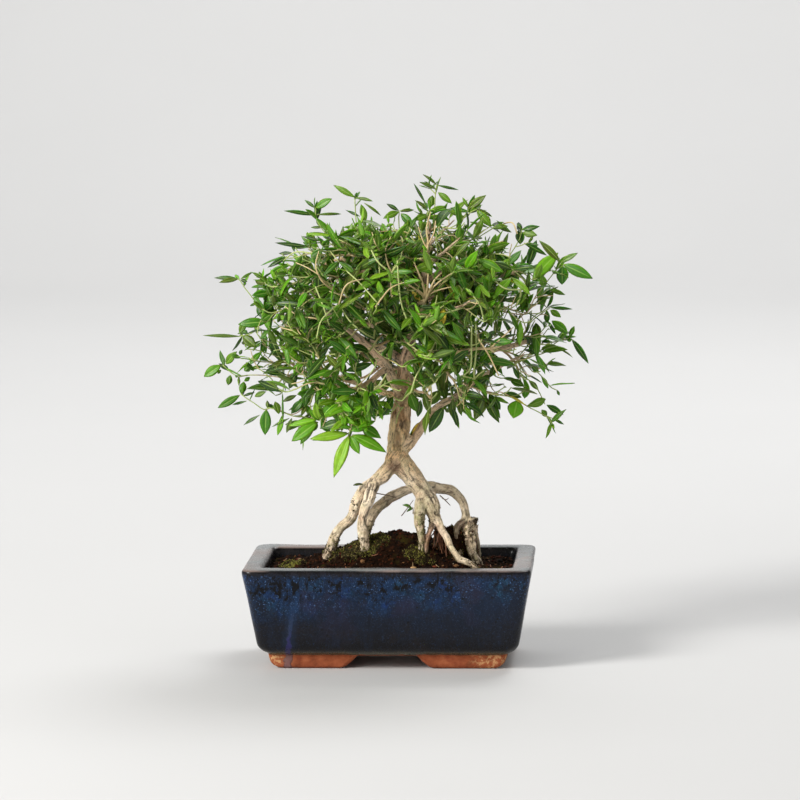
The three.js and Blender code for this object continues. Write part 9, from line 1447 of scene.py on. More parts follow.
def build_wood(bark):
    curves = wood_curves()
    heap = Heap()
    for name, c in curves.items():
        sides = 20 if c[:, 3].max() > 3 else 12
        seed = sum(map(ord, name))
        big = c[:, 3].max() > 3.2

        def shape(cc, ang, seed=seed, big=big):
            s = np.r_[0, np.cumsum(np.linalg.norm(np.diff(cc[:, :3], axis=0), axis=1))]
            A, S = np.meshgrid(ang, s)
            p = np.stack([np.cos(A).ravel() * 1.3, np.sin(A).ravel() * 1.3, S.ravel() / 16.0], 1)
            return 1 + (0.10 if big else 0.05) * noise(p, seed + 5).reshape(A.shape)

        v, q, t = tube(c, sides, shape)
        heap.add(v, q, t)
    # a swelling where the trunk splits, and knots on the legs
    for x, y, z, r in ((5.4, -2.5, 145, 7.4), (31.0, -12, 108, 4.2), (56.5, -2, 97, 4.2),
                       (58.5, 1, 92.5, 3.9), (55.0, -5, 90.5, 4.2), (-23.5, -8, 111, 3.6), (-11.5, -12.5, 126, 4.5), (12.5, 1.5, 199, 5.6), (59.6, -3, 100.0, 2.3)):
        u = np.linspace(0, math.pi, 10)
        w = np.linspace(0, 2 * math.pi, 16, endpoint=False)
        ring = [np.stack([x + r * math.sin(a) * np.cos(w), y + r * math.sin(a) * np.sin(w), np.full(16, z + 1.15 * r * math.cos(a))], 1) for a in u[1:-1]]
        v = np.vstack(ring + [[[x, y, z + 1.15 * r], [x, y, z - 1.15 * r]]])
        k = np.arange(7)[:, None] * 16
        s = np.arange(16)[None, :]
        q = np.stack([k + s, k + 16 + s, k + 16 + (s + 1) % 16, k + (s + 1) % 16], -1).reshape(-1, 4)
        s = np.arange(16)
        t = np.vstack([np.stack([np.full(16, 128), s, (s + 1) % 16], -1), np.stack([np.full(16, 129), 112 + (s + 1) % 16, 112 + s], -1)])
        heap.add(v, q, t)
    v, q, t, _, _ = heap.arrays()
    ob = mesh_piece("trunk_raw", v, q, t, [bark])
    mod = ob.modifiers.new("skin", "REMESH")
    mod.mode = "VOXEL"
    mod.voxel_size = VOXEL / 1000.0
    mod.adaptivity = 0.0
    v, quads, tris = evaluated(ob, "trunk")
    faces = quads if quads is not None else tris
    # drop crumbs: keep the largest joined body
    lab = np.arange(len(v))
    for _ in range(400):
        m = lab[faces].min(1)
        new = lab.copy()
        for k in range(faces.shape[1]):
            np.minimum.at(new, faces[:, k], m)
        new = new[new]
        if (new == lab).all():
            break
        lab = new
    ids, counts = np.unique(lab, return_counts=True)
    keep = lab == ids[counts.argmax()]
    if not keep.all():
        remap = np.cumsum(keep) - 1
        faces = remap[faces[keep[faces].all(1)]]
        v = v[keep]
    v = neighbours_mean(v, faces, 5, pull=0.5)
    # where each point sits along its root or limb
    samples, owner = [], []
    names = list(curves)
    for n, name in enumerate(names):
        c = curves[name]
        t, nn, bb = frames_along(c[:, :3])
        seg = np.r_[0, np.cumsum(np.linalg.norm(np.diff(c[:, :3], axis=0), axis=1))]
        for k in range(len(c)):
            samples.append((c[k, :3], c[k, 3], t[k], nn[k], bb[k], seg[k]))
            owner.append(n)
    kd = kdtree.KDTree(len(samples))
    for i, s in enumerate(samples):
        kd.insert(s[0], i)
    kd.balance()
    P = np.array([s[0] for s in samples])
    Rr = np.array([s[1] for s in samples])
    T = np.array([s[2] for s in samples])
    N = np.array([s[3] for s in samples])
    Bn = np.array([s[4] for s in samples])
    S = np.array([s[5] for s in samples])
    own = np.array(owner)
    best = np.empty(len(v), int)
    for i, p in enumerate(v):
        near = kd.find_n(p, 4)
        best[i] = min(near, key=lambda h: h[2] - 0.9 * Rr[h[1]])[1]
    d = v - P[best]
    rad = Rr[best]
    along = S[best] + np.einsum("ij,ij->i", d, T[best])
    ca = np.einsum("ij,ij->i", d, N[best])
    sa = np.einsum("ij,ij->i", d, Bn[best])
    dist = np.maximum(np.hypot(ca, sa), 0.3)
    seedv = own[best] * 7.31
    # bark coordinates: long along the limb and short round it
    rr = np.maximum(rad, 1.4)
    grain = np.stack([ca / dist * rr * 1.05, sa / dist * rr * 1.05, along * 0.21], 1) + seedv[:, None]
    nor = point_normals(v, faces)
    is_root = np.array([n in ROOTS and n != "trunk" for n in names])[own[best]]
    is_trunk = np.array([n == "trunk" for n in names])[own[best]]
    # cracks: ridged noise that follows the grain
    c1 = 1 - np.abs(noise(grain * (0.55, 0.55, 0.5), 101)) * 2
    c1 = smooth_step(0.62, 0.96, c1)
    c2 = 1 - np.abs(noise(grain * (1.1, 1.1, 0.9) + 9, 102)) * 2
    c2 = smooth_step(0.66, 0.97, c2)
    lumps = noise(v / 5.2, 103) * 0.42 + noise(v / 2.4, 104) * 0.20
    plates = fbm(grain * (0.8, 0.8, 0.7), 105, 3)
    amp = np.clip(rad / 6.0, 0.22, 1.0)
    rough_zone = smooth_step(20, 4, np.linalg.norm(v - (57.5, -2, 92), axis=1))
    # the legs are hollowed and pitted in places, and flaky near the soil
    above = v[:, 2] - soil_height(v[:, 0], v[:, 1])
    pitted = is_root * np.maximum(
        smooth_step(15, 6, np.linalg.norm((v - (-15, -15, 116)) * (1, 1, 0.55), axis=1)),
        np.maximum(smooth_step(13, 5, np.linalg.norm((v - (31, -14, 108)) * (1, 1, 0.6), axis=1)), smooth_step(10, 3, above) * 0.8),
    )
    holes = smooth_step(0.28, 0.62, noise(grain * (0.75, 0.75, 0.62) + 3, 108))
    flakes = np.abs(noise(grain * (1.3, 1.3, 0.8) + 6, 109))
    disp = amp * (0.42 * plates - 0.75 * c1 * (1 - 0.25 * is_root) - 0.34 * c2) + lumps * np.clip(amp, 0.3, 0.8) * (0.55 + 0.45 * is_root)
    disp += pitted * (0.75 * flakes - 1.15 * holes - 0.1)
    disp += rough_zone * (0.85 * noise(v / 1.7, 106) + 0.6 * noise(v / 3.4, 107) + 0.5 * flakes)
    v = v + nor * disp[:, None]
    # colours
    z = v[:, 2]
    rgb = lambda *c: np.array(srgb(*c))
    trunk_c, trunk_w = rgb(255, 222, 164), rgb(246, 198, 138)
    root_c, root_g = rgb(246, 228, 200), rgb(216, 194, 162)
    limb_c, limb_r = rgb(255, 226, 192), rgb(242, 204, 168)
    n1 = fbm(v / 11.0, 110, 3)
    n2 = fbm(v / 5.0, 111, 3)
    n3 = fbm(v / 2.2, 112, 3)
    k = smooth_step(-0.25, 0.3, n1)[:, None]

    def wash(col, amount, other):
        amount = np.clip(amount, 0, 1)[:, None]
        return col * (1 - amount) + other * amount

    col = np.where(is_root[:, None], root_c * (1 - k) + root_g * k, trunk_c * (1 - k) + trunk_w * k)
    upper = smooth_step(178, 215, z)
    limbs = limb_c * (1 - k) + limb_r * k
    col = np.where((~is_root)[:, None], col * (1 - upper[:, None]) + limbs * upper[:, None], col)
    # the split of the trunk blends into the roots
    col = wash(col, smooth_step(122, 148, z) * is_root, rgb(252, 210, 156))
    thin = smooth_step(1.6, 0.7, rad) * (~is_root)
    col = wash(col, 0.5 * thin, rgb(168, 140, 100))
    # grey-green weathering on the legs' inner sides, stains near the soil
    col = wash(col, 0.6 * smooth_step(0.0, 0.45, n2) * is_root * smooth_step(136, 108, z), rgb(138, 124, 86))
    col = wash(col, 0.5 * smooth_step(-0.1, -0.45, n2) * is_root, rgb(232, 196, 164))
    legR = np.array([n in ("rootC", "rootE") for n in names])[own[best]]
    col = wash(col, 0.55 * legR * smooth_step(128, 116, z) * smooth_step(98, 108, z), rgb(150, 134, 104))
    stain = smooth_step(14, 1, above) * is_root * (0.25 + 0.75 * smooth_step(-0.2, 0.2, n3))
    col = wash(col, 0.8 * stain, rgb(74, 52, 32))
    mossy = smooth_step(13, 1, above) * is_root * smooth_step(0.0, 0.25, n2) * (v[:, 0] < 2)
    col = wash(col, 0.7 * mossy, rgb(98, 100, 44))
    # the reddish fibres and the green, mossy short root in the middle
    col = wash(col, 0.8 * smooth_step(13, 4, np.linalg.norm((v - (30, -19, 90)) * (1, 0.6, 0.8), axis=1)), rgb(150, 92, 58))
    rootE = np.array([n == "rootE" for n in names])[own[best]]
    col = wash(col, rootE * smooth_step(120, 108, z) * (0.25 + 0.6 * smooth_step(-0.1, 0.25, n3)), rgb(118, 120, 66))
    # the arch's shaded far end and its flaky foot
    archn = np.array([n == "archL" for n in names])[own[best]]
    col = wash(col, 0.6 * archn * smooth_step(26, 40, v[:, 0]) * smooth_step(106, 114, z) * smooth_step(60, 50, v[:, 0]), rgb(128, 110, 80))
    col = wash(col, rough_zone * 0.7 * smooth_step(0.05, 0.28, n3), rgb(96, 64, 40))
    col = wash(col, rough_zone * 0.6 * smooth_step(0.05, -0.2, n3), rgb(236, 212, 176))
    back_roots = np.array([n in ("rootI", "rootG") for n in names])[own[best]]
    col = wash(col, 0.85 * back_roots, rgb(84, 56, 36))
    stub = smooth_step(4.5, 2.5, np.linalg.norm(v - (60.2, -3, 101.5), axis=1))
    col = wash(col, 0.85 * stub, rgb(58, 50, 42))
    # painted shade: the dark reddish crevice where the legs part
    crotch_painted_shade = smooth_step(7.5, 2.0, np.linalg.norm((v - (3.2, -8, 139.5)) * (1, 0.5, 1), axis=1))
    col = wash(col, 0.8 * crotch_painted_shade, rgb(84, 40, 24))
    # the trunk is redder and darker in patches where the bark flakes; painted shade darkens its right side and painted
    # light brightens its left
    col = wash(col, 0.5 * (~is_root) * smooth_step(150, 172, z) * smooth_step(212, 195, z) * smooth_step(0.0, 0.35, n1), rgb(150, 96, 62))
    strips = noise(v * (0.42, 0.42, 0.09), 113) + 0.35 * n3
    shaded_right = smooth_step(-3.5, 3.5, v[:, 0] - np.interp(z, [140, 160, 180, 200], [2.0, 4.6, 6.0, 6.4]))
    trunk_part = (~is_root) * smooth_step(136, 152, z) * smooth_step(206, 190, z)
    # painted shade: darker bark strips on the trunk's right side
    col = wash(col, 0.62 * trunk_part * smooth_step(0.06, 0.34, strips + 0.6 * (shaded_right - 0.6)), rgb(116, 76, 46))
    # painted light: paler bark strips on the trunk's left side
    col = wash(col, 0.40 * trunk_part * smooth_step(0.05, -0.25, strips + 0.35 * (shaded_right - 0.5)), rgb(255, 230, 188))
    # painted light on the low right limb, which lies in the crown's shade
    limb_right_painted_light = np.array([n == "limbRL" for n in names])[own[best]]
    col = wash(col, 0.6 * limb_right_painted_light * smooth_step(146, 156, z), rgb(250, 218, 184))
    dark = np.clip(0.85 * c1 * (0.55 + 0.45 * smooth_step(-0.3, 0.3, n2)) + 0.45 * c2 + pitted * holes * 0.9, 0, 1)
    tone = np.stack([thin, np.where(is_root, 0.75, 0.18 * (1 - upper)), dark], 1)
    col4 = np.c_[col, np.ones(len(col))]
    if quads is not None:
        ob = mesh_piece("trunk_and_roots", v, faces, np.zeros((0, 3), int), [bark], values={"wood_color": col4, "wood_tone": tone, "wood_grain": grain})
    else:
        ob = mesh_piece("trunk_and_roots", v, np.zeros((0, 4), int), faces, [bark], values={"wood_color": col4, "wood_tone": tone, "wood_grain": grain})
    return carried(ob, "bark", "trunk_with_roots"), curves


VOXEL = 0.80


# ---------------------------------------------------------------- the crown
def dice(seed):
    s = (seed * 7919 + 12345) % 2147483647

    def roll():
        nonlocal s
        s = (s * 48271) % 2147483647
        return s / 2147483647

    return roll


class Blade:
    """A leaf's mesh: rows along it and half * 2 columns across, with an upper and a lower side."""

    def __init__(self, rows, half):
        self.half = half
        along = np.linspace(0, 1, rows + 1)
        cols = 2 * half + 1
        top = lambda r, c: r * cols + c
        inner = {}
        n = (rows + 1) * cols
        for r in range(1, rows):
            for c in range(1, cols - 1):
                inner[(r, c)] = n
                n += 1
        low = lambda r, c: inner.get((r, c), top(r, c))
        q, side = [], []
        for r in range(rows):
            for c in range(cols - 1):
                q.append((top(r, c), top(r, c + 1), top(r + 1, c + 1), top(r + 1, c)))
                side.append(0)
                q.append((low(r, c), low(r + 1, c), low(r + 1, c + 1), low(r, c + 1)))
                side.append(1)
        self.q, self.side = np.array(q), np.array(side)
        self.u = np.array([along[r] for r in range(rows + 1) for c in range(cols)] + [along[r] for (r, c) in inner])
        self.v = np.array([(c - half) / half for r in range(rows + 1) for c in range(cols)] + [(c - half) / half for (r, c) in inner])
        self.s = np.array([0.0] * ((rows + 1) * cols) + [1.0] * len(inner))
        self.place = np.stack([self.u, self.v, self.s], 1)


BLADES = (Blade(7, 2), Blade(5, 1))


def leaves_mesh(blade, L):
    """The points of many leaves at once, one block a leaf."""
    base, tip, up, width, curl, fold, wave, form = (
        np.asarray([l[k] for l in L], float) for k in ("base", "tip", "up", "width", "curl", "fold", "wave", "form")
    )
    axis = tip - base
    length = np.linalg.norm(axis, axis=1)
    ax = axis / length[:, None]
    side = unit(np.cross(ax, up))
    nor = np.cross(side, ax)
    u = blade.u[None, :]
    # form 0 is a long lance, form 1 a full ellipse
    f = form[:, None]
    t = np.clip(u, 0, 1)
    w = np.sin(math.pi * t ** (0.86 + 0.14 * f)) ** (1.08 - 0.34 * f)
    w = w * (1 - 0.16 * (1 - f) * np.clip(t - 0.5, 0, 1))
    half = 0.5 * width[:, None] * np.maximum(w, 0)
    half = np.maximum(half, np.where(u < 0.10, 0.26, 0.03))
    late = blade.v[None, :]
    lift = 4 * curl[:, None] * length[:, None] * u * (1 - u)
    wv = wave[:, None] * np.sin(u * 8.0 + base[:, :1] * 2.1 + late) * np.abs(late)
    z = lift + fold[:, None] * np.abs(late) * half + wv
    z = z + np.where(blade.s[None, :] > 0, -0.26 * (1 - 0.5 * np.abs(late)), 0.0) * np.minimum(1, half / 0.5)
    x = u * length[:, None]
    y = late * half / np.sqrt(1 + fold[:, None] ** 2)
    return base[:, None] + x[..., None] * ax[:, None] + y[..., None] * side[:, None] + z[..., None] * nor[:, None]


def shoot_frame(points):
    end = np.array(points[-1][:3])
    axis = unit(end - np.array(points[-2][:3]))
    across = np.cross((0, 0, 1.0), axis)
    if np.linalg.norm(across) < 0.1:
        across = np.cross((1.0, 0, 0), axis)
    across = unit(across)
    return end, axis, across, unit(np.cross(axis, across))


SHADES = [  # upper side colours, linear
    [srgb(34, 61, 9), srgb(44, 74, 9), srgb(28, 51, 10), srgb(53, 77, 10), srgb(38, 60, 14), srgb(64, 72, 13)],
    [srgb(62, 108, 11), srgb(72, 118, 14), srgb(52, 98, 15), srgb(88, 122, 18)],
    [srgb(92, 148, 20), srgb(104, 156, 26), srgb(122, 164, 36), srgb(78, 138, 20)],
    [srgb(204, 184, 52), srgb(188, 178, 48), srgb(214, 180, 74)],
]
STEM_GREEN = np.array(srgb(158, 178, 98))
STEM_TAN = np.array(srgb(222, 194, 150))
STEM_BROWN = np.array(srgb(182, 144, 106))
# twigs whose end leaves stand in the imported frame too
SHOWN_TIPS = {145, 100, 421, 420, 226, 151, 223, 235, 37, 434, 156, 147, 378, 249, 124, 213, 93, 303, 92, 118, 73, 424, 417, 291, 364, 367, 336, 436,
              426, 232, 338, 175, 320, 313, 106, 433, 330, 84, 89, 428, 413, 104, 404, 268, 388, 305, 209, 298, 234, 215, 80, 279, 419, 273, 202}
# long pale shoots that stand in front of the leaves: points and radius
WATER_SHOOTS = [
    [(11.4, -72, 290.7), (12.4, -75, 276), (14.4, -76, 260.5), (20.5, -72, 243.9), (24, -60, 238)],
    [(19.2, -73, 252.2), (35, -76, 253.0), (52.2, -72, 256.9), (57, -60, 258)],
    [(46.4, -66, 236.6), (46.6, -72, 227), (46.4, -70, 216)],
    [(61.7, -68, 248.2), (61.8, -73, 232), (61.0, -71, 217), (55.6, -62, 210)],
    [(64.5, -64, 246), (64.8, -68, 228), (63.0, -66, 214)],
    [(-30, -66, 262), (-22, -74, 250), (-12, -72, 241), (-6, -60, 236)],
    [(-46, -62, 272), (-40, -70, 259), (-36, -70, 246)],
    [(74, -52, 278), (84, -56, 270), (95, -48, 268)],
    [(-8, -66, 300), (-2, -72, 290), (7, -70, 282)],
    [(30, -70, 222), (24, -77, 212), (20, -74, 200)],
]
FAN = [  # light tan twigs: points, thickest and thinnest radius
    ([(26.4, -46, 251), (28.6, -52, 260), (29.2, -56, 268), (26.0, -60, 279), (22, -58, 288)], 1.75, 0.4),
    ([(28.6, -52, 260), (32, -58, 267), (36, -61, 276), (41, -60, 281)], 1.25, 0.4),
    ([(28.6, -52, 260), (31, -58, 270), (32, -60, 282), (34, -57, 291)], 1.1, 0.36),
    ([(28.6, -53, 262), (34, -58, 267), (41, -62, 270), (50, -62, 272)], 0.8, 0.34),
    ([(28.6, -52, 261), (27, -58, 266), (20, -62, 272), (13, -62, 275)], 0.8, 0.34),
    ([(30.0, -54, 264), (36, -60, 272), (45, -62, 279), (55, -58, 284)], 0.8, 0.34),
    ([(30, -46, 288), (31.4, -50, 300), (30.4, -50, 311), (33.0, -46, 322)], 0.95, 0.45),
    ([(31.4, -50, 300), (35.6, -51, 308), (36.6, -49, 316)], 0.7, 0.36),
    ([(31.0, -50, 296), (27.4, -52, 304), (24.8, -50, 312)], 0.6, 0.34),
    ([(8, -52, 278), (4, -58, 287), (2.4, -58, 297), (6.0, -54, 306)], 0.8, 0.34),
    ([(2, -56, 292), (-4, -58, 300), (-7, -56, 309)], 0.55, 0.3),
    ([(-34, -52, 268), (-42, -58, 276), (-46, -58, 286), (-44, -54, 296)], 0.75, 0.34),
    ([(-44, -58, 280), (-52, -58, 285), (-60, -54, 288)], 0.5, 0.3),
    ([(-36, -56, 246), (-46, -62, 250), (-58, -62, 252), (-68, -56, 258)], 0.8, 0.34),
    ([(52, -58, 226), (64, -64, 229), (76, -62, 229), (86, -54, 232)], 1.5, 0.5),
    ([(74, -62, 229), (82, -62, 236), (90, -56, 243)], 0.8, 0.34),
]


EYE = np.array([191.67065, -2797.54655, 529.15898])
EYE_R, EYE_U, EYE_F = np.array([0.99787, 0.06449, -0.00974]), np.array([0.00181, 0.12198, 0.99253]), np.array([-0.06519, 0.99044, -0.1216])
CLEARINGS = [
    (346, 364, 384, 392, 200, 0.85), (412, 388, 436, 412, 200, 0.5), (488, 374, 560, 420, 200, 0.66), (226, 352, 308, 420, 200, 0.54),
    (218, 284, 250, 320, 200, 0.80), (262, 232, 300, 262, 200, 0.62), (316, 344, 346, 372, 200, 0.45), (520, 300, 560, 330, 200, 0.60),
    (500, 232, 545, 262, 200, 0.08), (508, 262, 545, 300, 200, 0.08), (470, 322, 500, 344, 200, 0.46), (500, 300, 524, 340, 200, 0.55), (500, 340, 550, 374, 200, 0.66),
    (330, 205, 360, 226, 200, 0.55), (372, 205, 414, 226, 200, 0.50), (450, 212, 500, 240, 200, 0.45), (240, 300, 285, 350, 200, 0.40),
    (300, 240, 345, 290, 200, 0.28), (430, 236, 470, 262, 200, 0.30), (290, 392, 345, 420, 200, 0.40), (440, 366, 486, 396, 200, 0.30),
    (384, 392, 424, 446, 8, 1.0), (381, 352, 411, 400, 6, 0.90), (421, 262, 440, 304, -4, 0.92), (418, 380, 458, 420, 0, 0.72),
    (490, 342, 514, 356, 0, 0.75), (352, 332, 380, 358, -8, 0.70), (428, 218, 440, 252, -8, 0.75), (404, 330, 420, 352, -8, 0.55),
    (440, 392, 482, 412, -4, 0.5), (350, 300, 380, 318, -20, 0.3),
]


def cleared(q, roll):
    """Whether a leaf or a side shoot at q is left out, so that the wood or the air behind shows."""
    d = np.asarray(q, float) - EYE
    z = d @ EYE_F
    px, py = 400 + 4000 * (d @ EYE_R) / z, 400 - 4000 * (d @ EYE_U) / z
    for x0, y0, x1, y1, deep, share in CLEARINGS:
        if x0 < px < x1 and y0 < py < y1 and q[1] < deep and roll < share:
            return True
    return False


def crown_tables():
    """Twigs as curves, and the leaves that they carry."""
    rng = np.random.default_rng(20)
    twigs = {}
    for number, parent, spray, sprig, pts in TWIGS:
        twigs[number] = (parent, spray, sprig, np.array(pts, float))
    leaves = []
    shoots = []  # (spray, curve, kind): 0 green, 1 tan, 2 pale
    centre = np.array([11.0, 0.0, 222.0])
    reach = np.array([124.0, 96.0, 100.0])
    lime_at = np.array([-22.0, -52.0, 184.0])

    def depth_of(q):
        return float(np.linalg.norm((np.asarray(q) - centre) / reach))

    def dropped(q, base):
        """The crown's outer part is loose: more so at its right, its left and below than on top."""
        d = depth_of(q)
        o = unit(np.asarray(q, float) - centre)
        loose = base + 0.30 * smooth_step(0.72, 0.98, d) * (0.5 + 0.5 * abs(o[0])) + 0.22 * smooth_step(0.5, 0.85, d) * max(0.0, -o[2] + 0.2)
        return rng.random() < loose * smooth_step(0.5, 0.75, d)

    def leaf(spray, base, tip, width, up, shade, curl=None, fold=None, form=None, tidy=False, free=True):
        base, tip = np.asarray(base, float), np.asarray(tip, float)
        if free and (cleared(base * 0.35 + tip * 0.65, rng.random()) or cleared(tip, rng.random())):
            return
        leaves.append(
            dict(spray=spray, base=np.asarray(base, float), tip=np.asarray(tip, float), width=width, up=np.asarray(up, float), shade=shade,
                 curl=(-0.02 + 0.10 * rng.random()) if curl is None else curl, fold=(0.10 + 0.30 * rng.random()) if fold is None else fold,
                 wave=0.0 if tidy else 0.10 + 0.22 * rng.random(), form=rng.random() if form is None else form)
        )

    def pick(q, young=0.0):
        d = depth_of(q)
        bright = 0.04 + 0.13 * smooth_step(0.6, 1.0, d) + young
        if np.linalg.norm((q - lime_at) / (34, 40, 24)) < 1:
            bright += 0.45
        mid = 0.30 + 0.20 * smooth_step(0.5, 0.95, d)
        r = rng.random()
        if r < 0.006:
            return 3
        return 2 if r < bright else (1 if r < bright + mid else 0)

    def face(ax):
        """Which way a leaf's upper side looks: up and outwards, loosely."""
        return ax * (0.2 + 0.7 * rng.random()) + np.array([0, 0, 0.75]) + rng.normal(0, 0.42, 3)

    def side_axes(ax):
        ac = np.cross((0, 0, 1.0), ax)
        ac = unit(ac if np.linalg.norm(ac) > 0.1 else np.cross((1.0, 0, 0), ax))
        return ac, unit(np.cross(ax, ac))

    def pair(spray, at, ax, phi, open_, length, young=0.0, miss=0.12, droop=0.12):
        ac, th = side_axes(ax)
        for s in (1, -1):
            if rng.random() < miss:
                continue
            l = length * (0.8 + 0.4 * rng.random())
            o = open_ + rng.normal(0, 0.18)
            d = unit(ax * math.cos(o) + (ac * math.cos(phi) + th * math.sin(phi)) * s * math.sin(o) + (0, 0, 0.08 - 2 * droop * rng.random()))
            leaf(spray, at, at + d * l, l * (0.26 + 0.13 * rng.random()), face(ax), pick(at, young))

    def leafy_end(spray, end, ax, scale, young=0.0, pairs=3, gap=3.0):
        phi = rng.random() * math.pi
        at = end.copy()
        # a bud with its two first leaves
        for m in range(pairs):
            l = scale * (0.45 + 0.30 * m) * (0.8 + 0.4 * rng.random()) if m < 2 else scale * (0.75 + 0.45 * rng.random())
            pair(spray, at, ax, phi, 0.45 + 0.28 * m + 0.25 * rng.random(), l, young=young + (0.25 if m == 0 else 0.0))
            phi += math.pi / 2 + rng.normal(0, 0.2)
            at = at - ax * gap * (0.5 + 0.35 * m)

    def along(curve, s):
        seg = np.r_[0, np.cumsum(np.linalg.norm(np.diff(curve[:, :3], axis=0), axis=1))]
        p = np.array([np.interp(s, seg, curve[:, k]) for k in range(3)])
        q = np.array([np.interp(min(s + 1.0, seg[-1]), seg, curve[:, k]) for k in range(3)])
        r = np.array([np.interp(max(s - 1.0, 0), seg, curve[:, k]) for k in range(3)])
        return p, unit(q - r)

    for number, (parent, spray, sprig, pts) in twigs.items():
        end, axis, across, third = shoot_frame(pts)
        curve = resample(pts, 1.0)
        total = float(np.linalg.norm(np.diff(curve[:, :3], axis=0), axis=1).sum())
        if sprig >= 0:
            for bx, by, bz, tx, ty, tz, w, curl, shade in SPRIG_LEAVES[sprig]:
                base, tip = np.array([bx, by, bz]), np.array([tx, ty, tz])
                up = np.array([0.05, -0.95, 0.30]) + rng.normal(0, 0.10, 3)
                leaf(spray, base, tip, max(w, 1.9) * 1.12, up, int(shade), curl=curl * 0.5, fold=0.22, form=0.35 + 0.5 * rng.random(), free=False)
            # leaves behind each sprig keep it full from the back
            for m in range(2):
                ac, th = side_axes(axis)
                for s in (1, -1):
                    d = unit(axis * 0.5 + ac * s * rng.random() + np.array([0, 0.75, 0.1]) + rng.normal(0, 0.25, 3))
                    if d[1] < 0.2:
                        continue
                    b = end - axis * (1.0 + 4.0 * m + 2.0 * rng.random())
                    l = 7 + 8 * rng.random()
                    leaf(spray, b, b + d * l, l * 0.32, face(axis), pick(b))
        elif number in SHOWN_TIPS:
            roll = dice(number)
            turn = roll() * math.pi
            back = 0.6
            for m in range(2):
                phi = turn + m * math.pi / 2 + (roll() - 0.5) * 0.5
                open_ = 0.62 + 0.26 * m + (roll() - 0.5) * 0.3
                base = end - axis * back
                for s in (1, -1):
                    length = 14.5 + 7.5 * roll()
                    width = length * (0.26 + 0.07 * roll())
                    d = axis * math.cos(open_) + across * s * math.sin(open_) * math.cos(phi) + third * s * math.sin(open_) * math.sin(phi)
                    d = unit(d + (0, 0, 0.1 - 0.28 * roll()))
                    leaf(spray, base, base + d * length, width, face(axis), pick(base))
                back += 3.2 + 2.6 * roll()
        else:
            if dropped(end, 0.0):
                continue
            leafy_end(spray, end, axis, 14.0 + 8.5 * rng.random() ** 1.2, pairs=3 if rng.random() < 0.45 else 2, gap=3.0 + 2.2 * rng.random())
        # older, larger and more spread leaves down the twig
        at = 6.0 + 3 * rng.random()
        stop = total - (1.5 if parent >= 17 else 4.0)
        phi = rng.random() * 3
        while at < stop:
            p, ax = along(curve, total - at)
            d = depth_of(p)
            if rng.random() < 0.86 - 0.42 * smooth_step(0.72, 1.0, d):
                pair(spray, p, ax, phi, 0.95 + 0.45 * rng.random(), 12.0 + 10.5 * rng.random(), miss=0.25, droop=0.2)
            phi += math.pi / 2 + rng.normal(0, 0.3)
            at += 5.4 + 4.4 * rng.random()
        # fine side shoots, most with a tuft of small leaves and some bare
        count = int(total / 13.0 + rng.random() * 1.3)
        for _ in range(count):
            p, ax = along(curve, total * (0.12 + 0.80 * rng.random()))
            ac, th = side_axes(ax)
            phi = rng.random() * 2 * math.pi
            out = unit(p - centre)
            d = unit(ax * 0.6 + (ac * math.cos(phi) + th * math.sin(phi)) * 0.9 + out * 0.35)
            l = 6.0 + 9.0 * rng.random()
            mid = p + d * l * 0.5 + rng.normal(0, 0.5, 3)
            tip = p + d * l + rng.normal(0, 0.9, 3) + (0, 0, 0.8)
            bare = rng.random() < 0.16
            if cleared(tip, rng.random()) or dropped(tip, 0.30):
                continue
            shoots.append((spray, np.array([[*p, 0.42], [*mid, 0.38], [*tip, 0.30]]), 1 if bare or rng.random() < 0.45 else 0))
            if not bare:
                leafy_end(spray, tip, unit(tip - mid), 10.0 + 8.5 * rng.random(), pairs=2, gap=2.8, young=0.03)
                if rng.random() < 0.45:
                    pair(spray, mid, d, rng.random() * 3, 1.1, 9 + 6 * rng.random(), miss=0.25)
    # which spray is nearest, for the long shoots
    ends = np.array([t[3][-1, :3] for t in twigs.values()])
    whose = [t[1] for t in twigs.values()]
    # darker leaves inside the crown, on the limbs and thick twigs
    bones = []
    for name, pts in LIMBS.items():
        c = resample(pts, 2.0)
        bones += [(c[i, :3], unit(c[min(i + 1, len(c) - 1), :3] - c[i - 1, :3])) for i in range(2, len(c)) if c[i, 2] > 196]
    for number, (parent, spray, sprig, pts) in twigs.items():
        c = resample(pts, 2.5)
        bones += [(c[i, :3], unit(c[i, :3] - c[i - 1, :3])) for i in range(1, len(c)) if depth_of(c[i, :3]) < 0.72]
    wood_at = np.array([b[0] for b in bones] + [q for t in twigs.values() for q in resample(t[3], 2.0)[:, :3]])

    def tie(spray, q, r0=0.5, r1=0.42, kind=1):
        """A thin stalk from the nearest twig or limb to q."""
        q = np.asarray(q, float)
        near = wood_at[int(np.argmin(np.linalg.norm(wood_at - q, axis=1)))]
        gap = float(np.linalg.norm(near - q))
        if gap > 0.6:
            mid = (near + q) / 2 + rng.normal(0, 0.06 * gap, 3)
            shoots.append((spray, np.array([[*near, r0], [*mid, (r0 + r1) / 2], [*q, r1]]), kind))

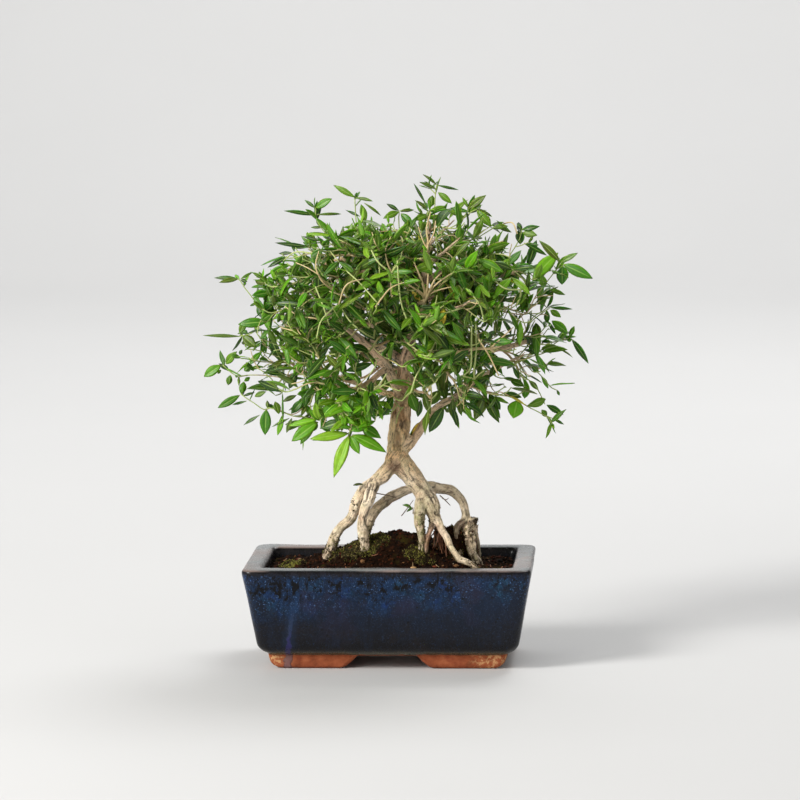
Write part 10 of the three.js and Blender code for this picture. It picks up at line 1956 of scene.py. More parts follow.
    for n in range(430):
        q, ax = bones[int(rng.integers(len(bones)))]
        ac, th = side_axes(ax)
        phi = rng.random() * 2 * math.pi
        o = unit(ac * math.cos(phi) + th * math.sin(phi) + ax * 0.5 + (0, 0, 0.25))
        reach_out = 1.5 + 7.5 * rng.random()
        tip = q + o * reach_out + rng.normal(0, 0.8, 3)
        if cleared(tip, rng.random()):
            continue
        spray = whose[int(np.argmin(np.linalg.norm(ends - q, axis=1)))]
        if reach_out > 3:
            shoots.append((spray, np.array([[*q, 0.42], [*(q + o * reach_out * 0.5 + rng.normal(0, 0.3, 3)), 0.36], [*tip, 0.3]]), 1 if rng.random() < 0.5 else 0))
        pair(spray, tip, o, rng.random() * 3, 0.75 + 0.4 * rng.random(), 11 + 9 * rng.random(), young=-0.05, miss=0.15)
        if rng.random() < 0.5:
            pair(spray, tip - o * 1.5, o, rng.random() * 3, 1.1, 10 + 8 * rng.random(), young=-0.05, miss=0.2)
    for pts in WATER_SHOOTS:
        c = np.array(pts, float)
        spray = whose[int(np.argmin(np.linalg.norm(ends - c[len(c) // 2], axis=1)))]
        shoots.append((spray, np.c_[c, np.linspace(0.55, 0.62, len(c))], 2))
        tie(spray, c[-1], 0.75, 0.62, 0)
        d = unit(c[0] - c[1])
        leafy_end(spray, c[0], d, 9 + 4 * rng.random(), pairs=3, gap=2.8, young=0.15)
    # more of the same, all round the crown
    for n in range(34):
        a = rng.random() * 2 * math.pi
        el = math.asin(rng.uniform(-0.25, 0.92))
        o = np.array([math.cos(a) * math.cos(el), math.sin(a) * math.cos(el), math.sin(el)])
        if (o[1] < -0.5 and rng.random() < 0.5) or (abs(o[0]) > 0.62 and o[1] < 0.5) or (o[2] > 0.8):
            continue
        k = int(np.argmax([unit(e - centre) @ o + 0.35 * depth_of(e) for e in ends]))
        e = ends[k]
        t = unit(np.cross(o, rng.normal(0, 1, 3)) + 0.35 * o)
        l = 22 + 16 * rng.random()
        start = e - o * 5 + rng.normal(0, 2, 3)
        mid = start + t * l * 0.5 + o * 1.5
        tip = start + t * l + (0, 0, -2.0 * rng.random())
        tip = centre + (tip - centre) * min(1.0, 1.0 / max(depth_of(tip), 1e-6))
        shoots.append((whose[k], np.array([[*start, 0.58], [*mid, 0.52], [*tip, 0.45]]), 2 if rng.random() < 0.6 else 1))
        leafy_end(whose[k], tip, unit(tip - mid), 8 + 5 * rng.random(), pairs=2, gap=2.8, young=0.1)
    k = int(np.argmin(np.linalg.norm(ends - (30, -55, 275), axis=1)))
    for pts, r0, r1 in FAN:
        c = np.array(pts, float)
        k = int(np.argmin(np.linalg.norm(ends - c[len(c) // 2], axis=1)))
        shoots.append((whose[k], np.c_[c, np.linspace(r0, r1, len(c))], 1))
        tie(whose[k], c[0], r0 * 1.1, r0)
    # a few leaves that stand out in the photo: yellow ones in front, lime ones low on the left
    for base, tip, w, shade in (
        ((42.6, -68, 257.6), (41.0, -74, 244.0), 6.2, 3), ((11.9, -70, 273.9), (28.0, -75, 277.4), 5.0, 2), 
        ((38.0, -68, 262.0), (33.5, -76, 252.0), 5.0, 2), ((17.0, -66, 268.5), (5.0, -74, 262.0), 4.4, 2), ((-52.0, -60, 268.0), (-58.0, -70, 258.0), 5.0, 2),
        ((-6.0, -62, 178.5), (-17.0, -74, 175.5), 5.2, 2), ((-8.0, -62, 185.0), (-20.0, -72, 189.5), 5.4, 2), ((-14.0, -62, 192.0), (-24.0, -74, 196.5), 5.2, 2),
        ((-20.0, -60, 196.0), (-33.0, -72, 193.0), 5.2, 2), ((-24.0, -62, 188.0), (-37.0, -74, 184.5), 5.6, 2), ((-10.0, -60, 198.0), (1.0, -72, 200.5), 5.0, 2),
        ((-30.0, -62, 200.0), (-40.0, -70, 206.0), 4.8, 2), ((-27.0, -60, 179.0), (-36.0, -72, 172.0), 5.2, 2), ((-4.0, -60, 192.0), (6.5, -70, 188.0), 5.0, 2),
        ((-15.0, -62, 183.0), (-11.0, -74, 172.0), 5.0, 2), ((-33.0, -58, 192.0), (-45.5, -68, 190.0), 5.0, 1), ((-16.0, -60, 203.0), (-21.0, -70, 212.0), 5.2, 2),
    ):
        base, tip = np.array(base, float), np.array(tip, float)
        spray = whose[int(np.argmin(np.linalg.norm(ends - base, axis=1)))]
        tie(spray, base, 0.45, 0.38, 0)
        leaf(spray, base, tip, w, (0.1, -0.8, 0.55), shade, form=0.4, free=False)
    for _ in range(64):  # large leaves that face the front
        q = np.array([rng.uniform(-6, 92), 0, rng.uniform(214, 292)]) if rng.random() < 0.72 else np.array([rng.uniform(-92, -6), 0, rng.uniform(200, 290)])
        r = 1.0 - ((q[0] - centre[0]) / reach[0]) ** 2 - ((q[2] - centre[2]) / reach[2]) ** 2
        if r < 0.12:
            continue
        q[1] = -reach[1] * math.sqrt(r) * (0.78 + 0.14 * rng.random()) + 6
        ang = rng.normal(-0.6, 1.1) if q[0] > 11 else math.pi - rng.normal(-0.6, 1.1)
        d = unit((math.cos(ang), -0.25 - 0.4 * rng.random(), math.sin(ang) * 0.9))
        spray = whose[int(np.argmin(np.linalg.norm(ends - q, axis=1)))]
        l = 16 + 7 * rng.random()
        shade = 1 if rng.random() < 0.62 else (2 if rng.random() < 0.35 else 0)
        if cleared(q + d * l * 0.5, rng.random()):
            continue
        tie(spray, q, 0.5, 0.4, 0)
        leaf(spray, q, q + d * l, l * (0.27 + 0.08 * rng.random()), (0.1, -0.85, 0.5) + rng.normal(0, 0.16, 3), shade)
        if rng.random() < 0.8:
            d2 = unit((-d[0] * 0.8 + 0.3 * rng.normal(), d[1], d[2] * 0.6 + 0.25 * rng.normal()))
            leaf(spray, q, q + d2 * l * 0.9, l * 0.9 * (0.27 + 0.08 * rng.random()), (0.0, -0.85, 0.5) + rng.normal(0, 0.16, 3), shade)
    for _ in range(26):
        q = lime_at + rng.normal(0, 1, 3) * (13, 7, 8)
        d = unit(rng.normal(0, 1, 3) * (1, 0.6, 0.6) + (0, -0.5, 0))
        l = 8 + 7 * rng.random()
        spray = whose[int(np.argmin(np.linalg.norm(ends - q, axis=1)))]
        tie(spray, q, 0.45, 0.38, 0)
        leaf(spray, q, q + d * l, l * 0.34, (0.1, -0.7, 0.6) + rng.normal(0, 0.2, 3), 2 if rng.random() < 0.7 else 1)
    return twigs, leaves, shoots


def build_crown(leaf_mat, twig_mat):
    twigs, leaves, shoots = crown_tables()
    rng = np.random.default_rng(33)
    for n, name in enumerate(SPRAYS):
        heap = Heap()
        uvs_q, uvs_t = [], []
        own = [l for l in leaves if l["spray"] == n]
        # the atlas: a cell for each leaf's upper and lower side, and strips for the twigs below
        cells = len(own) * 2
        cols = max(2, int(math.ceil(math.sqrt(max(cells, 1) * 0.5))))
        rows = int(math.ceil(cells / cols))
        strip = 0.14
        cw, ch = 1.0 / cols, (1.0 - strip) / max(rows, 1)
        number = 0
        for which, blade in enumerate(BLADES):
            mine = [l for l in own if (np.linalg.norm(l["tip"] - l["base"]) < 9.5) == bool(which)]
            if not mine:
                continue
            pts = leaves_mesh(blade, mine)
            for i, l in enumerate(mine):
                shade = SHADES[l["shade"]]
                c = np.array(shade[int(rng.integers(len(shade)))]) * (0.78 + 0.44 * rng.random())
                if l["shade"] < 2 and rng.random() < 0.25:
                    c = c * 0.5 + np.array(srgb(92, 104, 36)) * 0.5
                heap.add(pts[i], blade.q, None, 0, leaf_color=np.r_[c, 1.0], leaf_place=blade.place)
                uv = np.empty((len(blade.q), 4, 2))
                for f in range(2):
                    cell = 2 * number + f
                    ox, oy = (cell % cols) * cw, strip + (cell // cols) * ch
                    sel = blade.side == f
                    uu = blade.u[blade.q[sel]]
                    vv = blade.v[blade.q[sel]] * 0.5 + 0.5
                    uv[sel] = np.stack([ox + cw * (0.07 + 0.86 * vv), oy + ch * (0.04 + 0.92 * uu)], -1)
                uvs_q.append(uv.reshape(-1, 2))
                number += 1
        tw = []
        for k, (parent, spray, sprig, pts) in twigs.items():
            if spray != n:
                continue
            c = resample(pts, 2.2)
            c[:, 3] = np.maximum(c[:, 3] * 0.95, 0.32 if sprig >= 0 else 0.42)
            seg = np.r_[0, np.cumsum(np.linalg.norm(np.diff(c[:, :3], axis=0), axis=1))]
            for a in range(3):
                c[1:-1, a] += 0.24 * noise(np.c_[seg[1:-1] / 5.0, np.full(len(c) - 2, k * 0.7), np.full(len(c) - 2, a * 3.3)], 50)
            c[-1, 3] *= 0.8
            left = seg[-1] - seg
            young = smooth_step(1.0, 0.5, c[:, 3]) * smooth_step(30, 6, left)
            if sprig >= 0:
                young = np.maximum(young, smooth_step(40, 15, left))
            tw.append((k, c, seg, young, 0.0))
        for k, (spray, c, kind) in enumerate(shoots):
            if spray != n:
                continue
            c = resample(c, 2.4)
            seg = np.r_[0, np.cumsum(np.linalg.norm(np.diff(c[:, :3], axis=0), axis=1))]
            tw.append((1000 + k, c, seg, np.full(len(c), (0.85, 0.0, 1.0)[kind]), (0.0, 0.25, 0.35)[kind]))
        total = sum(t[2][-1] + 1.5 for t in tw) or 1.0
        lanes = max(2, int(math.sqrt(total * strip / 6.0)))
        # strips: the twigs one after another in a few lanes
        per = total / lanes
        lane, pos = 0, 0.0
        for k, c, seg, young, pale in tw:
            sides = 6 if c[0, 3] > 0.8 else 5
            v, q, t = tube(c, sides)
            nn = noise(np.c_[seg / 6.0, np.full(len(seg), k * 1.7), np.zeros(len(seg))], 60) * 0.5 + 0.5
            old = STEM_TAN * nn[:, None] + STEM_BROWN * (1 - nn[:, None])
            col = STEM_GREEN * young[:, None] + old * (1 - young[:, None])
            col = col * (1 - pale) + np.array(srgb(200, 206, 140)) * pale
            cc = np.vstack([np.repeat(col, sides, axis=0), col[:1], col[-1:]])
            heap.add(v, q, t, 1, leaf_color=np.c_[cc, np.ones(len(cc))], leaf_place=np.zeros(3))
            w = (seg[-1] + 1.5) / per
            if pos + w > 1.0 and lane < lanes - 1:
                lane, pos = lane + 1, 0.0
            w = min(w, 1.0 - pos) if pos < 1.0 else 0.001
            m = len(c)
            su = pos + w * (0.03 + 0.94 * (seg / max(seg[-1], 1e-6)))
            pos += w
            r = np.arange(m - 1)[:, None]
            s = np.arange(sides)[None, :]
            lo = strip * (lane + 0.06) / lanes
            hi = strip * (lane + 0.94) / lanes
            vy0 = lo + (hi - lo) * s / sides
            vy1 = lo + (hi - lo) * (s + 1) / sides
            quv = np.empty((m - 1, sides, 4, 2))
            quv[:, :, 0] = np.stack(np.broadcast_arrays(su[r], vy0), -1)
            quv[:, :, 1] = np.stack(np.broadcast_arrays(su[r], vy1), -1)
            quv[:, :, 2] = np.stack(np.broadcast_arrays(su[r + 1], vy1), -1)
            quv[:, :, 3] = np.stack(np.broadcast_arrays(su[r + 1], vy0), -1)
            uvs_q.append(quv.reshape(-1, 2))
            e = w * 0.03
            a = np.arange(sides)
            y0 = lo + (hi - lo) * a / sides
            y1 = lo + (hi - lo) * (a + 1) / sides
            ym = (y0 + y1) / 2
            first = np.stack([np.stack([np.full(sides, su[0] - e), ym], -1), np.stack([np.full(sides, su[0]), y1], -1), np.stack([np.full(sides, su[0]), y0], -1)], 1)
            last = np.stack([np.stack([np.full(sides, su[-1] + e), ym], -1), np.stack([np.full(sides, su[-1]), y0], -1), np.stack([np.full(sides, su[-1]), y1], -1)], 1)
            uvs_t.append(np.vstack([first, last]).reshape(-1, 2))
        v, q, t, mat, vals = heap.arrays()
        uv = np.vstack(uvs_q + uvs_t)
        carried(mesh_piece(name + "_fine", v, q, t, [leaf_mat, twig_mat], mat, vals, uv), "foliage", name)
    print("leaves", len(leaves), "twigs", len(twigs), "shoots", len(shoots))


# ---------------------------------------------------------------- soil and moss
def inner_inset(z):
    zz = np.array([a for a, b in INSIDE][::-1])
    ii = np.array([b for a, b in INSIDE][::-1])
    return np.interp(z, zz, ii)


def soil_top(x, y):
    p = np.stack([x, y, np.zeros_like(x)], 1)
    h = soil_height(x, y)
    h = h + 0.9 * fbm(p / 7.0, 200, 3) + 0.95 * fbm(p / 2.6, 201, 3) + 0.40 * noise(p / 0.9, 202)
    crumbs = 1 - np.abs(noise(p / 3.1 + 4.4, 203)) * 2
    return h + 0.5 * smooth_step(0.2, 0.8, crumbs)


def build_soil(mat):
    step = 0.95
    inset = inner_inset(66.0) + 0.35
    hx, hy = RX - inset, RY - inset
    nx, ny = int(2 * hx / step), int(2 * hy / step)
    X, Y = np.meshgrid(np.linspace(-hx, hx, nx), np.linspace(-hy, hy, ny))
    # round the corners of the grid
    r = 5.0
    ox, oy = np.abs(X) - (hx - r), np.abs(Y) - (hy - r)
    both = (ox > 0) & (oy > 0)
    m = np.maximum(ox, oy)
    l = np.hypot(ox, oy)
    sc = np.where(both & (l > 0), m / np.maximum(l, 1e-9), 1.0)
    X2 = np.where(both, np.sign(X) * (hx - r + ox * sc), X)
    Y2 = np.where(both, np.sign(Y) * (hy - r + oy * sc), Y)
    x, y = X2.ravel(), Y2.ravel()
    z = soil_top(x, y)
    edge = np.minimum(hx - np.abs(x), hy - np.abs(y))
    z = z - 0.8 * smooth_step(3.0, 0.0, edge)
    v = np.stack([x, y, z], 1)
    i = np.arange(ny - 1)[:, None] * nx
    j = np.arange(nx - 1)[None, :]
    quads = np.stack([i + j, i + j + 1, i + nx + j + 1, i + nx + j], -1).reshape(-1, 4)
    # the sides follow the pot's inner wall down to its floor
    loop = np.concatenate([np.arange(nx), np.arange(1, ny) * nx + nx - 1, (ny - 1) * nx + np.arange(nx - 2, -1, -1), np.arange(ny - 2, 0, -1) * nx])
    ring = loop
    prev = ring
    n = len(ring)
    nx1 = np.roll(np.arange(n), -1)
    for zz in (60.0, 40.0, 22.0, 19.2):
        ii = inner_inset(zz) + 0.35 + (1.5 if zz < 20 else 0)
        f = np.array([(RX - ii) / hx, (RY - ii) / hy])
        p = np.c_[v[ring, :2] * f, np.full(n, zz)]
        start = len(v)
        v = np.vstack([v, p])
        cur = np.arange(start, start + n)
        quads = np.vstack([quads, np.stack([prev[nx1], prev, cur, cur[nx1]], -1)])
        prev = cur
    mid = len(v)
    v = np.vstack([v, [0, 0, 19.2]])
    tris = np.stack([prev[nx1], prev, np.full(n, mid)], -1)
    return carried(mesh_piece("soil_fine", v, quads, tris, [mat]), "soil", "soil")


ICO_V = None


def ico():
    g = (1 + 5**0.5) / 2
    v = np.array([(-1, g, 0), (1, g, 0), (-1, -g, 0), (1, -g, 0), (0, -1, g), (0, 1, g), (0, -1, -g), (0, 1, -g), (g, 0, -1), (g, 0, 1), (-g, 0, -1), (-g, 0, 1)], float)
    f = np.array([(0, 11, 5), (0, 5, 1), (0, 1, 7), (0, 7, 10), (0, 10, 11), (1, 5, 9), (5, 11, 4), (11, 10, 2), (10, 7, 6), (7, 1, 8), (3, 9, 4), (3, 4, 2), (3, 2, 6), (3, 6, 8), (3, 8, 9), (4, 9, 5), (2, 4, 11), (6, 2, 10), (8, 6, 7), (9, 8, 1)])
    return unit(v), f


def scatter(count, seed, dens=None):
    """Points on the soil, away from the pot's wall."""
    rng = np.random.default_rng(seed)
    hx, hy = RX - 15.2, RY - 15.2
    out = []
    while len(out) < count:
        x, y = rng.uniform(-hx, hx), rng.uniform(-hy, hy)
        if abs(x) > hx - 4 and abs(y) > hy - 4:
            continue
        if dens is not None and rng.random() > dens(x, y):
            continue
        out.append((x, y))
    return np.array(out)


def build_grains(mat):
    rng = np.random.default_rng(9)
    iv, fi = ico()
    count = 3600
    xy = scatter(count, 4)
    z = soil_top(xy[:, 0], xy[:, 1])
    heap = Heap()
    pal = [srgb(28, 14, 5), srgb(46, 23, 9), srgb(18, 9, 4), srgb(62, 33, 14), srgb(38, 22, 10), srgb(14, 8, 4), srgb(70, 28, 14)]
    for (x, y), zz in zip(xy, z):
        s = 0.45 + 0.95 * rng.random() ** 2
        big = rng.random() < 0.05
        if big:
            s *= 1.8
        v = iv * (1 + 0.35 * (rng.random((12, 1)) - 0.5)) * s * (1, 0.6 + 0.5 * rng.random(), 0.55 + 0.4 * rng.random())
        a = rng.random() * 6.283
        ca, sa = math.cos(a), math.sin(a)
        v = np.c_[v[:, 0] * ca - v[:, 1] * sa, v[:, 0] * sa + v[:, 1] * ca, v[:, 2]]
        c = np.array(pal[int(rng.integers(len(pal)))]) * (0.7 + 0.6 * rng.random())
        r = rng.random()
        if r < 0.014 and s < 0.9:
            c = np.array(srgb(186, 168, 140))
        elif r < 0.03:
            c = np.array(srgb(128, 92, 60))
        heap.add(v + (x, y, zz + 0.25 * s), None, fi, grain_color=np.r_[c, 1.0])
    # a few bigger stones, one pale at the front
    for x, y, s, c in ((18.5, -41.5, 2.3, srgb(188, 150, 104)), (-60, -30, 1.8, srgb(96, 66, 44)), (33, -35, 1.6, srgb(120, 62, 40)), (64, -20, 2.0, srgb(70, 46, 32)), (-8, 30, 2.2, srgb(110, 84, 60)), (52, 34, 2.4, srgb(86, 60, 42)), (-44, 25, 1.9, srgb(150, 130, 104))):
        v = iv * (1 + 0.25 * (rng.random((12, 1)) - 0.5)) * s * (1.2, 0.8, 0.6)
        zz = float(soil_top(np.array([x]), np.array([y]))[0])
        heap.add(v + (x, y, zz + 0.35 * s), None, fi, grain_color=np.r_[np.array(c), 1.0])
    v, q, t, _, vals = heap.arrays()
    return carried(mesh_piece("soil_grains", v, q, t, [mat], values=vals, smooth=False), "soil")


MOSS = {
    "moss_left_roots": (-22, -15, 22, 14, 3.2),
    "moss_rim_left": (-68, -12, 11, 9, 2.4),
    "moss_middle": (22, -27, 12, 8, 2.6),
    "moss_back": (38, 22, 15, 11, 2.8),
}


def moss_lumps(x, y):
    """How far the moss stands up, from -1 in the gaps to 1 on the clumps."""
    p = np.stack([np.atleast_1d(x), np.atleast_1d(y), np.zeros(np.size(x))], 1)
    return np.clip(1.5 * (0.62 * noise(p / 5.4, 301) + 0.5 * noise(p / 2.5, 302)), -1, 1)


def moss_top(name, x, y):
    cx, cy, rx, ry, thick = MOSS[name]
    q = np.hypot((x - cx) / rx, (y - cy) / ry)
    return soil_height(x, y) + 0.4 + 0.62 * thick * np.sqrt(np.clip(1 - q * q, 0, 1)) + 1.15 * moss_lumps(x, y) * np.clip(1.25 - q, 0, 1), q


def moss_color(rng, lump, green=1.0):
    gap, mid, top, dry = (np.array(srgb(*c)) for c in ((24, 17, 8), (66, 64, 22), (166, 164, 74), (150, 130, 84)))
    t = np.clip(0.42 + 0.5 * lump + rng.normal(0, 0.30, np.size(lump)), 0, 1)[:, None]
    col = np.where(t < 0.5, gap * (1 - 2 * t) + mid * 2 * t, mid * (2 - 2 * t) + top * (2 * t - 1))
    col = np.where(rng.random((len(col), 1)) < 0.14, dry, col)
    bare = rng.random((len(col), 1)) > green
    col = np.where(bare, np.array(srgb(44, 27, 14)) * (0.5 + 1.3 * rng.random((len(col), 1))), col)
    return col * (0.75 + 0.5 * rng.random((len(col), 1)))


def tuft_heap(heap, rng, base, up, size, color):
    """A sprig of moss: a small three-sided spike that leans."""
    d = unit(np.array(up) + rng.normal(0, 0.5, 3))
    a = unit(np.cross(d, (0.3, 0.5, 0.8)))
    b = np.cross(d, a)
    w = size * 0.24
    turn = rng.random() * 2.094
    ring = [base + d * size * 0.28 + w * (math.cos(t + turn) * a + math.sin(t + turn) * b) for t in (0, 2.094, 4.189)]
    v = np.array(ring + [base + d * size, base - d * size * 0.3])
    t = np.array([(0, 1, 3), (1, 2, 3), (2, 0, 3), (1, 0, 4), (2, 1, 4), (0, 2, 4)])
    heap.add(v, None, t, moss_color=np.r_[color, 1.0])


def build_moss(mat):
    for name, (cx, cy, rx, ry, thick) in MOSS.items():
        rng = np.random.default_rng(sum(map(ord, name)))
        heap = Heap()
        nr, na = 26, 96
        rows = []
        a = np.linspace(0, 2 * math.pi, na, endpoint=False)
        for k in range(nr + 1):
            q = k / nr
            wob = 1 + 0.24 * noise(np.c_[np.cos(a) * 2.2, np.sin(a) * 2.2, np.full(na, cx)], 300) * q
            x = cx + rx * q * wob * np.cos(a)
            y = np.clip(cy + ry * q * wob * np.sin(a), -(RY - 15.6), RY - 15.6)
            z, _ = moss_top(name, x, y)
            p = np.stack([x, y, np.zeros(na)], 1)
            z = z + 0.35 * noise(p / 0.9, 305) - 1.5 * q**5
            rows.append(np.stack([x, y, z], 1))
        v = np.vstack(rows[1:] + [rows[0][:1]])
        k = np.arange(nr - 1)[:, None] * na
        s = np.arange(na)[None, :]
        s1 = (s + 1) % na
        q = np.stack([k + s, k + na + s, k + na + s1, k + s1], -1).reshape(-1, 4)
        s = np.arange(na)
        s1 = (s + 1) % na
        mid = nr * na
        t = np.stack([np.full(na, mid), s, s1], -1)
        lowz = v[(nr - 1) * na : nr * na].copy()
        lowz[:, 2] -= 1.4
        n0 = len(v)
        v = np.vstack([v, lowz, lowz.mean(0, keepdims=True) - (0, 0, 0.5)])
        last = (nr - 1) * na
        q = np.vstack([q, np.stack([last + s, n0 + s, n0 + s1, last + s1], -1)])
        t = np.vstack([t, np.stack([np.full(na, n0 + na), n0 + s1, n0 + s], -1)])
        green = {"moss_left_roots": 0.7, "moss_rim_left": 0.85, "moss_middle": 0.38}.get(name, 0.75)
        col = moss_color(rng, moss_lumps(v[:, 0], v[:, 1]), green) * 0.6
        heap.add(v, q, t, moss_color=np.c_[col, np.ones(len(col))])
        tufts = int(rx * ry * math.pi * (5.0))
        rad = np.sqrt(rng.random(tufts)) * 1.06
        ang = rng.random(tufts) * 2 * math.pi
        x = cx + rx * rad * np.cos(ang)
        y = np.clip(cy + ry * rad * np.sin(ang), -(RY - 16), RY - 16)
        z, _ = moss_top(name, x, y)
        lump = moss_lumps(x, y)
        keep = rng.random(tufts) < smooth_step(-0.75, 0.25, lump) * (1 - 0.5 * smooth_step(0.8, 1.06, rad))
        cols = moss_color(rng, lump, green)
        for i in np.nonzero(keep)[0]:
            tuft_heap(heap, rng, np.array([x[i], y[i], z[i] - 0.15]), ((x[i] - cx) / rx * 0.5, (y[i] - cy) / ry * 0.5, 1.0), 0.6 + 1.2 * rng.random() ** 1.5, cols[i])
        v, q, t, _, vals = heap.arrays()
        carried(mesh_piece(name + "_fine", v, q, t, [mat], values=vals), "moss", name)


def build_litter(leaf_mat, twig_mat):
    """Small things on and under the roots: thin twigs, a sprig, a dead leaf, root hairs and bits of straw and rootlets.
    """
    rng = np.random.default_rng(71)
    heap = Heap()
    leaves = [
        ((16.5, -17, 111.2), (9.6, -19, 113.6), 3.4, 1), ((17.5, -17, 111.0), (24.6, -20, 113.4), 3.2, 1), ((17.0, -18, 111.0), (12.8, -21, 109.0), 2.4, 0),
        ((-18.0, -15, 127.6), (-25.2, -17, 127.2), 2.8, 4),
    ]
    blade = BLADES[0]
    rows = [dict(base=np.array(b, float), tip=np.array(t, float), up=np.array((0.1, -0.6, 0.8)), width=w, curl=0.06, fold=0.25, wave=0.15, form=0.7) for b, t, w, _ in leaves]
    pts = leaves_mesh(blade, rows)
    for i, (_, _, _, shade) in enumerate(leaves):
        c = np.array(srgb(46, 40, 34)) if shade == 4 else np.array(SHADES[shade][0])
        heap.add(pts[i], blade.q, None, 0, leaf_color=np.r_[c, 1.0], leaf_place=blade.place)
    dark, tan, red = np.array(srgb(72, 56, 44)), np.array(srgb(170, 140, 100)), np.array(srgb(132, 78, 48))
    lines = [
        ([(-9, -16, 121.6), (-2, -18, 120.6), (5.4, -17.5, 118.6)], 0.42, dark), ([(9.0, -17, 105.6), (12.6, -19, 110.4), (17.4, -17, 116.8)], 0.38, dark),
        ([(36.0, -14, 119.6), (39.4, -16, 117.0), (43.3, -16, 112.9)], 0.45, dark), ([(37.6, -14, 117.6), (40.6, -17, 117.0), (42.2, -17, 118.4)], 0.36, dark),
        ([(17.0, -16, 107.0), (17.2, -17, 110.0), (16.8, -17, 112.0)], 0.4, tan),
    ]
    for _ in range(26):  # root hairs between the legs and at the arch's foot
        if rng.random() < 0.62:
            a = np.array([29 + 12 * rng.random(), -17 + 4 * rng.random(), 99 - 5 * rng.random()])
            b = np.array([a[0] + 6 * rng.normal(), a[1] - 4 * rng.random(), 81 - 3 * rng.random()])
        else:
            a = np.array([56 + 5 * rng.normal(), -6 + 6 * rng.random(), 94 - 8 * rng.random()])
            b = np.array([a[0] + 5 * rng.normal(), a[1] - 8 * rng.random(), 71.5])
        b[2] = float(soil_height(b[0], b[1])) - 0.5
        mid = (a + b) / 2 + rng.normal(0, 1.3, 3)
        lines.append(([a, mid, b], 0.22 + 0.26 * rng.random(), red * (0.35 + 0.6 * rng.random())))
    for _ in range(30):  # bits of straw and rootlets lying on the soil
        x, y = rng.uniform(-78, 78), rng.uniform(-40, 36)
        ang, l = rng.random() * 6.283, 2.5 + 5 * rng.random()
        q = [(x + d * l * math.cos(ang), y + d * l * math.sin(ang)) for d in (-0.5, 0, 0.5)]
        q = [(a, max(-41.5, min(41.5, b))) for a, b in q]
        lines.append(([(a, b, float(soil_height(a, b)) + 0.7 + 0.8 * rng.random()) for a, b in q], 0.25 + 0.2 * rng.random(), (tan if rng.random() < 0.4 else red) * (0.5 + 0.7 * rng.random())))
    for pts, r, c in lines:
        curve = resample(np.array([[*p, r * k] for p, k in zip(pts, (1.0, 0.9, 0.6))]), 1.4)
        v, q, t = tube(curve, 5)
        heap.add(v, q, t, 1, leaf_color=np.r_[c, 1.0], leaf_place=np.zeros(3))
    v, q, t, mat, vals = heap.arrays()
    carried(mesh_piece("root_litter", v, q, t, [leaf_mat, twig_mat], mat, vals), "bark")


def build_root_ball(mat, moss):
    """Dark soil held by fine roots, heaped between the right leg and the arch's foot."""
    na, nb = 90, 46
    th = np.linspace(0, 2 * math.pi, na, endpoint=False)
    ph = np.linspace(-0.5 * math.pi, 0.5 * math.pi, nb)[1:-1]
    rows = []
    for k in ph:
        rows.append(np.stack([np.cos(th) * math.cos(k), np.sin(th) * math.cos(k), np.full(na, math.sin(k))], 1))
    u = np.vstack(rows + [np.array([[0, 0, -1.0], [0, 0, 1.0]])])
    v = u * (12.4, 9.5, 17.5)
    v[:, 0] += 4.0 * smooth_step(0, 16, v[:, 2])
    v = v + (41.0, -6.5, 79.0)
    f = 1 + 0.0 * v[:, :1]
    rough = noise(v / 6.0, 501) * 2.3 + noise(v / 2.6, 502) * 1.3 + np.abs(noise(v / 1.3, 503)) * 1.0
    v = v + u * rough[:, None] * f
    v[:, 2] = np.minimum(v[:, 2], 98.6 + 0.6 * noise(v / 1.5, 504))
    m = len(ph)
    k = np.arange(m - 1)[:, None] * na
    s = np.arange(na)[None, :]
    s1 = (s + 1) % na
    q = np.stack([k + s, k + s1, k + na + s1, k + na + s], -1).reshape(-1, 4)
    s = np.arange(na)
    s1 = (s + 1) % na
    t = np.vstack([np.stack([np.full(na, m * na), s1, s], -1), np.stack([np.full(na, m * na + 1), (m - 1) * na + s, (m - 1) * na + s1], -1)])
    carried(mesh_piece("root_ball", v, q, t, [mat]), "soil")
    # crumbs and tufts over it
    rng = np.random.default_rng(515)
    heap = Heap()
    for i in rng.permutation(m * na)[: 1500]:
        if v[i, 2] < soil_height(v[i, 0], v[i, 1]) - 1:
            continue
        r = rng.random()
        c = moss_color(rng, np.array([0.4]))[0] if r < 0.10 else np.array(srgb(58, 34, 20) if r < 0.75 else srgb(112, 66, 40)) * (0.4 + 1.1 * rng.random())
        tuft_heap(heap, rng, v[i] - u[i] * 0.3, u[i] + (0, 0, 0.3), 0.7 + 1.6 * rng.random() ** 1.6, c)
    a = heap.arrays()
    carried(mesh_piece("root_ball_crumbs", a[0], a[1], a[2], [moss], values=a[4]), "moss")


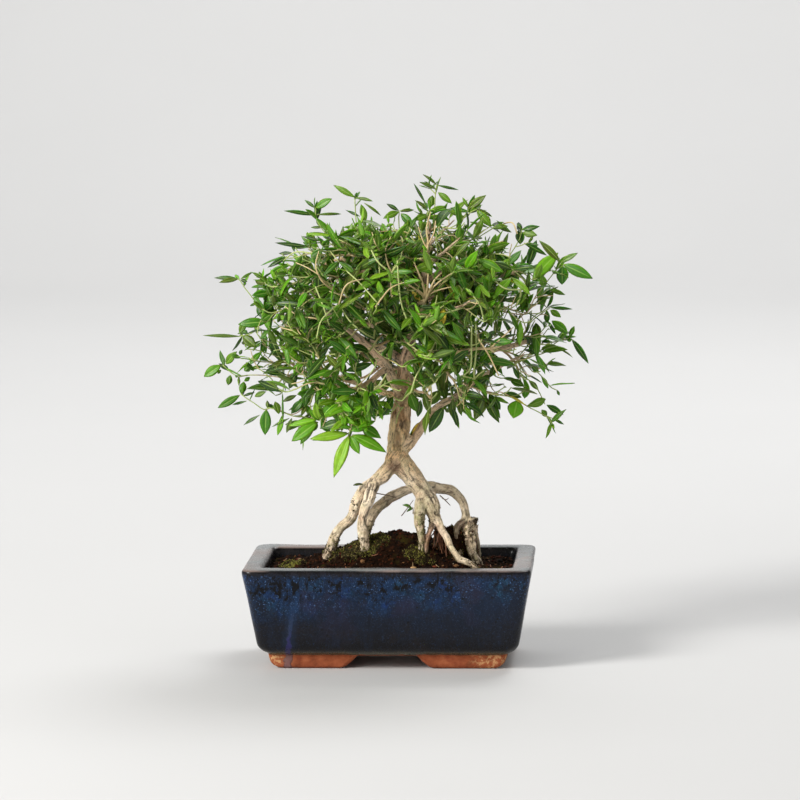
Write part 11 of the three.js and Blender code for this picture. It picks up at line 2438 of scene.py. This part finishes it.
def build_root_moss(wood, mat):
    """Moss, crumbs of soil and fibres that cling to the roots, thickest where they enter the soil."""
    me = wood.data
    v = np.empty(len(me.vertices) * 3, np.float32)
    me.vertices.foreach_get("co", v)
    v = v.reshape(-1, 3).astype(float) * 1000.0 - PLACE
    nor = np.empty(len(me.vertices) * 3, np.float32)
    me.vertex_normals.foreach_get("vector", nor)
    nor = nor.reshape(-1, 3).astype(float)
    above = v[:, 2] - soil_height(v[:, 0], v[:, 1])
    rng = np.random.default_rng(77)
    low = v[:, 2] < 122
    want = 0.95 * smooth_step(14.0, 1.5, above) ** 1.5 * smooth_step(-0.05, 0.30, noise(v / 3.6, 401) + 0.10) * np.where(v[:, 0] < 34, 1.0, 0.6)
    for (cx, cy, cz), r, w in MOSSY_AT:
        d = np.linalg.norm((v - (cx, cy, cz)) * (1, 0.7, 0.8), axis=1)
        want = np.maximum(want, w * smooth_step(r, r * 0.3, d) * smooth_step(-0.15, 0.25, noise(v / 2.0, 402)))
    want *= low & (above > -0.5)
    pick = rng.random(len(v)) < want * 2.2
    cols = moss_color(rng, noise(v / 2.6, 403) * 1.3)
    heap = Heap()
    soil_c = np.array(srgb(52, 32, 18))
    for i in np.nonzero(pick)[0]:
        c = cols[i] * 0.9
        if rng.random() < (0.35 if v[i, 0] < 20 else 0.6):
            c = soil_c * (0.5 + 1.2 * rng.random())
        tuft_heap(heap, rng, v[i] - nor[i] * 0.1, nor[i] + (0, 0, 0.6), 0.6 + 1.2 * rng.random() ** 1.5, c)
    q = heap.arrays()
    return carried(mesh_piece("root_moss", q[0], q[1], q[2], [mat], values=q[4]), "moss")


MOSSY_AT = [  # middle, radius and how thick
    ((-26.5, -14, 113), 6.5, 0.7), ((-24, -14, 106), 4.5, 0.5), ((24.5, -27, 104), 6.0, 0.9), ((26, -26, 97), 5.0, 0.7), ((-12, -17, 118), 3.2, 0.4),
    ((-17, -20, 86), 7.0, 0.8), ((-40, -14, 76), 6.0, 0.6), ((57, -9, 90), 7.0, 0.45), ((31, -14, 100), 6.0, 0.6), ((60, -4, 99), 5.0, 0.5), ((28, 16, 100), 6.0, 0.6),
]


# ---------------------------------------------------------------- the room
def build_stage():
    m = Nodes("studio_floor", 0.85)
    p = m.place()
    n = m.noise(p, 3.0, 3, 0.5)
    m.finish(m.mix(n, (0.55, 0.55, 0.55), (0.57, 0.57, 0.57)), m.math("MULTIPLY_ADD", n, 0.1, 0.8))
    prof = [(-6000, 0.0), (2700, 0.0)]
    R = 1500
    for a in np.linspace(0, 90, 19)[1:]:
        prof.append((2700 + R * math.sin(math.radians(a)), R - R * math.cos(math.radians(a))))
    prof.append((4200, 5600.0))
    v, q = [], []
    for y, z in prof:
        v += [(-7000, y, z), (7000, y, z)]
    for k in range(len(prof) - 1):
        q.append((2 * k, 2 * k + 1, 2 * k + 3, 2 * k + 2))
    ob = mesh_piece("studio_sweep", np.array(v, float), np.array(q), np.zeros((0, 3), int), [m.mat], place=False)
    ob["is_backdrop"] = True
    world = bpy.data.worlds.new("studio")
    world.use_nodes = True
    bg = world.node_tree.nodes["Background"]
    bg.inputs[0].default_value = (1.0, 0.99, 0.965, 1)
    bg.inputs[1].default_value = 0.30
    bpy.context.scene.world = world

    def area(name, where, at, size, power, color=(1, 1, 1), size_y=None):
        d = bpy.data.lights.new(name, "AREA")
        d.energy, d.color = power, color
        d.shape = "RECTANGLE"
        d.size = size
        d.size_y = size_y or size
        o = bpy.data.objects.new(name, d)
        o.location = where
        o.rotation_euler = (Vector(at) - Vector(where)).to_track_quat("-Z", "Y").to_euler()
        bpy.context.scene.collection.objects.link(o)

    area("key_light", (-2.1, -1.75, 1.62), (0, 0, 0.2), 0.9, 112, (1.0, 0.985, 0.955))
    area("fill_light", (2.4, -1.5, 1.3), (0, 0, 0.2), 1.6, 9, (0.97, 0.985, 1.0))
    area("back_light", (0.8, 1.1, 2.3), (0, 0, 0.25), 1.2, 30, (1, 1, 1))
    area("low_light", (-1.2, -2.0, 0.75), (0, 0, 0.17), 0.8, 13, (1.0, 0.97, 0.93))
    area("wall_light", (0.0, 2.3, 3.2), (0, 4.2, 0.9), 3.0, 88, (1, 1, 1))


def main():
    glaze = glaze_material()
    build_pot(glaze)
    wood, curves = build_wood(bark_material())
    leaf, twig = leaf_material(), twig_material()
    build_crown(leaf, twig)
    earth = soil_material()
    build_soil(earth)
    build_grains(grain_material())
    moss = moss_material()
    build_moss(moss)
    build_root_moss(wood, moss)
    build_root_ball(earth, moss)
    build_litter(leaf, twig)
    mesh = screen_material()
    for name in ("drain_screen_left", "drain_screen_right"):
        for s in frame["nodes"][name].material_slots:
            s.material = mesh
    build_stage()
    sc = bpy.context.scene
    sc.view_settings.view_transform = "Standard"
    sc.view_settings.look = "None"
    sc.view_settings.exposure = 0.0
    tris = {}
    for o in sc.objects:
        if o.type == "MESH" and o.name in {p.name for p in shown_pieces()}:
            tris[o.name] = sum(len(p.vertices) - 2 for p in o.data.polygons)
    print("triangles", sum(tris.values()), sorted(tris.items(), key=lambda t: -t[1])[:6])


main()
